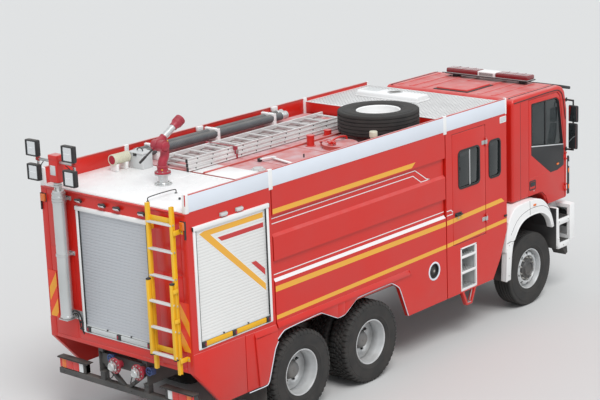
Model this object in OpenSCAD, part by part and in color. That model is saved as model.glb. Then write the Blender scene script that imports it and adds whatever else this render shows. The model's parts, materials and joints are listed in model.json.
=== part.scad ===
/* [Body] */
// Width over the side panels
body_w = 2500; // [2420:10:3000]
// Length of the rear pump module
rear_len = 1430; // [1400:10:1720]
// Length of the tank section
tank_len = 3490; // [3300:10:4200]
// Length of the crew module
crew_len = 1440; // [1400:10:1730]
// Gap between two body modules
module_gap = 20; // [10:1:40]
// Height of the body's underside
body_z = 1100; // [1090:5:1200]
// Height of the roof decks over the ground
deck_z = 3050; // [3040:10:3400]
// Height of the parapet's top edge over the deck
parapet_h = 207; // [170:1:250]
// Height of the walk-on crew deck over the main deck
crew_deck_h = 160; // [130:1:190]
// Thickness of the body walls and doors
wall = 40; // [34:1:48]
// Thickness of the side panels with their swages
panel_t = 60; // [50:1:72]
// Depth of a swage
swage_d = 34; // [20:1:40]
// Height of the skirts' lower edge
skirt_z = 610; // [560:5:690]

/* [Shutters] */
// Width of the side shutters over their frames
side_shutter_w = 1285; // [1070:5:1300]
// Height of the side shutters over their frames
side_shutter_h = 1490; // [1240:5:1500]
// Width of the rear shutter over its frame
rear_shutter_w = 1260; // [1050:5:1380]
// Height of the rear shutter over its frame
rear_shutter_h = 1610; // [1340:5:1650]
// Width of a shutter's frame
shutter_frame = 45; // [35:1:60]

/* [Crew module] */
// Distance of the crew door from the module's rear edge
crew_door_x = 140; // [100:5:170]
// Width of the crew door opening
crew_door_w = 785; // [650:5:830]
// Height of the crew door opening
crew_door_h = 1580; // [1320:5:1600]
// Floor height of the crew cabin over the body's underside
crew_floor_h = 300; // [250:5:360]
// Thickness of window glass
glass_t = 6; // [5:1:8]

/* [Axles] */
// Distance from the tank section's rear edge to the rear axle
rear_axle_in = 448; // [430:2:500]
// Distance between the two drive axles
bogie_l = 1380; // [1340:5:1420]
// Distance from the cab's rear wall to the front axle
front_axle_in = 446; // [430:2:460]
// Radius of a tyre
tyre_r = 550; // [520:1:560]
// Width of a tyre
tyre_w = 304; // [270:1:330]
// Radius of the tyre's seat on the rim
bead_r = 287; // [275:1:300]
// Distance of the front wheels' centre planes from the middle
front_track_y = 1005; // [980:1:1050]
// Distance of the outer drive wheels' centre planes from the middle
drive_track_y = 1100; // [1080:1:1160]
// Distance between the centre planes of twin wheels
twin_pitch = 335; // [330:1:360]
// Distance of a kingpin from the middle
kingpin_y = 900; // [880:1:920]
// Radius of the drive axle's spindle
spindle_r = 60; // [50:1:66]

/* [Chassis] */
// Width over the frame rails
frame_w = 850; // [760:10:930]
// Height of a frame rail
rail_h = 280; // [240:5:330]
// Width of a rail's flanges
rail_flange = 80; // [66:1:96]
// Thickness of the rail's plate
rail_t = 10; // [8:1:12]
// Height of the packing between the rails and the body
subframe_h = 40; // [30:1:48]

/* [Cab] */
// How far the cab's sides stand in from the body's sides
cab_inset = 100; // [84:1:120]
// Gap between the crew module and the cab's rear wall
cab_gap = 300; // [260:5:360]
// Length of the cab
cab_len = 1620; // [1580:10:1700]
// Height of the cab's roof
cab_roof_z = 3170; // [3120:10:3400]
// Height of the cab's floor behind the wheel
cab_floor_z = 1640; // [1600:5:1680]
// Height of the cab's lower edge in front of the wheel
cab_step_z = 1420; // [1400:5:1460]
// Thickness of the cab's walls
cab_wall = 60; // [50:2:72]
// Bulge radius of the cab's front seen from above
nose_r = 4000; // [3400:100:4800]
// Distance of the windscreen's edges from the cab's sides
screen_in = 160; // [130:5:190]

/* [Equipment] */
// Width of the rear ladder over its rails
ladder_w = 430; // [360:5:500]
// Length of the rear ladder
ladder_l = 2020; // [1700:10:2060]
// Radius of the light mast's tube
mast_r = 80; // [66:1:96]
// Length of the light mast's tube
mast_l = 1590; // [1330:10:1620]
// Radius of the monitor's pipe
monitor_r = 62; // [52:1:74]
// Height of the monitor's elevating joint over the deck
monitor_h = 480; // [440:5:560]
// Length of the roof ladder
roof_ladder_l = 3150; // [2630:10:3200]
// Width of the roof ladder
roof_ladder_w = 540; // [440:5:560]
// Radius of a suction hose
hose_r = 55; // [46:1:62]
// Radius of the rear water inlets
inlet_r = 55; // [46:1:66]

/* [Hidden] */
$fn = 64;

// Clearances: a resting fit, a running pin, a moving panel
seat = 0.3;
running = 0.3;
panel_gap = 8;

// Places along the vehicle, counted from the body's rear face
mast_x = -110;
lamp_depth = 110;
tow_reach = 150;
tank_x = rear_len + module_gap;
crew_x = tank_x + tank_len + module_gap;
crew_end = crew_x + crew_len;
cab_rear_x = crew_end + cab_gap;
cab_front_x = cab_rear_x + cab_len;
rear_axle_x = tank_x + rear_axle_in;
mid_axle_x = rear_axle_x + bogie_l;
front_axle_x = cab_rear_x + front_axle_in;
mid_x = (cab_front_x + tow_reach + mast_x - lamp_depth) / 2;
axle_z = tyre_r;

// Half widths and levels
hw = body_w / 2;
rail_y = frame_w / 2;
rail_top = body_z - subframe_h;
rail_z = rail_top - rail_h;
deck_t = 10;
roof_z = deck_z - deck_t;
parapet_top = deck_z + parapet_h;
parapet_t = 22;
crew_deck_z = deck_z + crew_deck_h;
crew_floor_z = body_z + crew_floor_h;
door_sill = 8;

// Moves a part from the rear face to the middle of the vehicle
module at_origin() translate([-mid_x, 0, 0]) children();

// Places the cab's own parts, whose x is counted from its rear wall
module at_cab() translate([cab_rear_x - mid_x, 0, 0]) children();

// Mirrors a right-hand shape to the left when side is 1
module on_side(side) mirror([0, side > 0 ? 1 : 0, 0]) children();
module both_sides() for (side = [-1, 1]) on_side(side) children();

// A box from its low and high corners
module block(low, high) translate(low) cube(high - low);

// An outline in X and Z, extruded from y0 to y1
module slab_y(y0, y1, outline)
    translate([0, y1, 0]) rotate([90, 0, 0]) linear_extrude(y1 - y0) polygon(outline);

// An outline in Y and Z, extruded from x0 to x1
module slab_x(x0, x1, outline)
    translate([x0, 0, 0]) rotate([90, 0, 90]) linear_extrude(x1 - x0) polygon(outline);

// Round bars along X, Y and Z from a centre
module bar_x(c, r, l) translate(c) rotate([0, 90, 0]) cylinder(r = r, h = l);
module bar_y(c, r, l) translate(c) rotate([-90, 0, 0]) cylinder(r = r, h = l);
module bar_z(c, r, l) translate(c) cylinder(r = r, h = l);

// A slab with rounded corners in X and Z, from y0 to y1
module rounded_y(low_x, high_x, low_z, high_z, r, y0, y1)
    translate([0, y1, 0]) rotate([90, 0, 0]) linear_extrude(y1 - y0) union() {
        translate([low_x + r, low_z]) square([high_x - low_x - 2 * r, high_z - low_z]);
        translate([low_x, low_z + r]) square([high_x - low_x, high_z - low_z - 2 * r]);
        for (x = [low_x + r, high_x - r], z = [low_z + r, high_z - r]) translate([x, z]) circle(r);
    }

// Door hinge: a barrel on the moving leaf between two on the fixed leaf, which point forwards
hinge_r = 9;
hinge_h = 60;
hinge_leaf = 46;
hinge_leaf_t = 6;
module moving_hinge(x, y, face_y, z) {
    bar_z([x, y, z], hinge_r, hinge_h);
    block([x - hinge_leaf, face_y - hinge_leaf_t, z], [x, face_y, z + hinge_h]);
}
module fixed_hinge(x, y, face_y, z) for (ear_z = [z - hinge_h / 2 - 1, z + hinge_h + 1]) {
    bar_z([x, y, ear_z], hinge_r, hinge_h / 2);
    block([x, face_y - hinge_leaf_t, ear_z], [x + hinge_leaf, face_y, ear_z + hinge_h / 2]);
}

// Chassis

rail_start_x = 20;
rail_end_x = cab_front_x - 170;
bogie_x = (rear_axle_x + mid_axle_x) / 2;
crossmember_x = [60, tank_x - 450, bogie_x, crew_x - 860, crew_x + 340, crew_end + 100, rail_end_x - 110];
crossmember_w = 60;
crossmember_z = rail_z + 100;
pivot_in = 35;
pivot_x = cab_front_x - pivot_in;
pivot_z = cab_step_z - 25;
pivot_pin_r = 20;
pivot_y = 500;
cab_pad_x = cab_rear_x + 60;
cab_pad_w = 90;
engine_rear_x = cab_pad_x + 200;
engine_front_x = rail_end_x - 120;

module frame_rail()
    difference() {
        block([rail_start_x, -rail_y, rail_z], [rail_end_x, -rail_y + rail_flange, rail_top]);
        block([rail_start_x - 10, -rail_y + rail_t, rail_z + rail_t],
              [rail_end_x + 10, -rail_y + rail_flange + 1, rail_top - rail_t]);
    }

// Bracket and pin that the cab tilts about
module tilt_bracket() {
    slab_y(-rail_y, -rail_y + 60, [
        [rail_end_x - 190, rail_z + 40], [rail_end_x, rail_z + 40], [rail_end_x, rail_z + 230],
        [pivot_x + pivot_pin_r, pivot_z - 160], [pivot_x + pivot_pin_r, pivot_z], [pivot_x + 12, pivot_z + 15],
        [pivot_x - 30, pivot_z + 15], [pivot_x - 60, pivot_z - 120], [rail_end_x - 190, rail_top]]);
    bar_y([pivot_x, -pivot_y - 45, pivot_z], pivot_pin_r, 75 + pivot_y - rail_y);
}

module chassis_frame() color("#26272a") at_origin() {
    both_sides() {
        frame_rail();
        block([rail_start_x, -rail_y, rail_top], [crew_end, -rail_y + rail_flange, body_z]);
        tilt_bracket();
        block([cab_pad_x, -rail_y, rail_top], [cab_pad_x + cab_pad_w, -rail_y + cab_pad_w, cab_floor_z - 40]);
        bar_z([cab_pad_x + cab_pad_w / 2, -rail_y + cab_pad_w / 2, cab_floor_z - 40], 40, 40 - seat);
    }
    block([cab_pad_x, -rail_y, cab_floor_z - 130], [cab_pad_x + cab_pad_w, rail_y, cab_floor_z - 60]);
    for (x = crossmember_x)
        block([x, -rail_y + rail_t, crossmember_z], [x + crossmember_w, rail_y - rail_t, rail_top - 40]);
}

module engine_block() color("#3b3d40") at_origin()
    block([engine_rear_x, -rail_y + rail_flange + seat, rail_z + 50],
          [engine_front_x, rail_y - rail_flange - seat, cab_step_z - 40]);

// Axles

boss_r = 50;
knuckle_t = 48;
kingpin_r = 22;
beam_w = 100;
beam_z = axle_z - 60;
beam_top = axle_z + 50;
boss_z = axle_z - 70;
boss_h = 140;

module front_axle() color("#232427") at_origin()
    difference() {
        union() {
            block([front_axle_x - beam_w / 2, -kingpin_y, beam_z],
                  [front_axle_x + beam_w / 2, kingpin_y, beam_top]);
            both_sides() bar_z([front_axle_x, -kingpin_y, boss_z], boss_r, boss_h);
        }
        both_sides() {
            bar_z([front_axle_x, -kingpin_y, boss_z - 1], kingpin_r + running, boss_h + 2);
            difference() {
                block([front_axle_x - 90, -kingpin_y - 90, boss_z - 1],
                      [front_axle_x + 90, -kingpin_y, boss_z + boss_h + 1]);
                bar_z([front_axle_x, -kingpin_y, boss_z - 2], boss_r, boss_h + 4);
            }
        }
    }

front_spindle_r = 45;
front_spindle_end = front_track_y + 60;
ear_gap = 6;
knuckle_plate_t = 24;
ear_y = kingpin_y + boss_r + ear_gap;
hub_start = ear_y + knuckle_plate_t + ear_gap - front_track_y;

module knuckle() {
    for (z = [boss_z - ear_gap - knuckle_t, boss_z + boss_h + ear_gap]) {
        bar_z([front_axle_x, -kingpin_y, z], knuckle_t, knuckle_t);
        block([front_axle_x - knuckle_t, -ear_y - 1, z], [front_axle_x + knuckle_t, -kingpin_y, z + knuckle_t]);
    }
    bar_z([front_axle_x, -kingpin_y, boss_z - ear_gap - knuckle_t], kingpin_r,
          boss_h + 2 * ear_gap + 2 * knuckle_t);
    block([front_axle_x - knuckle_t, -ear_y - knuckle_plate_t, boss_z - ear_gap - knuckle_t],
          [front_axle_x + knuckle_t, -ear_y, boss_z + boss_h + ear_gap + knuckle_t]);
    bar_y([front_axle_x, -front_spindle_end, axle_z], front_spindle_r, front_spindle_end - ear_y);
}

module steering_knuckle_left() color("#232427") at_origin() on_side(1) knuckle();
module steering_knuckle_right() color("#232427") at_origin() on_side(-1) knuckle();

axle_tube_r = 75;
diff_r = 210;
spindle_end = drive_track_y - 10;
shaft_r = 45;

module drive_axles() color("#232427") at_origin() {
    for (x = [rear_axle_x, mid_axle_x]) union() {
        bar_y([x, -drive_track_y + 560, axle_z], axle_tube_r, 2 * drive_track_y - 1120);
        bar_y([x, -spindle_end, axle_z], spindle_r, 2 * spindle_end);
        translate([x, 0, axle_z]) sphere(diff_r);
    }
    union() {
        bar_x([rear_axle_x + diff_r - 20, 0, axle_z + 60], shaft_r, bogie_l - 2 * diff_r + 40);
        rise = rail_z + 60 - axle_z - 60;
        run = engine_rear_x - mid_axle_x - diff_r + 20;
        translate([mid_axle_x + diff_r - 20, 0, axle_z + 60]) rotate([0, 90 - atan2(rise, run), 0])
            cylinder(r = shaft_r, h = sqrt(rise * rise + run * run) - 25);
    }
}

spring_w = 70;
spring_t = 60;
spring_r = 2200;
front_spring_half = 700;
front_spring_y = rail_y - rail_flange + 5;
rear_spring_y = rail_y + 15;
rear_spring_half = bogie_l / 2 + 40;
rear_spring_z = rail_z + 10;

// A curved leaf pack: a ring's stretch between two upright planes
module leaf_pack(x, z, half, centre_z, y0, y1)
    translate([0, y1, 0]) rotate([90, 0, 0]) linear_extrude(y1 - y0)
        intersection() {
            difference() {
                translate([x, centre_z]) circle(spring_r + spring_t / 2, $fn = 128);
                translate([x, centre_z]) circle(spring_r - spring_t / 2, $fn = 128);
            }
            translate([x - half, z - 300]) square([2 * half, 600]);
        }

module leaf_springs() color("#1d1e20") at_origin() both_sides() {
    union() {
        z0 = beam_top + spring_t / 2 + seat;
        leaf_pack(front_axle_x, z0, front_spring_half, z0 + spring_r, -front_spring_y - spring_w, -front_spring_y);
        for (x = [front_axle_x - front_spring_half, front_axle_x + front_spring_half - 60])
            block([x, -front_spring_y - spring_w, beam_top + spring_t + 60],
                  [x + 60, -front_spring_y, rail_z - seat]);
    }
    union() {
        x0 = (rear_axle_x + mid_axle_x) / 2;
        leaf_pack(x0, rear_spring_z, rear_spring_half, rear_spring_z - spring_r, -rear_spring_y - spring_w,
                  -rear_spring_y);
        block([x0 - 70, -rear_spring_y - spring_w, rear_spring_z - 80], [x0 + 70, -rail_y - seat, rail_z + 120]);
        for (x = [rear_axle_x, mid_axle_x])
            block([x - 60, -rear_spring_y - spring_w, axle_z + axle_tube_r + seat],
                  [x + 60, -rear_spring_y, rear_spring_z - spring_t / 2 - 70]);
    }
}

// Wheels: profiles in radius and distance outwards from the wheel's centre plane

bead_half = 112;
flange_r = bead_r + 15;
hub_r = 150;
barrel_t = 14;

function half_tyre() = let (h = tyre_w / 2, r = tyre_r) [
    [bead_r + seat, bead_half], [flange_r + 1, bead_half], [flange_r + 4, bead_half + 18],
    [bead_r + 45, h - 10], [bead_r + 130, h], [r - 50, h - 4], [r - 15, h - 18], [r, h - 44]];
function tyre_profile() = let (p = half_tyre())
    concat(p, [for (i = [len(p) - 1:-1:0]) [p[i][0], -p[i][1]]]);

// Turns a profile about the axle, with y pointing outwards on the right-hand side
module turned(x, y)
    translate([x, -y, axle_z]) rotate([90, 0, 0]) rotate_extrude($fn = 96) children();

module tyre_ring() polygon(tyre_profile());

module rim_barrel(a0, a1)
    union() {
        translate([bead_r - barrel_t, a0]) square([barrel_t, a1 - a0]);
        for (a = [a0, a1 - barrel_t]) translate([bead_r - barrel_t, a]) square([flange_r - bead_r + barrel_t, barrel_t]);
    }

front_disc_a = 78;
front_hub_a = 55;
module front_tyre(side) color("#1b1b1c") at_origin() on_side(side) turned(front_axle_x, front_track_y) tyre_ring();
module front_rim(side) color("#b9bcbf") at_origin() on_side(side) turned(front_axle_x, front_track_y) union() {
    rim_barrel(-bead_half - barrel_t, bead_half + barrel_t);
    translate([hub_r - 10, front_disc_a]) square([bead_r - hub_r, 14]);
    translate([front_spindle_r + running, hub_start]) square([hub_r - 20 - front_spindle_r, front_hub_a + 20 - hub_start]);
    translate([hub_r - 60, front_hub_a]) square([60, 37]);
}
module front_tyre_left() front_tyre(1);
module front_tyre_right() front_tyre(-1);
module front_rim_left() front_rim(1);
module front_rim_right() front_rim(-1);

twin_mate = -twin_pitch / 2;
module twin_tyres(x, side) color("#1b1b1c") at_origin() on_side(side)
    for (y = [drive_track_y, drive_track_y - twin_pitch]) turned(x, y) tyre_ring();
module twin_rims(x, side) color("#6f7275") at_origin() on_side(side) turned(x, drive_track_y) union() {
    rim_barrel(-bead_half - barrel_t, bead_half + barrel_t);
    rim_barrel(-bead_half - barrel_t - twin_pitch, bead_half + barrel_t - twin_pitch);
    translate([bead_r - barrel_t, twin_mate - 60]) square([barrel_t, 120]);
    translate([hub_r - 10, twin_mate - 12]) square([bead_r - hub_r, 24]);
    translate([spindle_r + running, twin_mate - 30]) square([hub_r - spindle_r, 150]);
}
module mid_tyres_left() twin_tyres(mid_axle_x, 1);
module mid_tyres_right() twin_tyres(mid_axle_x, -1);
module mid_rims_left() twin_rims(mid_axle_x, 1);
module mid_rims_right() twin_rims(mid_axle_x, -1);
module rear_tyres_left() twin_tyres(rear_axle_x, 1);
module rear_tyres_right() twin_tyres(rear_axle_x, -1);
module rear_rims_left() twin_rims(rear_axle_x, 1);
module rear_rims_right() twin_rims(rear_axle_x, -1);

// Rear pump module

side_shutter_x = (rear_len - side_shutter_w) / 2 + 17;
side_shutter_z = deck_z - 185 - side_shutter_h;
rear_shutter_z = deck_z - 180 - rear_shutter_h;
shutter_lip = 12;

module rear_module() color("#c9271f") at_origin() difference() {
    block([0, -hw, body_z], [rear_len, hw, roof_z]);
    block([wall, -hw + wall, body_z + wall], [rear_len - wall, hw - wall, roof_z - wall]);
    block([side_shutter_x + shutter_lip, -hw - 1, side_shutter_z + shutter_lip],
          [side_shutter_x + side_shutter_w - shutter_lip, hw + 1, side_shutter_z + side_shutter_h - shutter_lip]);
    block([-1, -rear_shutter_w / 2 + shutter_lip, rear_shutter_z + shutter_lip],
          [wall + 1, rear_shutter_w / 2 - shutter_lip, rear_shutter_z + rear_shutter_h - shutter_lip]);
}

locker_x = rear_len - 230;
locker = [185, 260, 215];
module rear_deck() color("#eceae6") at_origin() {
    block([0, -hw + parapet_t + seat, roof_z], [rear_len, hw - parapet_t - seat, deck_z]);
    translate([locker_x, hw - 560, deck_z]) cube(locker);
}

// A shutter of the width and height in its own plane: x across, y up, z outwards
module shutter(w, h) {
    f = shutter_frame;
    difference() {
        union() {
            cube([w, h, 6]);
            translate([shutter_lip + seat, shutter_lip + seat, -wall + 2])
                cube([w - 2 * shutter_lip - 2 * seat, h - 2 * shutter_lip - 2 * seat, wall]);
        }
        translate([f, f, -8]) cube([w - 2 * f, h - 2 * f, 20]);
        translate([f, f, -wall]) cube([w - 2 * f, h - 2 * f, wall - 20]);
    }
    translate([f + 20, f + 15, -8]) cube([w - 2 * f - 40, 60, 12]);
}

module shutters() color("#d8dad9") at_origin() {
    for (side = [-1, 1]) on_side(side)
        translate([side_shutter_x, -hw, side_shutter_z]) rotate([90, 0, 0])
            shutter(side_shutter_w, side_shutter_h);
    translate([0, rear_shutter_w / 2, rear_shutter_z]) rotate([90, 0, -90])
        shutter(rear_shutter_w, rear_shutter_h);
}

module rear_skirts() color("#c9271f") at_origin() both_sides()
    slab_y(-hw, -hw + panel_t, [
        [0, body_z], [430, skirt_z], [1215, skirt_z], [rear_len - 60, body_z - 70],
        [rear_len, body_z - 20], [rear_len, body_z]]);

// Tank section

manhole_x = tank_x + 2050;
manhole_y = -620;
manhole_r = 210;
neck_t = 20;
neck_h = 45;
tank_wall = 12;
tank_z = body_z + 80;
panel_z = 690;
filler_z = 1167;
filler_r = 125;

// Sunk bands: where the lower bevel starts and ends, where the upper step starts and ends
bands = [[1850, 1885, 2112, 2118], [2415, 2450, 2682, 2688]];

// Section of a side panel in Y and Z
function panel_section() = let (o = -hw, s = -hw + swage_d) concat(
    [[o, panel_z]],
    [for (b = bands) each [[o, b[0]], [s, b[1]], [s, b[2]], [o, b[3]]]],
    [[o, roof_z], [-hw + panel_t, roof_z], [-hw + panel_t, panel_z]]);

// Outline of the cut over the two drive wheels in X and Z
function bogie_arch() = let (r = rear_axle_x, m = mid_axle_x) [
    [tank_x - 1, panel_z - 1], [tank_x - 1, 1120], [r - 320, 1203], [r + 385, 1231], [r + 700, 1075],
    [m - 540, 1082], [m - 280, 1233], [m + 440, 1241], [m + 600, 1137], [m + 790, panel_z - 1]];

module tank_panels() color("#c9271f") at_origin() both_sides() difference() {
    slab_x(tank_x, tank_x + tank_len, panel_section());
    slab_y(-hw - 1, -hw + panel_t + 1, bogie_arch());
    bar_y([tank_x + tank_len - 280, -hw - 1, filler_z], filler_r, 45);
}

module water_tank() color("#c23a34") at_origin() difference() {
    union() {
        block([tank_x + 20, -hw + panel_t + seat, tank_z], [tank_x + tank_len - 20, hw - panel_t - seat, deck_z]);
        bar_z([manhole_x, manhole_y, deck_z - 1], manhole_r + neck_t, neck_h + 1);
        both_sides() block([tank_x + 20, -rail_y, body_z], [tank_x + tank_len - 20, -rail_y + rail_flange, tank_z]);
        block([manhole_x - 70, lid_hinge_y - 10, deck_z - 1],
              [manhole_x + 70, lid_hinge_y + 10, deck_z + neck_h - seat]);
    }
    block([tank_x + 20 + tank_wall, -hw + panel_t + seat + tank_wall, tank_z + tank_wall],
          [tank_x + tank_len - 20 - tank_wall, hw - panel_t - seat - tank_wall, deck_z - tank_wall]);
    bar_z([manhole_x, manhole_y, deck_z - tank_wall - 1], manhole_r, tank_wall + neck_h + 2);
}

lid_hinge_y = manhole_y + manhole_r + neck_t + 35;
module tank_lid() color("#c23a34") at_origin() {
    bar_z([manhole_x, manhole_y, deck_z + neck_h + seat], manhole_r + neck_t + 8, 14);
    block([manhole_x - 90, manhole_y + manhole_r - 20, deck_z + neck_h + seat + 1],
          [manhole_x + 90, lid_hinge_y, deck_z + neck_h + 14]);
    bar_x([manhole_x - 90, lid_hinge_y, deck_z + neck_h + 8], 8, 180);
}

// Crew module

door_top = crew_floor_z + crew_door_h;
door_x0 = crew_x + crew_door_x;
door_x1 = door_x0 + crew_door_w;
rebate = 18;
step_x0 = door_x0 + 170;
step_w = 380;
crew_hinge_x = door_x1 - 3;
crew_hinge_y = -hw - 12;
crew_hinge_z = [1600, 2700];

// Right-hand window openings of the crew module: x0, x1, z0, z1
crew_window = [door_x1 + 90, door_x1 + 355, 2190, 2715];
door_window = [door_x0 + 150, door_x1 - 150, 2190, 2712];

module crew_cabin() color("#c9271f") at_origin() difference() {
    union() {
        both_sides() for (z = crew_hinge_z) fixed_hinge(crew_hinge_x, crew_hinge_y, -hw, z);
        block([crew_x, -hw, crew_floor_z - 60], [crew_end, hw, roof_z]);
        for (x = [crew_x, crew_end - 500]) block([x, -rail_y, body_z], [x + 120, rail_y, crew_floor_z - 60]);
        both_sides() slab_y(-hw, -hw + wall, [
            [crew_x, crew_floor_z - 60], [crew_x, panel_z], [crew_end - 350, panel_z], [crew_end - 165, 960],
            [crew_end, 1340]]);
    }
    block([crew_x + wall, -hw + wall, crew_floor_z], [crew_end - wall, hw - wall, roof_z - wall]);
    both_sides() {
        block([door_x0, -hw - 1, crew_floor_z + door_sill], [door_x1, -hw + wall - 12, door_top]);
        block([door_x0 + rebate, -hw - 1, crew_floor_z + rebate], [door_x1 - rebate, -hw + wall + 1, door_top - rebate]);
        rounded_y(crew_window[0], crew_window[1], crew_window[2], crew_window[3], 60, -hw - 1, -hw + wall + 1);
        block([step_x0, -hw - 1, panel_z + 20], [step_x0 + step_w, -hw + wall + 1, crew_floor_z - 61]);
    }
}

module crew_windows() color("#2e3236") at_origin() both_sides()
    rounded_y(crew_window[0] + seat, crew_window[1] - seat, crew_window[2] + seat, crew_window[3] - seat,
              60 - seat, -hw + 12, -hw + 12 + glass_t);

module crew_door_leaf() {
    for (z = crew_hinge_z) moving_hinge(crew_hinge_x, crew_hinge_y, -hw, z);
    g = panel_gap;
    t = wall - 12 - seat;
    difference() {
        block([door_x0 + g, -hw, crew_floor_z + door_sill + g], [door_x1 - g, -hw + t, door_top - g]);
        rounded_y(door_window[0], door_window[1], door_window[2], door_window[3], 60, -hw - 1, -hw + t + 1);
    }
    rounded_y(door_window[0] + seat, door_window[1] - seat, door_window[2] + seat, door_window[3] - seat,
              60 - seat, -hw + 10, -hw + 10 + glass_t);
    block([door_x0 + 50, -hw - 34, 1820], [door_x0 + 190, -hw - 22, 1850]);
    for (x = [door_x0 + 60, door_x0 + 165]) block([x, -hw - 23, 1825], [x + 14, -hw, 1845]);
}
module crew_door_left() color("#c9271f") at_origin() on_side(1) crew_door_leaf();
module crew_door_right() color("#c9271f") at_origin() on_side(-1) crew_door_leaf();

// Two-tread box under each crew door and the drop step below it
tread_z = [720, 965, 1190];
module crew_steps() color("#dcdcda") at_origin() both_sides() {
    x0 = step_x0 + seat;
    x1 = step_x0 + step_w - seat;
    y1 = -hw + 250;
    difference() {
        block([x0, -hw, panel_z + 20 + seat], [x1, y1, crew_floor_z - 61 - seat]);
        for (i = [0:2])
            block([x0 + 22, -hw - 1, tread_z[i] + 22],
                  [x1 - 22, y1 - 12, i < 2 ? tread_z[i + 1] : crew_floor_z - 84]);
    }
    difference() {
        slab_y(-hw, -hw + 60, [
            [x0 + 30, panel_z - seat], [x0 + 130, 473], [x0 + 260, 473], [x1 - 20, panel_z - seat]]);
        slab_y(-hw - 1, -hw + 61, [
            [x0 + 75, panel_z - 20], [x0 + 150, 505], [x0 + 240, 505], [x1 - 65, panel_z - 20]]);
    }
}

module crew_bench() color("#35373b") at_origin() {
    block([crew_x + wall + seat, -hw + 320, crew_floor_z + 80], [crew_x + 480, hw - 320, crew_floor_z + 430]);
    block([crew_x + wall + seat, -hw + 330, crew_floor_z + 430], [crew_x + 150, hw - 330, crew_floor_z + 1150]);
    for (y = [-hw + 340, -30, hw - 400])
        block([crew_x + 120, y, crew_floor_z], [crew_x + 420, y + 60, crew_floor_z + 80]);
}

module crew_deck() color("#eceae6") at_origin() {
    inner = hw - parapet_t - seat;
    difference() {
        block([crew_x, -inner, roof_z], [crew_end, inner, crew_deck_z]);
        block([crew_x + 20, -inner + 20, roof_z - 1], [crew_end - 20, inner - 20, crew_deck_z - deck_t]);
    }
    block([crew_x + 690, -250, crew_deck_z], [crew_x + 990, 850, crew_deck_z + 90]);
}

module parapets() color("#dfe6ee") at_origin() both_sides() {
    for (run = [[0, rear_len], [tank_x, tank_x + tank_len], [crew_x, crew_end]])
        block([run[0], -hw, roof_z], [run[1], -hw + parapet_t, parapet_top]);
}

// Rear end

bumper_z = 600;
lamp_y0 = hw - 550;
lamp_y1 = hw - 70;

module rear_bumper() color("#1e1f21") at_origin() {
    block([20, -hw + 60, bumper_z], [110, hw - 60, bumper_z + 75]);
    both_sides() {
        block([20, -rail_y, bumper_z + 70], [110, -rail_y + 80, rail_z - seat]);
        block([30, -lamp_y1, bumper_z + 74], [110, -lamp_y0, bumper_z + 220]);
        slab_x(40, 100, [[-360, crossmember_z - seat], [-290, crossmember_z - seat], [-20, bumper_z + 75], [-90, bumper_z + 75]]);
    }
}

// Rear water inlets: y of each one
inlet_y = [80, -320];
inlet_z = 945;
inlet_x = -110;
inlet_l = 60;
module pump_inlets() color("#b5232a") at_origin() for (y = inlet_y) union() {
    bar_x([inlet_x, y, inlet_z], inlet_r, inlet_l + 1);
    bar_x([inlet_x + inlet_l, y, inlet_z], inlet_r + 45, 24);
    bar_x([inlet_x + inlet_l + 20, y, inlet_z], inlet_r - 5, crossmember_x[0] - seat - inlet_x - inlet_l - 20);
}

// Ladder on the rear face: rails, rungs and brackets
ladder_y = 320 - hw;
ladder_x = -105;
ladder_z = 1110;
rail_d = 50;
rung_pitch = 322;
ladder_rail_t = 42;
ladder_foot_t = 28;
module ladder_rails(x, z0, z1, w)
    for (y = [ladder_y - w / 2, ladder_y + w / 2 - ladder_rail_t])
        block([x - rail_d / 2, y, z0], [x + rail_d / 2, y + ladder_rail_t, z1]);

module rear_ladder() color("#f2b81c") at_origin() {
    ladder_rails(ladder_x, ladder_z, ladder_z + ladder_l, ladder_w);
    for (i = [0:5])
        block([ladder_x - 16, ladder_y - ladder_w / 2 + ladder_rail_t - 1, ladder_z + 190 + i * rung_pitch],
              [ladder_x + 16, ladder_y + ladder_w / 2 - ladder_rail_t + 1, ladder_z + 215 + i * rung_pitch]);
    for (z = [ladder_z + 140, ladder_z + ladder_l - 340], y = [-ladder_w / 2, ladder_w / 2 - ladder_foot_t])
        block([ladder_x, ladder_y + y, z], [-seat, ladder_y + y + ladder_foot_t, z + 60]);
}

slide_x = ladder_x - rail_d - 5;
slide_z = 1300;
slide_l = 930;
slide_guide_z = [slide_z + slide_l - 480, slide_z + slide_l - 120];
module ladder_slide() color("#f2b81c") at_origin() {
    ladder_rails(slide_x, slide_z, slide_z + slide_l, ladder_w);
    for (z = [slide_z + 30, slide_z + 350, slide_z + 670])
        block([slide_x - 16, ladder_y - ladder_w / 2 + ladder_rail_t - 1, z],
              [slide_x + 16, ladder_y + ladder_w / 2 - ladder_rail_t + 1, z + 25]);
    for (y = [-ladder_w / 2 - 10.5, ladder_w / 2 + 0.5], z = slide_guide_z)
        block([slide_x - 20, ladder_y + y, z], [ladder_x + 15, ladder_y + y + 10, z + 60]);
    for (y = [-ladder_w / 2 - 10.5, ladder_w / 2 - 5], z = slide_guide_z)
        block([slide_x - 20, ladder_y + y, z], [slide_x + 15, ladder_y + y + 15.5, z + 60]);
}

// Light mast
mast_y = hw - 450;
mast_z = 1440;
mast_wall = 6;
stage_r = mast_r - mast_wall - 1;
module mast_tube() color("#b9bcbe") at_origin() union() {
    difference() {
        bar_z([mast_x, mast_y, mast_z], mast_r, mast_l);
        bar_z([mast_x, mast_y, mast_z + 12], stage_r + running, mast_l);
    }
    for (z = [mast_z - 20, mast_z + mast_l / 2, mast_z + mast_l - 100]) difference() {
        block([mast_x, mast_y - 60, z], [-seat, mast_y + 60, z + 30]);
        bar_z([mast_x, mast_y, z + (z < mast_z ? 31 : -1)], mast_r - 2, 40);
    }
}

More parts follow.
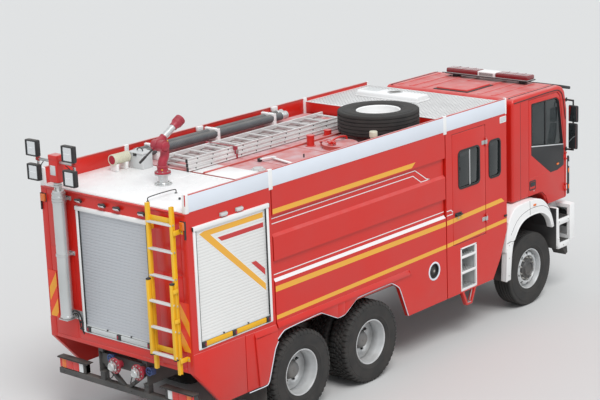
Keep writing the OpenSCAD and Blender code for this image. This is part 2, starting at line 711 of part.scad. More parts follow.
lamp_cross_z = mast_z + mast_l + 380;
lamp_spread = 325;
lamp_row = 150;
lamp_size = 200;
module mast_stage() color("#c6c8ca") at_origin() union() {
    bar_z([mast_x, mast_y, mast_z + 30], stage_r, mast_l);
    bar_z([mast_x, mast_y, mast_z + mast_l + 30], 40, 110);
    difference() {
        block([mast_x - 60, mast_y - 75, mast_z + mast_l + 130], [mast_x + 60, mast_y + 75, lamp_cross_z + 90]);
        bar_y([mast_x, mast_y - 80, lamp_cross_z], 18 + running, 160);
    }
}

module mast_lamps() color("#202124") at_origin() {
    bar_y([mast_x, mast_y - lamp_spread, lamp_cross_z], 18, 2 * lamp_spread);
    for (y = [-lamp_spread, lamp_spread]) {
        block([mast_x - 20, mast_y + y - 12, lamp_cross_z - lamp_row - 20],
              [mast_x + 10, mast_y + y + 12, lamp_cross_z + lamp_row + 20]);
        for (z = [-lamp_row, lamp_row])
            block([mast_x - lamp_depth, mast_y + y - lamp_size / 2, lamp_cross_z + z - lamp_size / 2],
                  [mast_x - 19, mast_y + y + lamp_size / 2, lamp_cross_z + z + lamp_size / 2]);
    }
}

// Monitor on the rear deck
monitor_x = 820;
monitor_y = -60;
monitor_flange_z = deck_z + 140;
elev_z = deck_z + monitor_h;
barrel_tilt = 29;
module monitor_base() color("#b7b5b0") at_origin() union() {
    bar_z([monitor_x, monitor_y, deck_z], 110, 14);
    bar_z([monitor_x, monitor_y, deck_z], monitor_r - 4, monitor_flange_z - deck_z);
    bar_z([monitor_x, monitor_y, monitor_flange_z - 20], 100, 20);
}
module monitor_body() color("#b32330") at_origin() union() {
    bar_z([monitor_x, monitor_y, monitor_flange_z + seat], 100, 26);
    bar_z([monitor_x, monitor_y, monitor_flange_z + 10], monitor_r, elev_z - monitor_r - monitor_flange_z - 20);
    bar_z([monitor_x, monitor_y, monitor_flange_z + 10], 34, elev_z - monitor_flange_z - 10);
    bar_y([monitor_x, monitor_y - 75, elev_z], monitor_r + 8, 110);
}
module monitor_barrel() color("#b32330") at_origin() union() {
    bar_y([monitor_x, monitor_y + 35 + seat, elev_z], monitor_r + 8, 95);
    translate([monitor_x, monitor_y + 82, elev_z]) rotate([0, 90 - barrel_tilt, 0]) {
        cylinder(r = monitor_r - 18, h = 380);
        translate([0, 0, 370]) cylinder(r = monitor_r + 4, h = 130);
    }
    translate([monitor_x, monitor_y + 82, elev_z]) rotate([0, -90 - barrel_tilt, 0]) cylinder(r = 14, h = 340);
}

// Stowage on the tank roof
roof_ladder_x = tank_x - 50;
roof_ladder_y = 90;
roof_rail_h = 52;
roof_ladder_z = deck_z + 10;
module roof_ladder() color("#c9cbcc") at_origin() union() {
    for (i = [0:2]) {
        z = roof_ladder_z + i * (roof_rail_h - 4);
        inset = i * 26;
        for (y = [roof_ladder_y + inset, roof_ladder_y + roof_ladder_w - inset - 28])
            block([roof_ladder_x, y, z], [roof_ladder_x + roof_ladder_l, y + 28, z + roof_rail_h]);
    }
    for (x = [roof_ladder_x + 120:280:roof_ladder_x + roof_ladder_l - 60])
        block([x, roof_ladder_y + 10, roof_ladder_z + 6],
              [x + 30, roof_ladder_y + roof_ladder_w - 10, roof_ladder_z + 32]);
    for (x = [roof_ladder_x + 160:280:roof_ladder_x + roof_ladder_l - 60])
        block([x, roof_ladder_y + 60, roof_ladder_z + 2 * roof_rail_h + 10],
              [x + 30, roof_ladder_y + roof_ladder_w - 60, roof_ladder_z + 2 * roof_rail_h + 36]);
    for (x = [roof_ladder_x + 150, roof_ladder_x + roof_ladder_l - 250], y = [0, roof_ladder_w - 28])
        block([x, roof_ladder_y + y, deck_z], [x + 60, roof_ladder_y + y + 28, roof_ladder_z + 1]);
}

spare_x = crew_x - 610;
spare_y = -594;
spare_base_h = 65;
spare_z = deck_z + spare_base_h;
module spare_wheel() color("#1b1b1c") at_origin() translate([spare_x, spare_y, spare_z]) union() {
    rotate_extrude($fn = 96) translate([0, tyre_w / 2]) polygon(tyre_profile());
    rotate_extrude($fn = 96) translate([0, tyre_w / 2]) union() {
        rim_barrel(-bead_half - barrel_t, bead_half + barrel_t);
        translate([100, 60]) square([bead_r - 105, 14]);
    }
    difference() {
        translate([-260, -260, -spare_base_h])
            cube([520, 520, spare_base_h + tyre_w / 2 - bead_half - barrel_t]);
        translate([0, 0, -spare_base_h - 1]) cylinder(r = 200, h = 200);
    }
}

hose_y = [hw - 160, hw - 160 - 2 * hose_r - 12];
hose_x = tank_x;
hose_l = tank_len - 640;
hose_clamp_x = [hose_x + 250, hose_x + hose_l / 2 - 75, hose_x + hose_l - 350];
strainer_x = rear_len - 510;
strainer_y = hw - 300;
strainer_r = 70;
hose_z = deck_z + 70;
module suction_hoses() color("#3a3b3d") at_origin() {
    union() {
        for (y = hose_y) bar_x([hose_x, y, hose_z + hose_r], hose_r, hose_l);
        for (x = hose_clamp_x)
            block([x, hose_y[1] - hose_r - 8, deck_z], [x + 60, hose_y[0] + hose_r + 8, hose_z + hose_r + 20]);
    }
    union() {
        bar_x([strainer_x, strainer_y, deck_z + 150], strainer_r, 270);
        for (x = [strainer_x + 30, strainer_x + 190])
            block([x, strainer_y - 60, deck_z], [x + 50, strainer_y + 60, deck_z + 100]);
    }
}

// Cab

cab_half = hw - cab_inset;
screen_half = cab_half - screen_in;
screen_z = [2130, cab_roof_z - 160];
cab_arch_x = [front_axle_in + 334, front_axle_in + 479];
cab_door_x = [420, cab_len - 240];
cab_door_top = cab_roof_z - 90;

// Side outline of the cab in X and Z, moved inwards by i
function cab_outline(i) = [
    [i, cab_floor_z + i], [cab_arch_x[0] + i * 0.7, cab_floor_z + i],
    [cab_arch_x[1] + i * 0.7, cab_step_z + i], [cab_len - i, cab_step_z + i],
    [cab_len - i, 2050], [cab_len - 230 - i, cab_roof_z - 110 - i * 0.5],
    [cab_len - 360 - i, cab_roof_z - i], [60, cab_roof_z - i], [i, cab_roof_z - 60 - i * 0.2]];

// The cab's outer body, moved inwards by i
module cab_block(i)
    intersection() {
        slab_y(-cab_half + i, cab_half - i, cab_outline(i));
        translate([cab_len - nose_r, 0, cab_step_z - 10]) cylinder(r = nose_r - i, h = 2000, $fn = 256);
    }

// Right-hand door outline in X and Z, moved inwards by i
function door_outline(i) = let (x0 = cab_door_x[0] + i, x1 = cab_door_x[1] - i, sill = 12 + i) [
    [x0, cab_floor_z + sill], [cab_arch_x[0] + 8, cab_floor_z + sill],
    [cab_arch_x[1] + 5, cab_step_z + sill], [x1, cab_step_z + sill], [x1, 2200],
    [x1 - 140, cab_door_top - 60 - i], [x1 - 220, cab_door_top - i], [x0, cab_door_top - i]];

// Window in the door
function door_glass(i) = let (x0 = cab_door_x[0] + 60 + i, x1 = cab_door_x[1] - i) [
    [x0, 2330 + i], [x1 - 70, 2230 + i], [x1 - 95, 2360],
    [x1 - 190, cab_door_top - 95 - i], [x0, cab_door_top - 70 - i]];

door_t = cab_wall - 20;
cab_hinge_x = cab_door_x[1] + panel_gap;
cab_hinge_y = -cab_half - 10;
cab_hinge_z = [1560, 2040];
module cab_shell() color("#c9271f") at_cab() {
    px = cab_len - pivot_in;
    difference() {
        union() {
            difference() {
                cab_block(0);
                cab_block(cab_wall);
                both_sides() {
                    slab_y(-cab_half - 1, -cab_half + door_t, door_outline(-panel_gap));
                    slab_y(-cab_half - 1, -cab_half + cab_wall + 1, door_outline(rebate));
                }
                block([cab_len - 620, -screen_half, screen_z[0]], [cab_len + 1, screen_half, screen_z[1]]);
            }
            both_sides() {
                block([px - 45, -pivot_y - 50, pivot_z - 45], [px + 30, -pivot_y, cab_step_z + 5]);
                for (z = cab_hinge_z) fixed_hinge(cab_hinge_x, cab_hinge_y, -cab_half, z);
            }
        }
        both_sides() bar_y([px, -pivot_y - 60, pivot_z], pivot_pin_r + running, 70);
    }
}

module windscreen() color("#2b3338") at_cab() intersection() {
    difference() {
        cab_block(15);
        cab_block(15 + glass_t);
    }
    block([cab_len - 620, -screen_half + seat, screen_z[0] + seat],
          [cab_len + 1, screen_half - seat, screen_z[1] - seat]);
}

// Door with its window
module cab_door_leaf() {
    difference() {
        slab_y(-cab_half, -cab_half + door_t - seat, door_outline(0));
        slab_y(-cab_half - 1, -cab_half + door_t, door_glass(0));
    }
    slab_y(-cab_half + 14, -cab_half + 14 + glass_t, door_glass(seat));
    for (z = cab_hinge_z) moving_hinge(cab_hinge_x, cab_hinge_y, -cab_half, z);
}
module cab_door_left() color("#c9271f") at_cab() on_side(1) cab_door_leaf();
module cab_door_right() color("#c9271f") at_cab() on_side(-1) cab_door_leaf();

dash_half = cab_half - cab_wall - 30;
dash_foot_z = cab_step_z + cab_wall + seat;
steering_wheel = [cab_len - 490, 560, 2180];
steering_wheel_r = 215;
module dashboard() color("#2b2c2f") at_cab() {
    intersection() {
        slab_y(-dash_half, dash_half, [
            [cab_len - 420, 1700], [cab_len - 460, 2060], [cab_len - 360, 2200], [cab_len - 230, 2190],
            [cab_len - 230, dash_foot_z], [cab_len - 360, dash_foot_z]]);
        translate([cab_len - nose_r, 0, cab_step_z]) cylinder(r = nose_r - cab_wall - 10, h = 1000, $fn = 256);
    }
    translate(steering_wheel) rotate([0, -60, 0]) {
        rotate_extrude($fn = 64) translate([steering_wheel_r, 0]) circle(16, $fn = 24);
        translate([-200, -25, -10]) cube([400, 50, 16]);
        translate([0, 0, -210]) cylinder(r = 24, h = 205);
    }
}

seat_y = [-560, 560];
seat_z = cab_floor_z + cab_wall;
module cab_seats() color("#33353a") at_cab() for (y = seat_y) union() {
    block([300, y - 250, seat_z + 190], [780, y + 250, seat_z + 330]);
    slab_y(y - 240, y + 240, [
        [290, seat_z + 320], [410, seat_z + 320], [300, seat_z + 1070], [200, seat_z + 1070]]);
    block([360, y - 190, seat_z], [700, y + 190, seat_z + 191]);
}

// Mirror arms, then each mirror's low edge, top edge and outer reach from the cab's side
mirror_arm_z = [2165, 2915];
mirrors = [[2200, 2590, 220], [2610, 2860, 230]];
// How far the mirrors' inner edges stand off the cab, so that an open door clears them
mirror_in = 66;
visor_bracket_y = [-700, 0, 700];
module cab_front_trim() color("#17181a") at_cab() {
    x = cab_len;
    z = cab_roof_z;
    intersection() {
        difference() {
            cab_block(-24);
            cab_block(-seat);
        }
        block([x - 320, -cab_half + 330, 1460], [x + 80, cab_half - 330, 2020]);
    }
    slab_y(-cab_half + 60, cab_half - 60, [
        [x - 260, z - 60], [x - 248, z - 25], [x + 10, z - 90], [x + 15, z - 118], [x - 8, z - 130]]);
    for (y = visor_bracket_y) slab_y(y - 20, y + 20, [
        [x - 300.5, z - 50], [x - 277, z - 70], [x - 220, z - 75], [x - 220, z - 45]]);
    both_sides() {
        for (arm_z = mirror_arm_z) block([x - 230, -cab_half - 150, arm_z], [x - 208, -cab_half - seat, arm_z + 26]);
        bar_z([x - 219, -cab_half - 130, 2150], 12, 800);
        for (m = mirrors) block([x - 260, -cab_half - m[2], m[0]], [x - 220, -cab_half - mirror_in, m[1]]);
    }
}

light_bar_x = cab_len - 520;
module light_bar() color("#7d1c24") at_cab() union() {
    block([light_bar_x - 110, -750, cab_roof_z + 45], [light_bar_x + 110, 750, cab_roof_z + 135]);
    for (y = [-600, 600])
        block([light_bar_x - 60, y - 40, cab_roof_z + seat], [light_bar_x + 60, y + 40, cab_roof_z + 46]);
}

// Fender over the front wheel, outer and inner edge in X from the axle and Z
fender_y = cab_half + 8;
function fender_outer() = let (a = front_axle_x) [
    [a - 640, 560], [a - 778, 560], [a - 750, 1000], [a - 700, 1350], [a - 620, 1540], [a - 560, 1600],
    [a - 440, 1625], [a + 60, 1625], [a + 240, 1560], [a + 380, 1400], [a + 470, 1230], [a + 500, 1100]];
function fender_inner() = let (a = front_axle_x) [
    [a + 430, 1100], [a + 350, 1260], [a + 200, 1370], [a, 1400], [a - 250, 1380], [a - 420, 1300],
    [a - 560, 1120], [a - 620, 900]];
function fender_liner() = let (a = front_axle_x) [
    [a - 640, 620], [a - 655, 900], [a - 600, 1150], [a - 450, 1345], [a - 270, 1430], [a, 1450],
    [a + 220, 1420], [a + 400, 1300], [a + 500, 1100]];

module front_fenders() color("#e9eaea") at_origin() both_sides() union() {
    slab_y(-hw, -fender_y, concat(fender_outer(), fender_inner()));
    slab_y(-fender_y - 1, -fender_y + 260, concat(fender_liner(), fender_inner()));
    block([front_axle_x - 60, -fender_y + 259, 1405], [front_axle_x + 60, -rail_y - seat, 1440]);
    block([front_axle_x - 60, -rail_y - 40, rail_z + 180], [front_axle_x + 60, -rail_y - seat, 1440]);
}

// Step unit ahead of the front wheel: two foot wells open to the outside
step_x = [front_axle_x + 595, front_axle_x + 930];
module cab_steps() color("#e9eaea") at_origin() both_sides() difference() {
    block([step_x[0], -hw + 15, 700], [step_x[1], -rail_y - seat, 1350]);
    block([step_x[0] - 1, -hw + 270, 690], [step_x[1] + 1, -rail_y - 90, 1360]);
    block([step_x[0] + 40, -hw, 760], [step_x[1] - 40, -hw + 240, 1080]);
    block([step_x[0] + 20, -hw, 1150], [step_x[1] + 1, -hw + 240, 1351]);
    block([step_x[0] - 1, -rail_y - 91, 690], [step_x[1] + 1, -rail_y + 1, rail_z + 40]);
}

// Bumper: a curved front beam, outer face moved inwards by i
bumper_top = 1335;
bumper_low = 790;
module bumper_block(i, z0, z1)
    intersection() {
        block([step_x[1] + seat, -hw + 5 + i, z0], [cab_front_x + 80 - i, hw - 5 - i, z1]);
        translate([cab_front_x + 80 - nose_r, 0, z0]) cylinder(r = nose_r - i, h = z1 - z0, $fn = 256);
    }
tow_r = 20;
module front_bumper() color("#e9eaea") at_origin() difference() {
    union() {
        difference() {
            bumper_block(0, bumper_low, bumper_top);
            bumper_block(55, bumper_low - 1, bumper_top + 1);
        }
        both_sides() block([rail_end_x + seat, -rail_y, rail_z + 20], [cab_front_x + 60, -rail_y + 60, rail_z + 220]);
        block([cab_front_x + 70, -50, 930], [cab_front_x + tow_reach, 50, 970]);
    }
    bar_z([cab_front_x + tow_reach - 35, 0, 929], tow_r, 42);
}

chassis_frame();
engine_block();
front_axle();
drive_axles();
leaf_springs();
steering_knuckle_left();
steering_knuckle_right();
front_tyre_left();
front_rim_left();
front_tyre_right();
front_rim_right();
mid_tyres_left();
mid_rims_left();
mid_tyres_right();
mid_rims_right();
rear_tyres_left();
rear_rims_left();
rear_tyres_right();
rear_rims_right();
rear_module();
rear_deck();
shutters();
rear_skirts();
tank_panels();
water_tank();
tank_lid();
crew_cabin();
crew_windows();
crew_door_left();
crew_door_right();
crew_steps();
crew_bench();
crew_deck();
parapets();
rear_bumper();
pump_inlets();
rear_ladder();
ladder_slide();
mast_tube();
mast_stage();
mast_lamps();
monitor_base();
monitor_body();
monitor_barrel();
roof_ladder();
spare_wheel();
suction_hoses();
cab_shell();
cab_door_left();
cab_door_right();
windscreen();
dashboard();
cab_seats();
cab_front_trim();
light_bar();
front_fenders();
cab_steps();
front_bumper();
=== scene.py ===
# %% [markdown]
# # A fire fighting water tender truck
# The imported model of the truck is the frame: it holds every part at its real place and size, in
# metres, with X forward, Y to the left and Z up. This script gives each visible surface its finish
# and models the detail that the plain frame leaves out. Each step says what the piece is on the
# real truck and why it is made this way. The camera comes first, so that every step can be judged
# in the same view.

# %% Load the frame
import json
import math
import bpy
from mathutils import Matrix, Vector


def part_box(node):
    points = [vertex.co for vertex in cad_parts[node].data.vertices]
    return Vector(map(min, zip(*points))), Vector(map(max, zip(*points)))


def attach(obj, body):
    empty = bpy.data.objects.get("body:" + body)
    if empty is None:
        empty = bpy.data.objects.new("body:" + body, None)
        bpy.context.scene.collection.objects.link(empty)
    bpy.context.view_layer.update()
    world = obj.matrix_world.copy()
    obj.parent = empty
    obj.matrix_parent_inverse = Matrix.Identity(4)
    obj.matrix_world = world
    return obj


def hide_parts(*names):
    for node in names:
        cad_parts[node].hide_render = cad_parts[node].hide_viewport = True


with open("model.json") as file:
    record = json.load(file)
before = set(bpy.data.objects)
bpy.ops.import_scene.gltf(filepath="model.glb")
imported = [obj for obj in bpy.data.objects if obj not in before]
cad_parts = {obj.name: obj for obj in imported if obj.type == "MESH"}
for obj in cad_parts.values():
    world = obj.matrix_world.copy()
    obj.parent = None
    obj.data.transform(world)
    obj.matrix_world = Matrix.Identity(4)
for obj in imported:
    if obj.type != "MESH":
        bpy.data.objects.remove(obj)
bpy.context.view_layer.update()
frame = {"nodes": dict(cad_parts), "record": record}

# %% [markdown]
# ## Places
# Lengths along the truck are counted from the rear face of its body, which is the easiest edge to
# measure from, so one function turns such a length into the frame's X. Each later step reads the
# size of the part that it dresses from the frame, and only adds what the frame doesn't know.

# %% Places that many steps share
rear_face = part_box("rear_module")[0][0]
half_width = -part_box("rear_module")[0][1]
hinge_out = 0.019
cab_half = -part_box("cab_shell")[0][1] - hinge_out


def at(x):
    """The frame's X of a length counted from the body's rear face."""
    return rear_face + x


print("rear face", round(rear_face, 3), "half width", round(half_width, 3), "cab half width",
    round(cab_half, 3))

# %% [markdown]
# ## Camera, light and floor
# The photo was taken from a window behind the truck's right rear corner, with a long lens. The
# camera's place, turn and lens were solved from known lengths on the truck: its width, its wheels
# and its axle spacing. The light is a plain pale sky with one broad soft sun, so colours look as
# they are written.

# %% Camera
camera_place = Vector((at(-13.1), -14.57, 8.04))
camera_azimuth, camera_elevation, camera_roll = (math.radians(v) for v in (41.49, -14.69, -2.21))
bpy.ops.object.camera_add(location=camera_place)
camera = bpy.context.object
forward = Vector((math.cos(camera_elevation) * math.cos(camera_azimuth), math.cos(camera_elevation)
    * math.sin(camera_azimuth), math.sin(camera_elevation)))
level_right = forward.cross(Vector((0, 0, 1))).normalized()
level_up = level_right.cross(forward)
right = level_right * math.cos(camera_roll) + level_up * math.sin(camera_roll)
up = level_up * math.cos(camera_roll) - level_right * math.sin(camera_roll)
camera.rotation_euler = Matrix((right, up, -forward)).transposed().to_euler()
camera.data.sensor_width = 36
camera.data.lens = 102.2
camera.data.clip_end = 200
bpy.context.scene.camera = camera
bpy.context.scene.view_settings.view_transform = "Standard"
print("camera", [round(v, 2) for v in camera_place])

# %% Light and floor
world = bpy.data.worlds.new("sky")
bpy.context.scene.world = world
world.use_nodes = True
sky_tree = world.node_tree
sky_light = sky_tree.nodes["Background"]
sky_light.inputs["Color"].default_value = (0.93, 0.96, 1.0, 1)
sky_light.inputs["Strength"].default_value = 0.74
sky_seen = sky_tree.nodes.new("ShaderNodeBackground")
sky_seen.inputs["Color"].default_value = (0.93, 0.94, 0.95, 1)
sky_path = sky_tree.nodes.new("ShaderNodeLightPath")
sky_mix = sky_tree.nodes.new("ShaderNodeMixShader")
sky_direct = sky_tree.nodes.new("ShaderNodeMath")
sky_shown = sky_tree.nodes.new("ShaderNodeMath")
sky_direct.operation = sky_shown.operation = "MAXIMUM"
for source, target in ((sky_path.outputs["Is Camera Ray"], sky_direct.inputs[0]),
        (sky_path.outputs["Is Glossy Ray"], sky_direct.inputs[1]),
        (sky_path.outputs["Is Transmission Ray"], sky_shown.inputs[1]),
        (sky_direct.outputs[0], sky_shown.inputs[0]), (sky_shown.outputs[0], sky_mix.inputs[0]),
        (sky_light.outputs[0], sky_mix.inputs[1]), (sky_seen.outputs[0], sky_mix.inputs[2]),
        (sky_mix.outputs[0], sky_tree.nodes["World Output"].inputs["Surface"])):
    sky_tree.links.new(source, target)

bpy.ops.object.light_add(type="SUN", location=(-10, -10, 20))
sun = bpy.context.object
sun.data.energy = 1.85
sun.data.angle = math.radians(28)
sun.rotation_euler = Vector((0.34, 0.56, -0.95)).to_track_quat("-Z", "Y").to_euler()

bpy.ops.mesh.primitive_plane_add(size=140, location=(0, 0, 0))
floor = bpy.context.object
floor.name = "floor"
floor_material = bpy.data.materials.new("floor")
floor_material.use_nodes = True
floor_shader = floor_material.node_tree.nodes["Principled BSDF"]
floor_shader.inputs["Base Color"].default_value = (0.62, 0.62, 0.61, 1)
floor_shader.inputs["Roughness"].default_value = 0.9
floor.data.materials.append(floor_material)
print("sun and floor set")

# %% [markdown]
# ## Finishes
# A painted truck that works outdoors is never one flat colour. The paint has broad patches where
# the sun has bleached it, road dust lies on its lower third, and what faces up takes a colour of its
# own: dust on most finishes, a paler colour on the faded roof red, and a painted highlight on the red
# and white paints. The gloss changes with both. One function builds this from noise, height and
# slope, and each finish only states its own colour, gloss, metal, amount of dust and colour on what
# faces up. Patterns read Object coordinates, so they stay on the truck.

# %% Helpers for shader nodes
dust_colour = (0.3, 0.27, 0.235, 1)


def shader_of(made):
    """The main shader of a material."""
    return made.node_tree.nodes["Principled BSDF"]


def material(name, colour, rough, metal=0.0):
    """A new material with its plain values set on the shader itself."""
    made = bpy.data.materials.new(name)
    made.use_nodes = True
    shader = shader_of(made)
    shader.inputs["Base Color"].default_value = (*colour, 1)
    shader.inputs["Roughness"].default_value = rough
    shader.inputs["Metallic"].default_value = metal
    made.diffuse_color = (*colour, 1)
    return made


def add(made, kind, **values):
    """A node of that kind, with its settings and its inputs given by name."""
    new = made.node_tree.nodes.new("ShaderNode" + kind)
    for key, value in values.items():
        if hasattr(new, key):
            setattr(new, key, value)
        else:
            new.inputs[key.replace("_", " ")].default_value = value
    return new


def link(made, source, target):
    """A wire from one socket to another."""
    made.node_tree.links.new(source, target)


def noise(made, scale, detail=3.0, stretch=(1, 1, 1)):
    """Noise on Object coordinates, pulled out along an axis where stretch is small."""
    place = add(made, "TexCoord")
    pull = add(made, "Mapping", Scale=stretch)
    grain = add(made, "TexNoise", Scale=scale, Detail=detail)
    link(made, place.outputs["Object"], pull.inputs["Vector"])
    link(made, pull.outputs[0], grain.inputs["Vector"])
    return grain.outputs["Fac"]


def spread(made, value, low, high, to_low=0.0, to_high=1.0):
    """A value remapped from one span to another and kept inside it."""
    fit = add(made, "MapRange", From_Min=low, From_Max=high, To_Min=to_low, To_Max=to_high)
    link(made, value, fit.inputs["Value"])
    return fit.outputs["Result"]


def combine(made, way, a, b):
    """Two values joined by a maths operation. Either may be a plain number."""
    maths = add(made, "Math", operation=way)
    for socket, value in zip(maths.inputs, (a, b)):
        if isinstance(value, (int, float)):
            socket.default_value = value
        else:
            link(made, value, socket)
    return maths.outputs[0]


def blend_colour(made, fac, a, b):
    """Two colours mixed by a value. Either may be a socket or a plain colour."""
    mix = add(made, "Mix", data_type="RGBA")
    link(made, fac, mix.inputs["Factor"])
    for socket, value in zip((mix.inputs[6], mix.inputs[7]), (a, b)):
        if isinstance(value, (tuple, list)):
            socket.default_value = value if len(value) == 4 else (*value, 1)
        else:
            link(made, value, socket)
    return mix.outputs[2]


def bump(made, height, strength, distance=0.001, under=None):
    """Fine relief from a height value, joined to the shader."""
    relief = add(made, "Bump", Strength=strength, Distance=distance)
    link(made, height, relief.inputs["Height"])
    if under is not None:
        link(made, under, relief.inputs["Normal"])
    link(made, relief.outputs[0], shader_of(made).inputs["Normal"])
    return relief.outputs[0]


# %% The weathered finish that most surfaces share
def weathered(name, colour, rough, metal=0.0, fade=0.82, patch=1.6, grain=140.0, relief=0.06,
        dust=0.25, dust_top=1.3, up_dust_and_sheen_amount=0.25, coat=0.0, stretch=(1, 1, 1), top=dust_colour):
    """A finish with faded patches, dust low down, the colour top on what faces up, and grain.
    The top colour is dust by default; on the red and white paints it is a painted highlight.
    """
    made = material(name, colour, rough, metal)
    shader = shader_of(made)
    shader.inputs["Coat Weight"].default_value = coat
    shader.inputs["Coat Roughness"].default_value = 0.12
    faded = tuple(min(1.0, c * fade + 0.012) for c in colour)
    tone = spread(made, noise(made, patch, 5.0), 0.32, 0.68)
    tinted = blend_colour(made, tone, (*faded, 1), (*colour, 1))
    split = add(made, "SeparateXYZ")
    place = add(made, "TexCoord")
    link(made, place.outputs["Object"], split.inputs[0])
    low_dust = spread(made, split.outputs["Z"], 0.25, dust_top, dust, 0.0)
    slope = add(made, "SeparateXYZ")
    facing = add(made, "NewGeometry")
    link(made, facing.outputs["Normal"], slope.inputs[0])
    # What faces up gets the colour top: dust by default, a painted highlight on the red and white
    # paints.
    up_dust_and_sheen = spread(made, slope.outputs["Z"], 0.6, 0.98, 0.0, up_dust_and_sheen_amount)
    clouds = spread(made, noise(made, 5.5, 6.0), 0.3, 0.7, 0.25, 1.0)
    low_dirt = combine(made, "MULTIPLY", low_dust, clouds)
    up_dirt_and_sheen = combine(made, "MULTIPLY", up_dust_and_sheen, clouds)
    dirt_and_sheen = combine(made, "MAXIMUM", low_dirt, up_dirt_and_sheen)
    dusty = blend_colour(made, low_dirt, tinted, dust_colour)
    link(made, blend_colour(made, up_dirt_and_sheen, dusty, top), shader.inputs["Base Color"])
    duller = spread(made, dirt_and_sheen, 0.0, 1.0, rough, min(1.0, rough + 0.5))
    link(made, duller, shader.inputs["Roughness"])
    bump(made, noise(made, grain, 2.0, stretch), relief)
    return made


print("finish helpers ready")

# %% [markdown]
# ### The finishes by name
# The reds, whites and yellows are read off the photo and written as plain linear colours.
# The body is glossy two-layer paint, the roof is the same red bleached by years of sun, and the
# black parts are moulded plastic, rubber or chassis paint, which differ in grain and gloss more
# than in colour.

# %% Paints, metals and plastics
# The red paint's pink top colour is a painted highlight: it stands in for the sky's reflection on
# faces that look up, such as the panels' bevels.
red = weathered("red_paint", (0.62, 0.0115, 0.0045), 0.34, coat=0.1, fade=0.93, dust=0.12, up_dust_and_sheen_amount=0.75,
    relief=0.02, top=(0.62, 0.34, 0.33, 1))
pale_red = weathered("faded_red", (0.6, 0.1, 0.08), 0.5, fade=0.85, dust=0.1, up_dust_and_sheen_amount=0.85, patch=2.6,
    top=(0.62, 0.5, 0.52, 1))
# The white paint's top colour, lighter than the paint, is a painted highlight on faces that look up.
white = weathered("white_paint", (0.86, 0.86, 0.85), 0.34, coat=0.2, fade=0.94, dust=0.35, up_dust_and_sheen_amount=0.5,
    top=(0.92, 0.92, 0.91, 1))
band = weathered("band_white", (0.74, 0.79, 0.86), 0.35, fade=0.93, dust=0.05, up_dust_and_sheen_amount=0.12)
grey_paint = weathered("grey_paint", (0.62, 0.64, 0.64), 0.42, fade=0.92, dust=0.2, up_dust_and_sheen_amount=0.2)
aluminium = weathered("ladder_metal", (0.62, 0.63, 0.63), 0.38, 0.85, grain=60, relief=0.12,
    up_dust_and_sheen_amount=0.3)
bright_metal = weathered("roof_ladder_metal", (0.78, 0.78, 0.77), 0.42, 0.35, grain=60, relief=0.12,
    up_dust_and_sheen_amount=0.1)
tread_white = weathered("tread_white", (0.86, 0.86, 0.85), 0.4, dust=0.1, up_dust_and_sheen_amount=0.15)
# tread_mark_painted_shade is a darker grey for the crew deck's raised marks: painted shade that
# stands in for the shading of their relief.
tread_mark_painted_shade = weathered("tread_mark_painted_shade", (0.46, 0.46, 0.46), 0.4, 0.1, dust=0.1, up_dust_and_sheen_amount=0.1)
tube_metal = weathered("mast_metal", (0.66, 0.68, 0.68), 0.32, 0.8, grain=90, relief=0.05, up_dust_and_sheen_amount=0.1)
steel = weathered("pipe_steel", (0.52, 0.51, 0.48), 0.4, 0.75, fade=0.7, patch=9, up_dust_and_sheen_amount=0.2)
yellow = weathered("ladder_yellow", (0.88, 0.51, 0.02), 0.38, fade=0.88, patch=4, up_dust_and_sheen_amount=0.1,
    dust=0.15)
black_plastic = weathered("trim_black", (0.02, 0.021, 0.023), 0.55, grain=420, relief=0.25,
    dust=0.3)
rubber = weathered("black_rubber", (0.016, 0.016, 0.017), 0.7, grain=260, relief=0.2, dust=0.25)
hose = weathered("hose_rubber", (0.085, 0.09, 0.095), 0.55, fade=1.3, patch=6, up_dust_and_sheen_amount=0.6)
chassis = weathered("chassis_black", (0.025, 0.026, 0.028), 0.5, fade=1.25, dust=0.45, dust_top=1.4)
iron = weathered("axle_black", (0.035, 0.035, 0.037), 0.6, fade=1.3, dust=0.8, dust_top=1.4,
    grain=60, relief=0.4)
engine_iron = weathered("engine_grey", (0.15, 0.16, 0.165), 0.6, dust=0.6, dust_top=1.8, grain=60,
    relief=0.3)
rim_paint = weathered("rim_silver", (0.68, 0.7, 0.71), 0.36, 0.35, dust=0.35, dust_top=1.2, patch=8)
drum_paint = weathered("rim_grey", (0.16, 0.165, 0.17), 0.5, 0.3, dust=0.6, dust_top=1.2, patch=8)
hub_paint = weathered("hub_dark", (0.055, 0.057, 0.06), 0.45, 0.2, dust=0.35, dust_top=1.0, patch=8)
slat_metal = weathered("shutter_metal", (0.82, 0.82, 0.8), 0.4, 0.15, fade=0.95, dust=0.15, up_dust_and_sheen_amount=0.1)
rear_slat = weathered("rear_shutter_metal", (0.52, 0.54, 0.57), 0.4, 0.2, fade=0.95, dust=0.1,
    up_dust_and_sheen_amount=0.1)
valve_red = weathered("monitor_red", (0.4, 0.022, 0.045), 0.42, fade=0.8, patch=9, dust=0.1,
    up_dust_and_sheen_amount=0.35)
valve_blue = weathered("valve_blue", (0.02, 0.07, 0.25), 0.45, dust=0.3)
cream = weathered("cap_cream", (0.66, 0.64, 0.5), 0.5, fade=0.9, dust=0.1)
film_yellow = weathered("film_yellow", (0.84, 0.42, 0.035), 0.3, fade=0.95, dust=0.12, relief=0.01,
    up_dust_and_sheen_amount=0)
film_white = weathered("film_white", (0.8, 0.8, 0.8), 0.3, fade=0.97, dust=0.12, relief=0.01, up_dust_and_sheen_amount=0)
film_red = weathered("film_red", (0.55, 0.03, 0.03), 0.3, fade=0.95, dust=0.12, relief=0.01, up_dust_and_sheen_amount=0)
print("paints", len(bpy.data.materials))

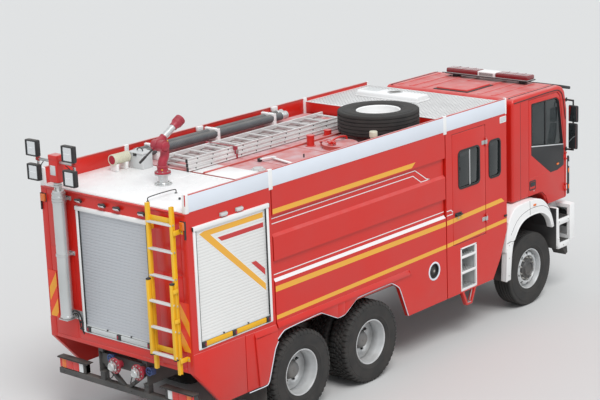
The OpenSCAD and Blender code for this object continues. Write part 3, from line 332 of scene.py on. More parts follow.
# %% Finishes with their own pattern
def glass(name, colour, clear):
    """Tinted glass that stays a little see-through."""
    made = material(name, colour, 0.04)
    shader = shader_of(made)
    shader.inputs["Alpha"].default_value = clear
    shader.inputs["Specular IOR Level"].default_value = 0.7
    streaks = spread(made, noise(made, 9, 4.0), 0.35, 0.75, 0.03, 0.12)
    link(made, streaks, shader.inputs["Roughness"])
    return made


def lens(name, colour, glow=0.0):
    """A clear coloured lamp lens with fine ribs moulded in it."""
    made = material(name, colour, 0.12)
    shader = shader_of(made)
    shader.inputs["Coat Weight"].default_value = 0.6
    place = add(made, "TexCoord")
    ribs = add(made, "TexWave", Scale=26.0)
    link(made, place.outputs["Object"], ribs.inputs["Vector"])
    bump(made, ribs.outputs["Fac"], 0.35, 0.002)
    shader.inputs["Emission Color"].default_value = (*colour, 1)
    shader.inputs["Emission Strength"].default_value = glow
    return made


def tyre_finish():
    """Black rubber in random patches, some a little greyer with dust."""
    made = material("tyre_rubber", (0.02, 0.02, 0.02), 0.75)
    shader = shader_of(made)
    clouds = spread(made, noise(made, 7, 6.0), 0.35, 0.7)
    tinted = blend_colour(made, clouds, (0.019, 0.0185, 0.018), (0.043, 0.04, 0.037))
    link(made, tinted, shader.inputs["Base Color"])
    link(made, spread(made, clouds, 0, 1, 0.68, 0.92), shader.inputs["Roughness"])
    bump(made, noise(made, 380, 2.0), 0.3)
    return made


def cloth_finish():
    """Dark woven seat cloth: two crossed waves make the weave."""
    made = material("seat_cloth", (0.05, 0.055, 0.07), 0.85)
    shader = shader_of(made)
    shader.inputs["Sheen Weight"].default_value = 0.35
    place = add(made, "TexCoord")
    waves = []
    for direction in ("X", "Z"):
        wave = add(made, "TexWave", Scale=70.0, bands_direction=direction)
        link(made, place.outputs["Object"], wave.inputs["Vector"])
        waves.append(wave.outputs["Fac"])
    weave = combine(made, "MULTIPLY", *waves)
    patches = spread(made, noise(made, 6), 0.3, 0.7)
    tinted = blend_colour(made, patches, (0.035, 0.04, 0.055), (0.06, 0.065, 0.085))
    link(made, tinted, shader.inputs["Base Color"])
    bump(made, weave, 0.4, 0.002)
    return made


dark_glass = glass("window_glass", (0.012, 0.017, 0.018), 0.93)
cab_glass = glass("cab_glass", (0.02, 0.03, 0.032), 0.62)
lens_red = lens("lens_red", (0.2, 0.006, 0.012))
lens_tail = lens("lens_tail", (0.62, 0.018, 0.012))
lens_orange = lens("lens_orange", (0.75, 0.16, 0.01))
lens_clear = lens("lens_clear", (0.72, 0.74, 0.74))
reflector = material("reflector", (0.82, 0.84, 0.86), 0.16, 1.0)
# reflector_painted_dark_reflection is a darker copy of the reflector, a painted reflection of dark
# surroundings on some facets of the floodlights.
reflector_painted_dark_reflection = material("reflector_painted_dark_reflection", (0.2, 0.215, 0.22), 0.3, 1.0)
mirror_face = material("mirror_face", (0.3, 0.31, 0.32), 0.05, 1.0)
for polished, scale, strength, distance in ((reflector, 45, 0.25, 0.004),
        (reflector_painted_dark_reflection, 45, 0.25, 0.004), (mirror_face, 3, 0.02, 0.002)):
    bump(polished, noise(polished, scale, 2.0), strength, distance)
tyre_rubber = tyre_finish()
seat_cloth = cloth_finish()
print("finishes", len(bpy.data.materials))

# %% Give every frame node its finish
slot_finish = {"chassis_black": chassis, "engine_grey": engine_iron, "axle_black": iron,
    "tyre_rubber": tyre_rubber, "rim_silver": rim_paint, "rim_grey": drum_paint, "red_paint": red,
    "faded_red": pale_red, "white_paint": white, "band_white": band, "shutter_metal": slat_metal,
    "ladder_yellow": yellow, "mast_metal": tube_metal, "lamp_black": black_plastic,
    "pipe_steel": steel, "monitor_red": valve_red, "ladder_metal": aluminium, "hose_rubber": hose,
    "window_glass": dark_glass, "trim_black": black_plastic, "seat_cloth": seat_cloth,
    "lens_red": lens_red}
for subpart in frame["record"]["subparts"]:
    slots = frame["nodes"][subpart["node"]].data.materials
    slots.clear()
    slots.append(slot_finish[subpart["material_slot"]])

# %% [markdown]
# ## Modelling helpers
# Almost everything on a truck body is a folded or cut plate, a bar, a tube or a turned part. So the
# helpers make those four from a primitive: a plate is a circle whose corners are moved to the
# outline and then extruded, a bar is a bevelled cube, a tube is a bevelled cylinder, and a turned
# part is an outline spun round its axis. Plates, bars and tubes end with a small bevel, because a
# real edge always catches light.

# %% Selecting and applying
def only(*pieces):
    """Selects just these pieces, with the first one active."""
    bpy.ops.object.select_all(action="DESELECT")
    for piece in pieces:
        piece.select_set(True)
    bpy.context.view_layer.objects.active = pieces[0]
    return pieces[0]


def place_in_mesh(piece):
    """Moves a piece's place, turn and size into its mesh."""
    piece.data.transform(piece.matrix_basis)
    piece.matrix_basis = Matrix.Identity(4)
    return piece


def in_edit_mode(piece, *steps):
    """Runs mesh steps in edit mode, with all of the piece selected before each."""
    only(piece)
    bpy.ops.object.mode_set(mode="EDIT")
    for step in steps:
        bpy.ops.mesh.select_all(action="SELECT")
        step()
    bpy.ops.object.mode_set(mode="OBJECT")
    return piece


def outwards_normals():
    """Turns all selected faces outwards."""
    bpy.ops.mesh.normals_make_consistent(inside=False)


def apply_modifiers(piece):
    """Applies all of a piece's modifiers in order."""
    only(piece)
    for modifier in list(piece.modifiers):
        bpy.ops.object.modifier_apply(modifier=modifier.name)
    return piece


def soften(piece, width, steps=2, angle=35):
    """Bevels the edges that are sharper than an angle."""
    if width > 0:
        bevel = piece.modifiers.new("bevel", "BEVEL")
        bevel.width = width
        bevel.segments = steps
        bevel.limit_method = "ANGLE"
        bevel.angle_limit = math.radians(angle)
        bevel.harden_normals = False
        apply_modifiers(piece)
    return piece


def painted(piece, finish):
    """A piece with one finish."""
    piece.data.materials.clear()
    piece.data.materials.append(finish)
    return piece


# %% Plates, bars, tubes and turned parts
axis_vector = {"X": Vector((1, 0, 0)), "Y": Vector((0, 1, 0)), "Z": Vector((0, 0, 1))}
weld_distance = 0.0001


def plate(outline, across, low, high, finish, soft=0.003, steps=2):
    """An outline extruded along the axis it faces, from low to high. It is in XZ, YZ or XY."""
    order = {"Y": lambda u, v: (u, low, v), "X": lambda u, v: (low, u, v),
        "Z": lambda u, v: (u, v, low)}
    bpy.ops.mesh.primitive_circle_add(vertices=len(outline), fill_type="NGON", location=(0, 0, 0))
    piece = only(bpy.context.object)
    for vertex, (u, v) in zip(piece.data.vertices, outline):
        vertex.co = order[across](u, v)
    move = axis_vector[across] * (high - low)
    in_edit_mode(piece,
        lambda: bpy.ops.mesh.extrude_region_move(TRANSFORM_OT_translate={"value": move}),
        outwards_normals)
    return painted(soften(piece, soft, steps), finish)


def bar(low, high, finish, soft=0.003, steps=2):
    """A bevelled bar between two corners."""
    centre = [(a + b) / 2 for a, b in zip(low, high)]
    bpy.ops.mesh.primitive_cube_add(size=1, location=centre)
    piece = bpy.context.object
    piece.scale = [b - a for a, b in zip(low, high)]
    place_in_mesh(piece)
    return painted(soften(piece, soft, steps), finish)


def slab(x0, x1, y0, y1, z0, z1, finish, soft=0.003, steps=2):
    """A bar whose two lengths are counted from the body's rear face."""
    return bar((at(x0), y0, z0), (at(x1), y1, z1), finish, soft, steps)


def cab_slab(x0, x1, y0, y1, z0, z1, finish, soft=0.003, steps=2):
    """A bar whose two lengths are counted from the cab's rear wall."""
    return bar((cab_x0 + x0, y0, z0), (cab_x0 + x1, y1, z1), finish, soft, steps)


def tube(start, end, radius, finish, sides=24, soft=0.002):
    """A round bar between two points, with softened ends."""
    run = Vector(end) - Vector(start)
    turn = run.to_track_quat("Z", "Y").to_euler()
    centre = (Vector(start) + Vector(end)) / 2
    bpy.ops.mesh.primitive_cylinder_add(vertices=sides, radius=radius, depth=run.length,
        location=centre, rotation=turn)
    piece = place_in_mesh(bpy.context.object)
    return painted(soften(piece, soft, 1, 60), finish)


def turned(profile, centre, axis, finish, steps=64):
    """A closed outline of (radius, distance along the axis) spun round that axis through centre."""
    put = {"X": lambda r, a: (a, 0, r), "Y": lambda r, a: (r, a, 0),
        "Z": lambda r, a: (r, 0, a)}[axis]
    bpy.ops.mesh.primitive_circle_add(vertices=len(profile), fill_type="NOTHING",
        location=(0, 0, 0))
    piece = only(bpy.context.object)
    for vertex, (r, a) in zip(piece.data.vertices, profile):
        vertex.co = Vector(put(r, a)) + Vector(centre)
    in_edit_mode(piece, lambda: bpy.ops.mesh.spin(steps=steps, angle=math.tau, center=centre,
        axis=axis_vector[axis]), lambda: bpy.ops.mesh.remove_doubles(threshold=weld_distance),
        lambda: bpy.ops.mesh.dissolve_degenerate(threshold=weld_distance), outwards_normals)
    return painted(piece, finish)


def pipe(points, radius, finish, sides=6):
    """A tube bent smoothly through a list of points, with closed ends."""
    curve = bpy.data.curves.new("pipe", "CURVE")
    curve.dimensions = "3D"
    curve.bevel_depth = radius
    curve.bevel_resolution = sides // 2
    curve.resolution_u = 6
    curve.use_fill_caps = True
    spline = curve.splines.new("BEZIER")
    spline.bezier_points.add(len(points) - 1)
    for knot, point in zip(spline.bezier_points, points):
        knot.co = point
        knot.handle_left_type = knot.handle_right_type = "AUTO"
    piece = bpy.data.objects.new("pipe", curve)
    bpy.context.scene.collection.objects.link(piece)
    only(piece)
    bpy.ops.object.convert(target="MESH")
    return painted(bpy.context.object, finish)


# %% Copies, joints and cuts
def copy_of(piece, move=(0, 0, 0), turn=None):
    """A copy with its own mesh, moved or given a whole matrix."""
    copy = piece.copy()
    copy.data = piece.data.copy()
    bpy.context.scene.collection.objects.link(copy)
    copy.data.transform(turn if turn is not None else Matrix.Translation(move))
    return copy


def joined(pieces):
    """Several pieces made one mesh, which keeps each one's finish."""
    only(*pieces)
    if len(pieces) > 1:
        bpy.ops.object.join()
    return bpy.context.view_layer.objects.active


def row(piece, count, step):
    """A piece repeated along a step, made one mesh with an array."""
    array = piece.modifiers.new("row", "ARRAY")
    array.count = count
    array.use_relative_offset = False
    array.use_constant_offset = True
    array.constant_offset_displace = step
    return apply_modifiers(piece)


def ring(piece, count, axis, centre=(0, 0, 0)):
    """A piece repeated round an axis through a centre."""
    there = Matrix.Translation(Vector(centre))
    back = Matrix.Translation(-Vector(centre))
    turns = [there @ Matrix.Rotation(math.tau * i / count, 4, axis) @ back for i in range(1, count)]
    return joined([piece] + [copy_of(piece, turn=turn) for turn in turns])


def mirrored(piece):
    """A copy on the truck's other side, with its faces turned back outwards."""
    copy = copy_of(piece, turn=Matrix.Scale(-1, 4, (0, 1, 0)))
    copy.data.flip_normals()
    return copy


def boolean(piece, tool, how):
    """Cuts or intersects a piece with a tool and removes the tool."""
    step = piece.modifiers.new("boolean", "BOOLEAN")
    step.operation = how
    step.solver = "EXACT"
    step.object = tool
    apply_modifiers(piece)
    bpy.data.objects.remove(tool, do_unlink=True)
    return piece


def cut(piece, cutters):
    """Takes the cutters' shapes out of a piece. Cutters that overlap go in calls of their own."""
    return boolean(piece, joined(cutters), "DIFFERENCE")


def arc(cx, cy, radius, start, end, steps):
    """Points on an arc, with its angles in degrees."""
    angles = [math.radians(start + (end - start) * i / steps) for i in range(steps + 1)]
    return [(cx + radius * math.cos(a), cy + radius * math.sin(a)) for a in angles]


def rectangle(x0, x1, y0, y1):
    """The outline of a rectangle with sharp corners."""
    return [(x0, y0), (x1, y0), (x1, y1), (x0, y1)]


def rounded(x0, x1, y0, y1, radius, steps=5):
    """The outline of a rectangle with round corners."""
    corners = ((x1 - radius, y1 - radius), (x0 + radius, y1 - radius), (x0 + radius, y0 + radius),
        (x1 - radius, y0 + radius))
    return [point for i, (x, y) in enumerate(corners) for point in arc(x, y, radius, 90 * i,
        90 * i + 90, steps)]


def done(parts, name, body, replaces=(), angle=35):
    """Joins and names the parts, shades them, and ties them to a body and nodes."""
    piece = joined(parts) if isinstance(parts, list) else parts
    piece.name = piece.data.name = name
    only(piece)
    bpy.ops.object.shade_smooth_by_angle(angle=math.radians(angle))
    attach(piece, body)
    if replaces:
        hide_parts(*replaces)
    print(name, len(piece.data.polygons), "faces")
    return piece


def done_both(parts, name, body, replaces=(), angle=35):
    """The same for a right-hand piece and its mirrored copy. Names with {} get right or left."""
    piece = joined(parts) if isinstance(parts, list) else parts
    other = mirrored(piece)
    for made, side in ((piece, "right"), (other, "left")):
        done(made, name + "_" + side, body.format(side), [n.format(side) for n in replaces],
            angle)
    return piece, other


print("modelling helpers ready")

# %% [markdown]
# ## Tyres
# A drive tyre is a smooth carcass with separate rubber lugs round it, and the lugs that wrap over
# its shoulder are what one sees. So the carcass is one outline spun round the axle, and one lug of
# each kind is modelled and repeated in a ring, every other row half a step further. Steered wheels
# carry road tyres instead: their tread is plain ribs with grooves between them, which the spun
# outline can hold.

# %% Where the wheels are
wheel_low, wheel_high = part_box("front_tyre_right")
tyre_radius = (wheel_high[2] - wheel_low[2]) / 2
tyre_half = (wheel_high[1] - wheel_low[1]) / 2
lug_count = 46
lug_step = math.tau / lug_count


def wheel_centre(node):
    """The middle of a right-hand wheel. For twin tyres it is the middle of the outer one."""
    low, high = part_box(node)
    return Vector(((low[0] + high[0]) / 2, low[1] + tyre_half, (low[2] + high[2]) / 2))


def tyre_side(way):
    """The outline of one sidewall in radius and distance from the wheel's middle plane."""
    points = [(0.2873, 0.1), (0.2873, 0.112), (0.303, 0.1122), (0.3065, 0.129), (0.319, 0.1375),
        (0.34, 0.1435), (0.348, 0.1452), (0.351, 0.148), (0.359, 0.1488), (0.363, 0.1475),
        (0.39, 0.1503), (0.425, 0.152), (0.46, 0.1512), (0.485, 0.149), (0.487, 0.1458),
        (0.505, 0.144)]
    return [(r, way * a) for r, a in points]


print("wheels at", [round(v, 3) for v in wheel_centre("rear_tyres_right")])

# %% The drive tyre
drive_crown = [(0.52, 0.14), (0.533, 0.125), (0.536, 0.09), (0.5372, 0.0)]
outline = (tyre_side(1) + drive_crown + [(r, -a) for r, a in drive_crown[-2::-1]]
    + tyre_side(-1)[::-1])
carcass = turned(outline, (0, 0, 0), "Y", tyre_rubber, steps=96)

shoulder = [(0.074, 0.53), (0.074, 0.5495), (0.112, 0.549), (0.132, 0.542), (0.145, 0.52),
    (0.1505, 0.493), (0.144, 0.49), (0.13, 0.525)]
right_lug = plate([(-a, r) for a, r in shoulder], "X", -0.0225, 0.0225, tyre_rubber, steps=1)
left_lug = copy_of(right_lug, turn=Matrix.Rotation(lug_step / 2, 4, "Y")
    @ Matrix.Rotation(math.pi, 4, "Z"))
slanted = [(-0.026, -0.016), (0.014, -0.019), (0.026, 0.016), (-0.014, 0.019)]
middle_lug = plate(slanted, "Z", 0.53, tyre_radius, tyre_rubber, soft=0.0025, steps=1)
between = [copy_of(middle_lug, turn=Matrix.Rotation(lug_step / 2, 4, "Y")
    @ Matrix.Translation((0, y, 0))) for y in (0.047, -0.047)]
lugs = ring(joined([right_lug, left_lug, middle_lug] + between), lug_count, "Y")
drive_tyre = joined([carcass, lugs])
print("drive tyre", len(drive_tyre.data.polygons), "faces")

# %% The road tyre
ribs = [(0.532, 0.1425), (0.546, 0.129), (0.548, 0.104), (0.537, 0.1025), (0.537, 0.0925),
    (0.5492, 0.091), (0.5495, 0.056), (0.5375, 0.0545), (0.5375, 0.0435), (0.5498, 0.042),
    (tyre_radius, 0.006), (0.54, 0.0045)]
outline = (tyre_side(1) + ribs + [(r, -a) for r, a in ribs[::-1]] + tyre_side(-1)[::-1])
road_tyre = turned(outline, (0, 0, 0), "Y", tyre_rubber, steps=96)
notch = plate([(-0.137, 0.536), (-0.14, 0.5395), (-0.13, 0.5475), (-0.106, 0.5494),
    (-0.106, 0.544)], "X", -0.0085, 0.0085, tyre_rubber, soft=0.001, steps=1)
far_notch = copy_of(notch, turn=Matrix.Rotation(math.pi, 4, "Z"))
road_tyre = joined([road_tyre, ring(joined([notch, far_notch]), 110, "Y")])
print("road tyre", len(road_tyre.data.polygons), "faces")

# %% [markdown]
# ## Rims and hubs
# A truck rim is rolled from one strip: flanges that hold the tyre, and a dropped middle. The front
# disc bulges outwards with ten hand holes, and the drive wheels show the same rim from its hollow
# side, deep and bright, with a dark hub far inside. All of it is spun from outlines, and the holes
# are cut.

# %% Rim, nuts and drum helpers
flange = [(0.3012, 0.1262), (0.3015, 0.1136), (0.2868, 0.1116)]
bed = [(0.279, 0.108), (0.2765, 0.078), (0.264, 0.048), (0.258, 0.015)]


def rim_ring(finish, shift=0.0):
    """The rolled ring that the tyre sits on, moved along the axle by shift."""
    outer = flange + [(r, -a) for r, a in flange[::-1]]
    inner = ([(0.296, -0.129), (0.287, -0.1262)] + [(r, -a) for r, a in bed] + bed[::-1]
        + [(0.287, 0.1262), (0.296, 0.129)])
    return turned([(r, -(a + shift)) for r, a in outer + inner], (0, 0, 0), "Y", finish, steps=72)


def nut_ring(radius, face, count, finish):
    """Wheel nuts with washers and stud ends, standing on a face at that distance outwards."""
    bpy.ops.mesh.primitive_cylinder_add(vertices=6, radius=0.0165, depth=0.022,
        location=(0, -face - 0.011, radius), rotation=(math.pi / 2, 0, 0))
    nut = painted(soften(place_in_mesh(bpy.context.object), 0.002, 1), finish)
    washer = tube((0, -face, radius), (0, -face - 0.004, radius), 0.021, finish, 16, 0.001)
    stud = tube((0, -face - 0.02, radius), (0, -face - 0.034, radius), 0.0095, finish, 12, 0.0015)
    return ring(joined([nut, washer, stud]), count, "Y")


def hole_cutters(radius, size, count, low, high):
    """Cutters for round hand holes through a disc."""
    return [ring(tube((0, -low, radius), (0, -high, radius), size, iron, 20, 0), count, "Y")]


def outwards(points):
    """Turns (radius, distance outwards) into the outline of a right-hand wheel: outside is -Y."""
    return [(r, -a) for r, a in points]


print("rim helpers ready")

# %% The front rim with its hub
dish = outwards([(0.26, 0.012), (0.259, 0.04), (0.252, 0.066), (0.236, 0.085), (0.212, 0.096),
    (0.196, 0.095), (0.188, 0.085), (0.184, 0.068), (0.136, 0.0665), (0.136, 0.055), (0.19, 0.055),
    (0.202, 0.081), (0.229, 0.074), (0.244, 0.055), (0.25, 0.012)])
disc = cut(turned(dish, (0, 0, 0), "Y", rim_paint, steps=80),
    hole_cutters(0.231, 0.0235, 10, 0.03, 0.14))
drum = turned(outwards([(0.172, -0.07), (0.205, -0.07), (0.207, 0.035), (0.196, 0.05),
    (0.046, 0.05), (0.046, 0.03), (0.172, 0.03)]), (0, 0, 0), "Y", iron)
hub_face = turned(outwards([(0.183, 0.054), (0.183, 0.07), (0.148, 0.073), (0.142, 0.09),
    (0.118, 0.094), (0.112, 0.104), (0.106, 0.125), (0.098, 0.129), (0.088, 0.127), (0.08, 0.114),
    (0.0, 0.113), (0.0, 0.054)]), (0, 0, 0), "Y", hub_paint)
cap_bolts = ring(tube((0, -0.112, 0.062), (0, -0.12, 0.062), 0.008, iron, 6, 0.001), 6, "Y")
front_rim = joined([rim_ring(rim_paint), disc, drum, hub_face, cap_bolts,
    nut_ring(0.164, 0.07, 10, steel)])
print("front rim", len(front_rim.data.polygons), "faces")

# %% The twin rims with their hub
twin_shift = tyre_half * 2 - (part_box("rear_tyres_right")[1][1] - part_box("rear_tyres_right")[0][1])
dish = outwards([(0.262, -0.06), (0.26, -0.085), (0.242, -0.12), (0.215, -0.145), (0.18, -0.152),
    (0.136, -0.153), (0.136, -0.165), (0.185, -0.165), (0.225, -0.155), (0.25, -0.125),
    (0.27, -0.085)])
disc = cut(turned(dish, (0, 0, 0), "Y", rim_paint, steps=80),
    hole_cutters(0.217, 0.023, 10, -0.1, -0.19))
drum = turned(outwards([(0.0605, -0.3), (0.208, -0.3), (0.208, -0.19), (0.19, -0.17),
    (0.0605, -0.17)]), (0, 0, 0), "Y", iron)
hub_cap = turned(outwards([(0.062, -0.17), (0.148, -0.17), (0.148, -0.15), (0.132, -0.125),
    (0.128, -0.07), (0.12, -0.058), (0.112, -0.055), (0.106, -0.02), (0.092, -0.004), (0.06, 0.006),
    (0.022, 0.008), (0.02, 0.014), (0.0, 0.014), (0.0, -0.007), (0.062, -0.007)]), (0, 0, 0), "Y",
    drum_paint)
cap_bolts = ring(tube((0, 0.06, 0.1165), (0, 0.044, 0.1165), 0.0075, iron, 6, 0.001), 10, "Y")
twin_rim = joined([rim_ring(rim_paint), rim_ring(rim_paint, twin_shift), disc, drum, hub_cap,
    cap_bolts, nut_ring(0.1675, -0.153, 10, drum_paint)])
print("twin rims", len(twin_rim.data.polygons), "faces, twin shift", round(twin_shift, 3))

# %% Put the wheels in their places
twins = joined([copy_of(drive_tyre), copy_of(drive_tyre, (0, -twin_shift, 0))])
for axle, tyres, rim, tyre_node, rim_node in (("front", road_tyre, front_rim, "front_tyre_{}",
        "front_rim_{}"), ("mid", twins, twin_rim, "mid_tyres_{}", "mid_rims_{}"),
        ("rear", twins, twin_rim, "rear_tyres_{}", "rear_rims_{}")):
    centre = wheel_centre(tyre_node.format("right"))
    body = "wheel_" + axle + "_{}"
    done_both(copy_of(tyres, centre), axle + "_tyre_tread", body, [tyre_node])
    done_both(copy_of(rim, centre), axle + "_rim_hub", body, [rim_node])

# %% [markdown]
# ## Roller shutters
# Three roller shutters close the pump module: one on each side and one at the back. A shutter is a
# curtain of hinged metal slats, each slightly crowned, that runs in two side rails and ends in a
# heavier bottom rail with a grab bar across it. One slat is modelled and repeated upwards. The side
# shutter is made for the right side and mirrored, and the rear one uses the same steps turned to
# face backwards.

# %% A shutter in its own plane
slat_pitch = 0.0385


def shutter(x0, x1, z0, z1, face, way, spread_axis, metal):
    """The parts of a shutter over x0 to x1 and z0 to z1 on a face, looking way (-1 is out)."""
    def put(u0, u1, out0, out1, w0, w1, finish, soft=0.002):
        lows, highs = sorted((face + way * out0, face + way * out1)), (w0, w1)
        if spread_axis == "X":
            return bar((u0, lows[0], highs[0]), (u1, lows[1], highs[1]), finish, soft)
        return bar((lows[0], u0, highs[0]), (lows[1], u1, highs[1]), finish, soft)

    inner0, inner1 = x0 + 0.038, x1 - 0.038
    slat = put(inner0, inner1, -0.018, -0.006, z0 + 0.1, z0 + 0.1 + slat_pitch - 0.0008, metal,
        0.0022)
    slats = row(slat, int((z1 - z0 - 0.15) / slat_pitch) + 1, (0, 0, slat_pitch))
    backing = put(inner0, inner1, -0.026, -0.016, z0 + 0.03, z1 - 0.03, metal, 0)
    rails = [put(u0, u1, -0.028, 0.013, z0 + 0.01, z1 - 0.05, white, 0.004)
        for u0, u1 in ((x0, x0 + 0.04), (x1 - 0.04, x1))]
    seals = [put(u0, u1, -0.022, 0.009, z0 + 0.02, z1 - 0.055, rubber, 0.003)
        for u0, u1 in ((x0 + 0.0405, x0 + 0.0525), (x1 - 0.0525, x1 - 0.0405))]
    cover = put(x0 - 0.006, x1 + 0.006, -0.028, 0.024, z1 - 0.056, z1, white, 0.009)
    ends = [put(u0, u1, -0.02, 0.022, z1 - 0.052, z1 - 0.004, black_plastic, 0.002)
        for u0, u1 in ((x0 - 0.012, x0 - 0.006), (x1 + 0.006, x1 + 0.012))]
    lip = put(inner0, inner1, -0.02, 0.004, z0 + 0.088, z0 + 0.102, grey_paint, 0.003)
    sill = put(x0 + 0.002, x1 - 0.002, -0.028, 0.01, z0, z0 + 0.014, grey_paint, 0.003)
    return joined([slats, backing] + rails + seals + [cover] + ends + [lip, sill]), put


print("slat pitch", slat_pitch)

# %% The grab bar with its catches
def grab_bar(put, x0, x1, z0, finish, catches):
    """A ribbed bar across a shutter's foot, with black and red catches and knobs on the rail."""
    rib_pitch = 0.0165
    core = put(x0 + 0.05, x1 - 0.05, -0.02, 0.006, z0 + 0.02, z0 + 0.082, finish, 0.004)
    rib = put(x0 + 0.06, x0 + 0.071, 0.004, 0.0105, z0 + 0.024, z0 + 0.078, finish, 0.002)
    step = (0, rib_pitch, 0) if put is rear_put else (rib_pitch, 0, 0)
    ribs = row(rib, int((x1 - x0 - 0.12) / rib_pitch), step)
    made = [core, ribs]
    for x in catches:
        made += [put(x - 0.034, x + 0.034, -0.01, 0.022, z0 + 0.018, z0 + 0.086, black_plastic,
            0.006), put(x + 0.006, x + 0.026, 0.02, 0.026, z0 + 0.03, z0 + 0.074, valve_red, 0.003),
            put(x - 0.024, x - 0.008, 0.018, 0.027, z0 + 0.04, z0 + 0.064, black_plastic, 0.003)]
    for x in (x0 + (x1 - x0) * 0.33, x0 + (x1 - x0) * 0.66):
        made.append(put(x - 0.011, x + 0.011, 0.0, 0.014, z0 + 0.094, z0 + 0.112, black_plastic,
            0.005))
    return joined(made)


side_x0, side_x1 = at(0.0895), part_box("shutters")[1][0]
side_z0, side_z1 = 1.375, 2.865
side_shutter, side_put = shutter(side_x0, side_x1, side_z0, side_z1, -half_width, -1, "X",
    slat_metal)
rear_half, rear_z0, rear_z1 = 0.63, 1.26, 2.87
rear_shutter, rear_put = shutter(-rear_half, rear_half, rear_z0, rear_z1, rear_face, -1, "Y",
    rear_slat)
side_grab = grab_bar(side_put, side_x0, side_x1, side_z0, yellow,
    [side_x0 + 0.085, (side_x0 + side_x1) / 2 - 0.04, side_x1 - 0.085])
rear_grab = grab_bar(rear_put, -rear_half, rear_half, rear_z0, grey_paint, [-0.53, 0.0, 0.53])
done_both([side_shutter, side_grab], "side_shutter", "root")
rear_piece = done([rear_shutter, rear_grab], "rear_shutter", "root")
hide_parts("shutters")

# %% Lamps over the shutters
def shutter_lamp(x):
    """A small grey lamp box over the side shutter with its clear lens underneath."""
    box_part = bar((x - 0.055, -half_width - 0.034, 2.892), (x + 0.055, -half_width, 2.926),
        grey_paint, 0.008)
    clip = bar((x - 0.062, -half_width - 0.006, 2.886), (x + 0.062, -half_width, 2.932), steel,
        0.002)
    glass_part = bar((x - 0.045, -half_width - 0.03, 2.886), (x + 0.045, -half_width - 0.006,
        2.893), lens_clear)
    return [box_part, clip, glass_part]


done_both(shutter_lamp(at(0.6)) + shutter_lamp(at(0.868)), "shutter_lamps", "root")

# %% [markdown]
# ## Lower body panels
# Below the shutters the panels stand a little proud of the body, with a pressed fold over the wheel
# and a narrow bright lip round the wheel arch. A pressed fold is easiest as its own cross-section,
# extruded along the truck. The lip follows the arch as a thin bar bent round it.

# %% Rear skirt with its fold
def fold(x0, x1, points, finish=red, soft=0.002):
    """A cross-section of (distance outwards from the side, height) extruded along the truck."""
    return plate([(-half_width - out, z) for out, z in points], "X", at(x0), at(x1), finish, soft)


def side_plate(points, out0, out1, finish, soft=0.003, steps=2):
    """An outline of (length from the rear face, height) on the right side, from out0 to out1."""
    return plate([(at(x), z) for x, z in points], "Y", -half_width - out1, -half_width - out0,
        finish, soft, steps)


skirt_points = [(-0.004, 1.096), (0.344, 0.709), (0.43, 0.612), (0.866, 0.612), (0.866, 1.333),
    (-0.004, 1.345)]
front_points = [(0.876, 0.612), (1.205, 0.612), (1.232, 0.64), (1.367, 1.026), (1.423, 1.1),
    (1.43, 1.18), (1.43, 1.318), (0.876, 1.33)]
skirt = side_plate(skirt_points, -0.06, 0.009, red, 0.005)
front_skirt = side_plate(front_points, -0.06, 0.009, red, 0.005)
bulge_points = [(1.08, 0.616), (1.205, 0.616), (1.238, 0.66), (1.367, 1.026), (1.427, 1.105),
    (1.427, 1.255), (1.03, 1.262)]
bulge = side_plate(bulge_points, 0.006, 0.034, red, 0.012, 3)
slope = fold(1.03, 1.427, [(0.004, 1.318), (0.01, 1.318), (0.034, 1.262), (0.034, 1.24),
    (0.004, 1.24)], red, 0.002)
done_both([skirt, front_skirt, bulge, slope], "rear_skirt", "root")
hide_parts("rear_skirts")

# %% Bright lips round the wheel arches
def edge_lip(points, out, size, finish):
    """A thin rounded strip bent along points on the truck's right side."""
    return pipe([(at(x), -half_width - out, z) for x, z in points], size, finish, 4)


def sharp(points, near=0.012):
    """Doubles each inner point, so that a smooth pipe keeps its corners."""
    made = [points[0]]
    for before, here, after in zip(points, points[1:], points[2:]):
        for other in (before, after):
            run = math.dist(here, other)
            made.append(tuple(h + (o - h) * near / run for h, o in zip(here, other)))
    return made + [points[-1]]


skirt_lip = edge_lip(sharp([(0.88, 0.608), (1.207, 0.608), (1.24, 0.65), (1.372, 1.026),
    (1.43, 1.105)]), 0.03, 0.006, band)
arch_points = [(1.452, 1.122), (1.578, 1.203), (2.283, 1.231), (2.598, 1.075), (2.738, 1.082),
    (2.998, 1.233), (3.718, 1.241), (3.878, 1.137), (4.06, 0.7)]
arch_lip = edge_lip(sharp(arch_points), 0.002, 0.006, band)
done_both([skirt_lip, arch_lip], "arch_lips", "root")

# %% Pressed fold over the drive wheels and the seam strips
arch_fold = fold(1.452, 4.09, [(0.0, 1.335), (0.004, 1.335), (0.024, 1.282), (0.024, 1.262),
    (0.0, 1.262)], red)
fold_end = side_plate([(4.086, 1.262), (4.086, 1.33), (4.15, 1.262)], -0.001, 0.022, red, 0.004)
arch_drops = [side_plate(points, -0.001, 0.01, red)
    for points in ([(2.285, 1.234), (2.285, 1.268), (2.6, 1.268), (2.6, 1.076)],
    [(2.738, 1.268), (2.738, 1.086), (2.998, 1.236), (2.998, 1.268)],
    [(2.598, 1.078), (2.6, 1.268), (2.74, 1.268), (2.74, 1.085)])]
done_both([arch_fold, fold_end] + arch_drops, "arch_fold", "root")

# %% [markdown]
# ## Reflective films
# The stripes are cut film on the paint: one broad and two narrow yellow lines along the whole body,
# a white outline with a slanted end, and a pointed arrow shape on each side shutter. They stay
# plain stripes. A film is a plate of less than two millimetres that stands on the panel below it,
# and one that lies in a sunken band or on a slanted face is put at that depth.

# %% Films on the flat sides
film_t = 0.0016
sunk = -0.034
panel = 0.0


def film(points, finish, depth=panel):
    """A film on the right side. Depth is how far its panel stands out, negative if it is sunk."""
    return side_plate(points, depth - 0.0005, depth + film_t, finish, 0)


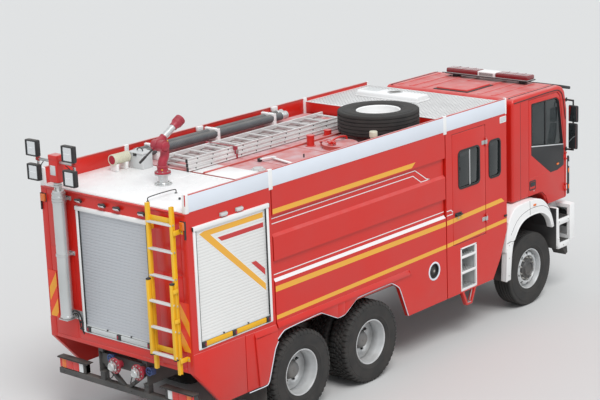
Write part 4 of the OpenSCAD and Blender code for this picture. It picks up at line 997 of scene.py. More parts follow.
def stroke(points, width, finish, depth=panel):
    """A film of even width along a line, with square mitres."""
    left, right = [], []
    for i, point in enumerate(points):
        before, after = points[max(i - 1, 0)], points[min(i + 1, len(points) - 1)]
        first = Vector(point) - Vector(before) if i > 0 else Vector(after) - Vector(point)
        second = Vector(after) - Vector(point) if i < len(points) - 1 else first
        a, b = first.normalized(), second.normalized()
        across = Vector((-(a + b).y, (a + b).x)).normalized()
        reach = width / 2 / max(0.3, across.dot(Vector((-a.y, a.x))))
        left.append(tuple(Vector(point) + across * reach))
        right.append(tuple(Vector(point) - across * reach))
    return film(left + right[::-1], finish, depth)


tank_films = [film([(1.455, 2.703), (4.205, 2.703), (4.285, 2.765), (1.455, 2.765)], film_yellow),
    stroke([(1.455, 2.64), (4.315, 2.64), (4.56, 2.478), (4.64, 2.455)], 0.011, film_white, sunk),
    stroke([(1.455, 2.575), (4.27, 2.575), (4.44, 2.458), (4.64, 2.458)], 0.011, film_white, sunk),
    stroke([(1.455, 1.935), (4.935, 1.935)], 0.012, film_white, sunk),
    film([(1.455, 1.725), (4.935, 1.735), (4.935, 1.8), (1.455, 1.795)], film_yellow),
    film([(1.455, 1.372), (4.935, 1.42), (4.935, 1.475), (1.455, 1.425)], film_yellow),
    # The white film on the lower band's slanted face is real film along its upper part and painted
    # highlight over the rest of the upward-facing slope.
    fold(1.455, 4.935, [(0.0012, 1.8515), (-0.0328, 1.8865), (-0.034, 1.885), (-0.0005, 1.8495)],
    film_white, 0)]
done_both(tank_films, "tank_films", "root")

# %% Films on the crew module
crew_films = [film([(4.965, 1.735), (5.104, 1.738), (5.104, 1.803), (4.965, 1.8)], film_yellow),
    film([(4.965, 1.42), (5.104, 1.424), (5.104, 1.478), (4.965, 1.475)], film_yellow),
    film([(5.89, 1.763), (6.34, 1.778), (6.262, 1.838), (5.89, 1.826)], film_yellow),
    film([(5.89, 1.448), (6.395, 1.462), (6.395, 1.516), (5.89, 1.502)], film_yellow),
    stroke([(4.965, 1.935), (5.06, 1.935), (5.104, 1.895)], 0.012, film_white),
    stroke([(4.965, 1.872), (5.104, 1.872)], 0.012, film_white)]
done_both(crew_films, "crew_films", "root")
door_films = [film([(5.112, 1.74), (5.873, 1.764), (5.873, 1.827), (5.112, 1.803)], film_yellow),
    film([(5.112, 1.426), (5.873, 1.449), (5.873, 1.502), (5.112, 1.479)], film_yellow)]
done_both(door_films, "crew_door_films", "crew_door_{}")

# %% The arrow on each side shutter
slat_face = -0.0066
arrow = [film([(0.184, 2.758), (0.27, 2.786), (1.285, 2.786), (1.285, 2.692), (0.415, 2.692),
    (1.285, 1.9), (1.285, 1.77)], film_white, slat_face),
    film([(0.2, 2.752), (0.28, 2.772), (1.285, 2.772), (1.285, 2.706), (0.38, 2.706),
    (1.285, 1.882), (1.285, 1.795)], film_yellow, slat_face + 0.0012),
    film([(0.5, 2.644), (1.285, 2.644), (1.285, 2.588), (0.565, 2.588)], film_red,
    slat_face + 0.0012), film([(1.05, 2.2), (1.13, 2.204), (1.285, 2.068), (1.285, 1.988)],
    film_red, slat_face + 0.0012)]
done_both(arrow, "shutter_arrow", "root")

# %% [markdown]
# ## Crew module doors and windows
# The crew module has a flush door on each side with silver hinges at its front edge, and two
# windows in black rubber. The door is one folded panel with a thin dark gap round it. A rubber
# frame is a rounded rectangle with a smaller one cut out of it, and the tinted pane sits behind it.
# Each door rides on its own body, so everything on it is joined into pieces that ride with it.

# %% Rubber frames and panes
def window(x0, x1, z0, z1, radius, pane_finish, divider=None):
    """A rubber frame with a recessed pane, for an opening in the right side."""
    lip, into = 0.016, 0.01
    outer = side_plate(rounded(x0 - lip, x1 + lip, z0 - lip, z1 + lip, radius + lip), -0.016, 0.009,
        rubber, 0.004)
    opening = side_plate(rounded(x0 + into, x1 - into, z0 + into, z1 - into, radius - into), -0.05,
        0.05, rubber, 0)
    frame_part = cut(outer, [opening])
    pane = side_plate(rounded(x0 + 0.002, x1 - 0.002, z0 + 0.002, z1 - 0.002, radius), -0.012,
        -0.006, pane_finish, 0.001)
    made = [frame_part, pane]
    if divider is not None:
        made.append(side_plate(rectangle(divider - 0.012, divider + 0.012, z0, z1), -0.008, 0.001,
            aluminium, 0.003))
        made.append(side_plate(rectangle(x0 + 0.03, x0 + 0.045, (z0 + z1) / 2,
            (z0 + z1) / 2 + 0.05), -0.007, 0.004, rubber, 0.003))
    return joined(made)


crew_low, crew_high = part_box("crew_windows")
small_window = window(crew_low[0] - rear_face, crew_high[0] - rear_face, crew_low[2], crew_high[2],
    0.06, dark_glass)
done_both(small_window, "crew_window", "root")
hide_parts("crew_windows")
print("window", round(crew_low[0] - rear_face, 3), round(crew_high[0] - rear_face, 3))

# %% The crew door
door_x0, door_x1, door_z0, door_z1 = 5.108, 5.877, 1.416, 2.972
pane_x0, pane_x1, pane_z0, pane_z1 = 5.25, 5.735, 2.19, 2.712
leaf = side_plate(rounded(door_x0, door_x1, door_z0, door_z1, 0.018, 3), -0.0275, 0.0, red, 0.004,
    3)
hole = side_plate(rounded(pane_x0 + 0.004, pane_x1 - 0.004, pane_z0 + 0.004, pane_z1 - 0.004,
    0.056), -0.06, 0.03, red, 0)
leaf = cut(leaf, [hole])
seal = cut(side_plate(rounded(door_x0 + 0.012, door_x1 - 0.012, door_z0 + 0.012, door_z1 - 0.012,
    0.02, 3), -0.0279, -0.0272, rubber, 0),
    [side_plate(rounded(door_x0 + 0.03, door_x1 - 0.03, door_z0 + 0.03, door_z1 - 0.03, 0.02, 3),
    -0.06, 0.03, red, 0)])
done_both([leaf, seal], "crew_door_leaf", "crew_door_{}", ["crew_door_{}"])
done_both(window(pane_x0, pane_x1, pane_z0, pane_z1, 0.06, dark_glass, (pane_x0 + pane_x1) / 2
    + 0.02), "crew_door_window", "crew_door_{}")

# %% Hinges and handle of the crew door
hinge_x, hinge_y = 5.882, -half_width - 0.012


def hinge_leaf(z):
    """The silver plate and barrel on the door, with its four screws."""
    leaf_part = slab(hinge_x - 0.088, hinge_x - 0.004, -half_width - 0.0045, -half_width, z + 0.001,
        z + 0.059, aluminium)
    barrel = tube((at(hinge_x), hinge_y, z + 0.0005), (at(hinge_x), hinge_y, z + 0.0595), 0.009,
        aluminium, 20)
    web = slab(hinge_x - 0.012, hinge_x - 0.002, hinge_y - 0.003, -half_width, z + 0.0015,
        z + 0.0585, aluminium, 0.001)
    screws = [tube((at(hinge_x - a), -half_width - 0.004, z + b),
        (at(hinge_x - a), -half_width - 0.0078, z + b), 0.006, steel, 12, 0.001)
        for a in (0.03, 0.066) for b in (0.016, 0.044)]
    return [leaf_part, barrel, web] + screws


def hinge_ears(z, height=0.029):
    """The two ears of the fixed hinge leaf that hold the pin, with their plate."""
    made = []
    for low in (z - height - 0.001, z + 0.061):
        made.append(tube((at(hinge_x), hinge_y, low), (at(hinge_x), hinge_y, low + height), 0.009,
            aluminium, 20))
        made.append(slab(hinge_x + 0.002, hinge_x + 0.016, hinge_y - 0.002, -half_width,
            low + 0.001, low + height - 0.001, aluminium, 0.001))
    made.append(slab(hinge_x + 0.01, hinge_x + 0.05, -half_width - 0.0045, -half_width, z - height,
        z + 0.061 + height, aluminium))
    return made


hinge_heights = (1.6, 2.7)
done_both([p for z in hinge_heights for p in hinge_leaf(z)], "crew_hinge_leaf", "crew_door_{}")
done_both([p for z in hinge_heights for p in hinge_ears(z)], "crew_hinge_ears", "root")

grip = pipe([(at(5.16), -half_width - 0.03, 1.836), (at(5.18), -half_width - 0.034, 1.836),
    (at(5.27), -half_width - 0.034, 1.836), (at(5.292), -half_width - 0.03, 1.836)], 0.0095,
    black_plastic, 8)
grip_foot = [slab(x, x + 0.02, -half_width - 0.032, -half_width + 0.001, 1.824, 1.848,
    black_plastic, 0.004) for x in (5.163, 5.268)]
plate_back = side_plate(rounded(5.15, 5.305, 1.808, 1.866, 0.014, 4), -0.001, 0.006, black_plastic,
    0.002)
lock = tube((at(5.228), -half_width, 1.79), (at(5.228), -half_width - 0.01, 1.79), 0.013, aluminium,
    20)
done_both([grip, plate_back, lock] + grip_foot, "crew_door_handle", "crew_door_{}")

# %% Door gap, name plate and grab rail on the module
gap_frame = cut(side_plate(rounded(5.101, 5.884, 1.409, 2.979, 0.02, 3), -0.0095, -0.0085, rubber,
    0), [side_plate(rounded(5.11, 5.875, 1.418, 2.97, 0.018, 3), -0.06, 0.03, red, 0)])
name_plate = side_plate(rounded(6.245, 6.385, 2.93, 3.004, 0.006, 2), -0.001, 0.003, grey_paint,
    0.001)
plate_edge = cut(side_plate(rounded(6.238, 6.392, 2.923, 3.011, 0.008, 2), -0.001, 0.0045, white,
    0.001), [side_plate(rounded(6.247, 6.383, 2.932, 3.002, 0.006, 2), -0.05, 0.05, white, 0)])
latch = joined([side_plate(rounded(6.33, 6.395, 1.545, 1.575, 0.006, 2), -0.001, 0.012,
    black_plastic, 0.003), side_plate(rounded(6.345, 6.38, 1.551, 1.569, 0.005, 2), 0.01, 0.022,
    black_plastic, 0.003)])
done_both([gap_frame, name_plate, plate_edge, latch], "crew_side_details", "root")

# %% [markdown]
# ## Steps to the crew door
# Below the door three treads stand in a white box in the side panel, with a red drop step under it.
# The treads are punched metal: rows of raised round holes that grip a boot. One ring is made as a
# tiny tube with a wall and repeated over the tread, which keeps it real geometry.

# %% Punched treads
def punched_tread(x0, x1, y0, y1, z, finish, pitch=0.052, size=0.017):
    """A folded tread with raised rings in rows."""
    top = bar((x0, y0, z - 0.003), (x1, y1, z), finish, 0.001)
    nose = bar((x0, y0, z - 0.034), (x1, y0 + 0.004, z - 0.001), finish, 0.0015)
    lip = turned([(size * 0.55, 0.0), (size * 0.62, 0.0045), (size * 0.86, 0.0045), (size, 0.0)],
        (0, 0, 0), "Z", finish, 14)
    count_x = max(1, int((x1 - x0 - 2 * size) / pitch) + 1)
    count_y = max(1, int((y1 - y0 - 2 * size) / pitch) + 1)
    start_x = (x0 + x1) / 2 - (count_x - 1) * pitch / 2
    start_y = (y0 + y1) / 2 - (count_y - 1) * pitch / 2
    lip.data.transform(Matrix.Translation((start_x, start_y, z - 0.0005)))
    grid = row(row(lip, count_x, (pitch, 0, 0)), count_y, (0, pitch, 0))
    centre = tube((0, 0, -0.004), (0, 0, 0.0004), size * 0.5, iron, 12, 0)
    centre.data.transform(Matrix.Translation((start_x, start_y, z)))
    holes = row(row(centre, count_x, (pitch, 0, 0)), count_y, (0, pitch, 0))
    return joined([top, nose, grid, holes])


step_low, step_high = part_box("crew_steps")
step_x0, step_x1 = step_low[0], step_high[0]
step_in = -half_width + 0.25
treads = [0.742, 0.987, 1.212]
step_foot, step_top = 0.712, 1.338
wall_out = -half_width + 0.028
frame_parts = [bar((x0, -half_width - 0.004, z0), (x1, -half_width + 0.03, z1), white, 0.004)
    for x0, x1, z0, z1 in ((step_x0, step_x0 + 0.026, step_foot, 1.337),
    (step_x1 - 0.026, step_x1, step_foot, 1.337), (step_x0, step_x1, 1.315, step_top))]
walls = [bar((x0, y0, z0), (x1, step_in, step_top), grey_paint, 0.001)
    for x0, x1, y0, z0 in ((step_x0, step_x0 + 0.006, wall_out, step_foot),
    (step_x1 - 0.006, step_x1, wall_out, step_foot), (step_x0, step_x1, step_in - 0.006, step_foot),
    (step_x0, step_x1, wall_out, 1.33))]
tread_parts = []
for z in treads:
    tread_parts.append(punched_tread(step_x0 + 0.024, step_x1 - 0.024, -half_width + 0.002,
        step_in - 0.008, z, aluminium))
    tread_parts.append(bar((step_x0 + 0.02, -half_width - 0.005, z - 0.034),
        (step_x1 - 0.02, -half_width + 0.01, z + 0.002), white, 0.004))
for z in treads:
    kick = plate(rectangle(step_x0 + 0.03, step_x1 - 0.03, z + 0.02, z + 0.12), "Y",
        step_in - 0.012, step_in - 0.008, aluminium, 0.001)
    tread_parts.append(kick)
    tread_parts.append(row(tube((step_x0 + 0.07, step_in - 0.012, z + 0.07),
        (step_x0 + 0.07, step_in - 0.016, z + 0.07), 0.014, iron, 16, 0.001), 5, (0.06, 0, 0)))
drop_outer = side_plate([(5.3, 0.69), (5.4, 0.474), (5.53, 0.474), (5.63, 0.69)], -0.06, 0.003, red,
    0.006)
drop_gap = side_plate([(5.336, 0.7), (5.424, 0.506), (5.506, 0.506), (5.594, 0.7)], -0.1, 0.05, red,
    0)
drop_frame = cut(drop_outer, [drop_gap])
drop_tread = punched_tread(at(5.412), at(5.518), -half_width, -half_width + 0.058, 0.51, aluminium,
    0.034, 0.012)
drop_bars = [pipe([(at(top), -half_width + 0.03, 0.7), (at(low), -half_width + 0.03, 0.52)], 0.007,
    aluminium) for top, low in ((5.35, 5.42), (5.58, 5.51))]
done_both(frame_parts + walls, "crew_step_box", "root")
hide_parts("crew_steps")
done_both(tread_parts, "crew_treads", "root")
done_both([drop_frame, drop_tread] + drop_bars, "crew_drop_step", "root")

# %% [markdown]
# ## Filler recess
# A round pocket in the tank's skirt holds the filler cap. The pocket gets a turned wall and back, a
# bright rim that stands on the panel, and a cap with its chain lug inside.

# %% Filler pocket and cap
filler_x, filler_z = 4.66, 1.167
filler_centre = (at(filler_x), -half_width, filler_z)
rim_out = turned([(0.104, 0.002), (0.108, -0.006), (0.122, -0.007), (0.13, -0.003), (0.131, 0.004),
    (0.104, 0.004)], filler_centre, "Y", band, 48)
wall_in = turned([(0.104, 0.004), (0.124, 0.004), (0.124, 0.043), (0.0, 0.043), (0.0, 0.04),
    (0.104, 0.038)], filler_centre, "Y", black_plastic, 48)
cap_part = turned([(0.0, 0.006), (0.04, 0.008), (0.05, 0.014), (0.056, 0.024), (0.056, 0.04),
    (0.0, 0.04)], filler_centre, "Y", black_plastic, 40)
cap_grips = ring(bar((filler_centre[0] - 0.006, -half_width + 0.016, filler_z + 0.05),
    (filler_centre[0] + 0.006, -half_width + 0.038, filler_z + 0.062), black_plastic), 8, "Y",
    (at(filler_x), 0, filler_z))
cap_knob = tube((at(filler_x), -half_width + 0.01, filler_z), (at(filler_x), -half_width - 0.001,
    filler_z), 0.018, steel, 20, 0.003)
done_both([rim_out, wall_in, cap_part, cap_grips, cap_knob], "filler_pocket", "root")

# %% [markdown]
# ## The cab
# A truck cab is pressed sheet, so its corners are large and soft, and its front bulges. The body
# starts as the cab's side outline extruded across, is cut to a bulging front by a very large
# cylinder, and only then gets a wide round bevel. The same steps a wall's thickness further in make
# the hollow. Doors, windscreen and arches are cut out, so the seats and the wheel show through the
# glass.

# %% Cab body
cab_x0, front_x = (corner[0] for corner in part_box("cab_shell"))
cab_length = front_x - cab_x0
cab_roof = 3.17
nose_radius = 4.0


def cab_points(points):
    """Lengths from the cab's rear wall, turned into frame X."""
    return [(cab_x0 + x, z) for x, z in points]


def nose(inwards, low=1.3, high=3.3):
    """The large upright cylinder that rounds the cab's front."""
    bpy.ops.mesh.primitive_cylinder_add(vertices=256, radius=nose_radius - inwards,
        depth=high - low, location=(front_x - nose_radius, 0, (low + high) / 2))
    return place_in_mesh(bpy.context.object)


def cab_solid(i, finish):
    """The cab's solid, moved inwards by i."""
    outline = [(i, 1.64 + i), (0.7 + i * 0.7, 1.64 + i), (0.8 + i * 0.7, 1.6 + i),
        (0.87 + i * 0.7, 1.5 + i), (0.925 + i * 0.7, 1.42 + i), (cab_length - i, 1.42 + i),
        (cab_length - i, 2.05), (cab_length - 0.23 - i, 3.06 - i * 0.5),
        (cab_length - 0.3 - i, 3.135 - i), (cab_length - 0.4 - i, cab_roof - i),
        (0.06, cab_roof - i), (i, 3.11 - i * 0.2)]
    solid = plate(cab_points(outline), "Y", -cab_half + i, cab_half - i, finish, 0)
    return boolean(solid, nose(i), "INTERSECT")


def cab_plate(points, low, high, finish, soft=0.003, steps=2):
    """An outline in lengths from the cab's rear wall, on its right side, low to high inwards."""
    return plate(cab_points(points), "Y", -cab_half + low, -cab_half + high, finish, soft, steps)


shell = soften(cab_solid(0, red), 0.042, 4, 30)
door_hole = [(0.412, 1.646), (0.76, 1.646), (0.86, 1.57), (0.926, 1.426), (1.388, 1.426),
    (1.388, 2.2), (1.246, 3.024), (1.165, 3.088), (0.412, 3.088)]
hole = cab_plate(door_hole, -0.05, 0.08, red, 0)
screen_hole = bar((front_x - 0.62, -0.985, 2.135), (front_x + 0.05, 0.985, 3.005), red, 0.04, 4)
shell = cut(shell, [cab_solid(0.055, black_plastic)])
shell = cut(shell, [hole, mirrored(hole), screen_hole])
done(shell, "cab_body", "cab", ["cab_shell"])

# %% Cab seams, roof gutter and roof ribs
def cab_strip(points, out, size, finish, sides=4):
    """A thin round strip along points on the cab's right side."""
    return pipe([(cab_x0 + x, -cab_half - out, z) for x, z in points], size, finish, sides)


gutter = cab_strip(sharp([(0.045, 3.105), (1.19, 3.112), (1.3, 3.04), (1.392, 2.64)], 0.03), 0.002,
    0.007, rubber)
seam_rear = cab_strip([(0.205, 1.66), (0.205, 3.09)], -0.0035, 0.005, rubber)
roof_ribs = [cab_slab(0.1, 1.16, y - 0.032, y + 0.032, cab_roof - 0.004, cab_roof + 0.006, red,
    0.005, 3) for y in (-0.98, -0.74, -0.5, -0.25)]
roof_seam = pipe([(cab_x0 + 0.04, -cab_half + 0.09, cab_roof + 0.0005),
    (cab_x0 + 1.22, -cab_half + 0.09, cab_roof)], 0.006, rubber, 4)
roof_hatch = cab_slab(0.12, 0.72, -0.28, 0.28, cab_roof - 0.004, cab_roof + 0.032, red, 0.022, 4)
hatch_rim = cab_slab(0.09, 0.75, -0.31, 0.31, cab_roof - 0.004, cab_roof + 0.01, black_plastic,
    0.004)
done_both([gutter, seam_rear, roof_seam], "cab_gutter", "cab")
done_both(roof_ribs, "cab_roof_ribs", "cab")
done([roof_hatch, hatch_rim], "cab_roof_hatch", "cab")

# %% [markdown]
# ## Cab doors
# Each door is a flush panel whose window runs down into a black lower corner. The panel gets its
# window hole by a cut, and rubber, glass, quarter-light bar, handle and black corner panel are laid
# into it. All of them ride on the door, and only the fixed half of the hinges stays on the cab.

# %% Door panel
door_edge = [(0.421, 1.655), (0.764, 1.655), (0.868, 1.574), (0.932, 1.436), (1.379, 1.436),
    (1.379, 2.2), (1.239, 3.018), (1.16, 3.079), (0.421, 3.079)]
glass_hole = [(0.486, 2.4), (0.5, 2.385), (1.335, 2.262), (1.338, 2.3), (1.226, 2.952),
    (1.15, 3.008), (0.5, 3.022), (0.486, 3.008)]
door_panel = cab_plate(door_edge, 0.0, 0.0395, red, 0.005, 3)
door_panel = cut(door_panel, [cab_plate(glass_hole, -0.05, 0.1, red, 0)])
crease = cab_plate([(0.43, 1.905), (1.37, 1.925), (1.37, 1.937), (0.43, 1.917)], -0.003, 0.002, red,
    0.0015, 1)
done_both([door_panel, crease], "cab_door_panel", "cab_door_{}", ["cab_door_{}"])

# %% Door glass, rubber and black corner
def inset_points(points, amount):
    """An outline with its points moved towards its middle by an amount, or away if negative."""
    middle_x = sum(p[0] for p in points) / len(points)
    middle_z = sum(p[1] for p in points) / len(points)
    return [(x + math.copysign(min(amount, abs(middle_x - x)), middle_x - x),
        z + math.copysign(min(amount, abs(middle_z - z)), middle_z - z)) for x, z in points]


door_rubber = cut(cab_plate(inset_points(glass_hole, -0.008), -0.004, 0.02, rubber, 0.003),
    [cab_plate(inset_points(glass_hole, 0.016), -0.1, 0.1, rubber, 0)])
door_pane = cab_plate(inset_points(glass_hole, 0.004), 0.01, 0.015, cab_glass, 0.001)
divider = cab_plate([(0.845, 2.345), (0.872, 2.341), (0.872, 3.012), (0.845, 3.013)], 0.0, 0.019,
    rubber, 0.003)
corner = cab_plate([(0.482, 2.392), (1.34, 2.268), (1.352, 2.16), (1.35, 1.945), (1.18, 1.902),
    (0.992, 1.902), (0.482, 2.262)], -0.0035, 0.004, black_plastic, 0.003)
sill = cab_plate([(0.484, 2.398), (1.336, 2.274), (1.336, 2.258), (0.484, 2.382)], -0.006, 0.004,
    grey_paint, 0.003)
inner_card = cab_plate([(0.44, 1.7), (0.76, 1.7), (0.88, 1.59), (0.95, 1.48), (1.34, 1.48),
    (1.34, 2.15), (0.47, 2.3)], 0.0396, 0.06, black_plastic, 0.006)
done_both([door_rubber, divider, corner, sill], "cab_door_trim", "cab_door_{}")
done_both(door_pane, "cab_door_glass", "cab_door_{}")

# %% Door handle and hinges
handle_dish = cab_plate(rounded(0.43, 0.6, 1.735, 1.88, 0.022, 4), -0.004, 0.006, black_plastic,
    0.004)
handle_hole = cab_plate(rounded(0.446, 0.584, 1.752, 1.864, 0.016, 4), -0.01, 0.002, black_plastic,
    0)
handle_dish = cut(handle_dish, [handle_hole])
handle_flap = cab_plate(rounded(0.456, 0.574, 1.79, 1.856, 0.012, 4), -0.008, 0.0, black_plastic,
    0.004)
key_ring = tube((cab_x0 + 0.548, -cab_half, 1.718), (cab_x0 + 0.548, -cab_half - 0.005, 1.718),
    0.011, aluminium, 16)
marker = cab_plate(rounded(1.15, 1.21, 1.98, 2.01, 0.01, 4), -0.012, 0.002, lens_orange, 0.004)
done_both([handle_dish, handle_flap, key_ring, marker], "cab_door_handle", "cab_door_{}")


def cab_hinge(z):
    """The moving barrel and plate of a cab door hinge, then the fixed ears."""
    x, y = cab_x0 + 1.388, -cab_half - 0.01
    moving = [tube((x, y, z + 0.0005), (x, y, z + 0.0595), 0.009, red, 20),
        bar((x - 0.046, -cab_half - 0.006, z + 0.001), (x - 0.002, -cab_half, z + 0.059), red,
        0.002)]
    fixed = []
    for low in (z - 0.03, z + 0.061):
        fixed += [tube((x, y, low), (x, y, low + 0.029), 0.009, red, 20),
            bar((x + 0.001, -cab_half - 0.006, low), (x + 0.046, -cab_half, low + 0.029), red,
            0.002)]
    return moving, fixed


hinge_parts = [cab_hinge(z) for z in (1.56, 2.04)]
done_both([p for moving, fixed in hinge_parts for p in moving] + [inner_card], "cab_door_hinge",
    "cab_door_{}")
done_both([p for moving, fixed in hinge_parts for p in fixed], "cab_hinge_ears", "cab")

# %% [markdown]
# ## Windscreen, visor, wipers and mirrors
# The windscreen is a thin slice of the cab's own solid, so it bulges with the cab. Its black
# printed edge is the same slice with the clear part cut out. The mirrors hang on two arms beside
# each front pillar.

# %% Windscreen with its black edge
def slice_of_cab(outer_i, inner_i, low, high, finish, corners=0.03):
    """A curved sheet of the cab's front, cut to a box with that much round on its corners."""
    sheet_part = cut(cab_solid(outer_i, finish), [cab_solid(inner_i, finish)])
    return boolean(sheet_part, bar(low, high, finish, corners, 4), "INTERSECT")


screen = slice_of_cab(0.014, 0.02, (front_x - 0.6, -0.981, 2.139), (front_x + 0.05, 0.981, 3.001),
    cab_glass)
done(screen, "windscreen_glass", "cab", ["windscreen"])
edge = slice_of_cab(-0.001, 0.013, (front_x - 0.6, -1.005, 2.11), (front_x + 0.06, 1.005, 3.03),
    rubber)
edge = cut(edge, [bar((front_x - 0.8, -0.945, 2.185), (front_x + 0.2, 0.945, 2.95), rubber, 0.05,
    4)])
done(edge, "windscreen_edge", "cab")

# %% Grille, sun visor and wipers
def front_sheet(outer_i, inner_i, y0, y1, z0, z1, finish, soft=0.006):
    """A curved part of the front between two heights and widths, standing proud by -outer_i."""
    sheet_part = slice_of_cab(outer_i, inner_i, (front_x - 0.45, y0, z0), (front_x + 0.12, y1, z1),
        finish, 0)
    return soften(sheet_part, soft, 2, 40)


grille_back = front_sheet(-0.008, 0.0, -0.82, 0.82, 1.465, 2.02, black_plastic, 0.003)
grille_slats = [front_sheet(-0.022, -0.004, -0.79, 0.79, z, z + 0.034, black_plastic, 0.004)
    for z in (1.5, 1.56, 1.62, 1.68)]
grille_frame = [front_sheet(-0.024, -0.002, y0, y1, z0, z1, black_plastic, 0.004)
    for y0, y1, z0, z1 in ((-0.82, 0.82, 2.0, 2.024), (-0.82, 0.82, 1.46, 1.482),
    (-0.835, -0.8, 1.46, 2.024), (0.8, 0.835, 1.46, 2.024))]
panel_red = front_sheet(-0.02, -0.004, -0.78, 0.78, 1.745, 1.985, red, 0.008)
badge_blank = front_sheet(-0.028, -0.018, -0.06, 0.06, 1.81, 1.92, aluminium, 0.006)
done([grille_back] + grille_slats + grille_frame, "grille", "cab", ["cab_front_trim"])
done([panel_red, badge_blank], "grille_panel", "cab")


def wiper(pivot_y, tip_y):
    """A wiper arm with its blade, lying along the foot of the screen."""
    middle = (front_x - 0.03, (pivot_y + tip_y) / 2, 2.235)
    arm = pipe([(front_x - 0.034, pivot_y, 2.118),
        (front_x + 0.002, pivot_y + (tip_y - pivot_y) * 0.3, 2.15), middle], 0.008, black_plastic)
    blade = pipe([(front_x - 0.062, tip_y - 0.36, 2.215), middle,
        (front_x - 0.062, tip_y + 0.3, 2.225)], 0.009, black_plastic)
    boss = tube((front_x - 0.045, pivot_y, 2.118), (front_x - 0.004, pivot_y, 2.118), 0.02,
        black_plastic, 16, 0.004)
    return [arm, blade, boss]


visor_points = [(front_x - 0.262, 3.112), (front_x - 0.25, 3.148), (front_x + 0.01, 3.083),
    (front_x + 0.016, 3.052), (front_x - 0.008, 3.04), (front_x - 0.02, 3.056)]
visor = plate(visor_points, "Y", -cab_half + 0.062, cab_half - 0.062, black_plastic, 0.006, 3)
visor_feet = [plate([(front_x - 0.3, 3.121), (front_x - 0.277, 3.1), (front_x - 0.222, 3.096),
    (front_x - 0.222, 3.126)], "Y", y - 0.02, y + 0.02, black_plastic, 0.004)
    for y in (-0.7, 0.0, 0.7)]
done([visor] + visor_feet + wiper(-0.3, -0.62) + wiper(0.42, 0.1), "sun_visor_and_wipers", "cab")

# %% Mirrors
def mirror_head(z0, z1, out):
    """A rounded mirror housing with its glass set into its rear face."""
    y0, y1 = -cab_half - out, -cab_half - 0.068
    body = cab_slab(1.362, 1.402, y0, y1, z0, z1, black_plastic, 0.018, 4)
    bulge_part = cab_slab(1.385, 1.425, y0 + 0.012, y1 - 0.012, z0 + 0.012, z1 - 0.012,
        black_plastic, 0.02, 4)
    face = plate(rounded(y0 + 0.012, y1 - 0.012, z0 + 0.014, z1 - 0.014, 0.014, 4), "X",
        cab_x0 + 1.359, cab_x0 + 1.3622, mirror_face, 0.001)
    return [body, bulge_part, face]


mirror_parts = mirror_head(2.2, 2.59, 0.22) + mirror_head(2.61, 2.86, 0.23)
arm_x = front_x - 0.219
arms = [pipe([(arm_x, -cab_half + 0.004, z), (arm_x, -cab_half - 0.05, z),
    (arm_x, -cab_half - 0.13, z + lift), (arm_x, -cab_half - 0.135, z + 2 * lift)], 0.014,
    black_plastic, 8) for z, lift in ((2.178, 0.006), (2.928, -0.006))]
post_y = -cab_half - 0.133
post = tube((arm_x, post_y, 2.168), (arm_x, post_y, 2.94), 0.0125, black_plastic, 16, 0.003)
arm_feet = [bar((arm_x - 0.009, -cab_half - 0.008, z - 0.03), (arm_x + 0.034, -cab_half, z + 0.03),
    black_plastic, 0.006) for z in (2.178, 2.928)]
clamps = [tube((arm_x, post_y, z), (arm_x, post_y, z + 0.05), 0.024, black_plastic, 16, 0.004)
    for z in (2.3, 2.46, 2.7)]
done_both(mirror_parts + arms + [post] + arm_feet + clamps, "cab_mirror", "cab")

# %% [markdown]
# ## Light bar
# The warning light bar has two dark red domes with a plain white block between them, on a thin dark
# base with two feet. The domes are bevelled bars with lens ribs.

# %% Light bar
bar_low, bar_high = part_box("light_bar")
base_z = bar_low[2] + 0.045
domes = []
for y0, y1 in ((-0.742, -0.16), (0.16, 0.742)):
    domes.append(bar((bar_low[0] + 0.01, y0, base_z + 0.014),
        (bar_high[0] - 0.01, y1, bar_high[2] - 0.002), lens_red, 0.024, 4))
    domes += [bar((bar_low[0] + 0.008, y, base_z + 0.016), (bar_high[0] - 0.008, y + 0.006,
        bar_high[2]), lens_red) for y in [y0 + (y1 - y0) * share for share in (0.25, 0.5, 0.75)]]
middle = bar((bar_low[0] + 0.012, -0.158, base_z + 0.014),
    (bar_high[0] - 0.012, 0.158, bar_high[2] - 0.004), white, 0.012, 3)
base = bar((bar_low[0], -0.75, base_z), (bar_high[0], 0.75, base_z + 0.016), black_plastic, 0.005,
    3)
rim_strip = bar((bar_low[0] + 0.004, -0.746, base_z + 0.014),
    (bar_high[0] - 0.004, 0.746, base_z + 0.022), aluminium, 0.002)
feet = [bar((bar_low[0] + 0.05, y - 0.04, cab_roof), (bar_high[0] - 0.05, y + 0.04, base_z + 0.002),
    black_plastic, 0.006) for y in (-0.6, 0.6)]
speaker = row(bar((bar_low[0] + 0.0095, -0.12, base_z + 0.026),
    (bar_low[0] + 0.0125, -0.112, bar_high[2] - 0.02), black_plastic, 0.001), 16, (0, 0.0155, 0))
done(domes, "light_bar_domes", "cab", ["light_bar"])
done([middle, base, rim_strip, speaker] + feet, "light_bar_base", "cab")

# %% [markdown]
# ## Front wings
# Each front wing is a moulded arch in two pieces with a thin seam, and its rear leg runs down
# behind the wheel. Its outline is smoothed through the frame's own corner points, because a moulded
# arch has no kinks. The liner inside is a separate black shell, and it hangs on a bracket from the
# chassis.

# %% A smooth outline through points
def flowing(points, per=5):
    """A smooth open line through points, with that many steps between each two."""
    ends = [points[0]] + points + [points[-1]]
    made = []
    for before, here, there, after in zip(ends, ends[1:], ends[2:], ends[3:]):
        for i in range(per):
            t = i / per
            made.append(tuple(0.5 * (2 * b + (c - a) * t + (2 * a - 5 * b + 4 * c - d) * t * t
                + (3 * b - a - 3 * c + d) * t ** 3)
                for a, b, c, d in zip(before, here, there, after)))
    return made + [points[-1]]


wing_x = 7.146


def wing_points(points):
    """Lengths from the front axle, turned into frame X."""
    return [(at(wing_x + x), z) for x, z in points]


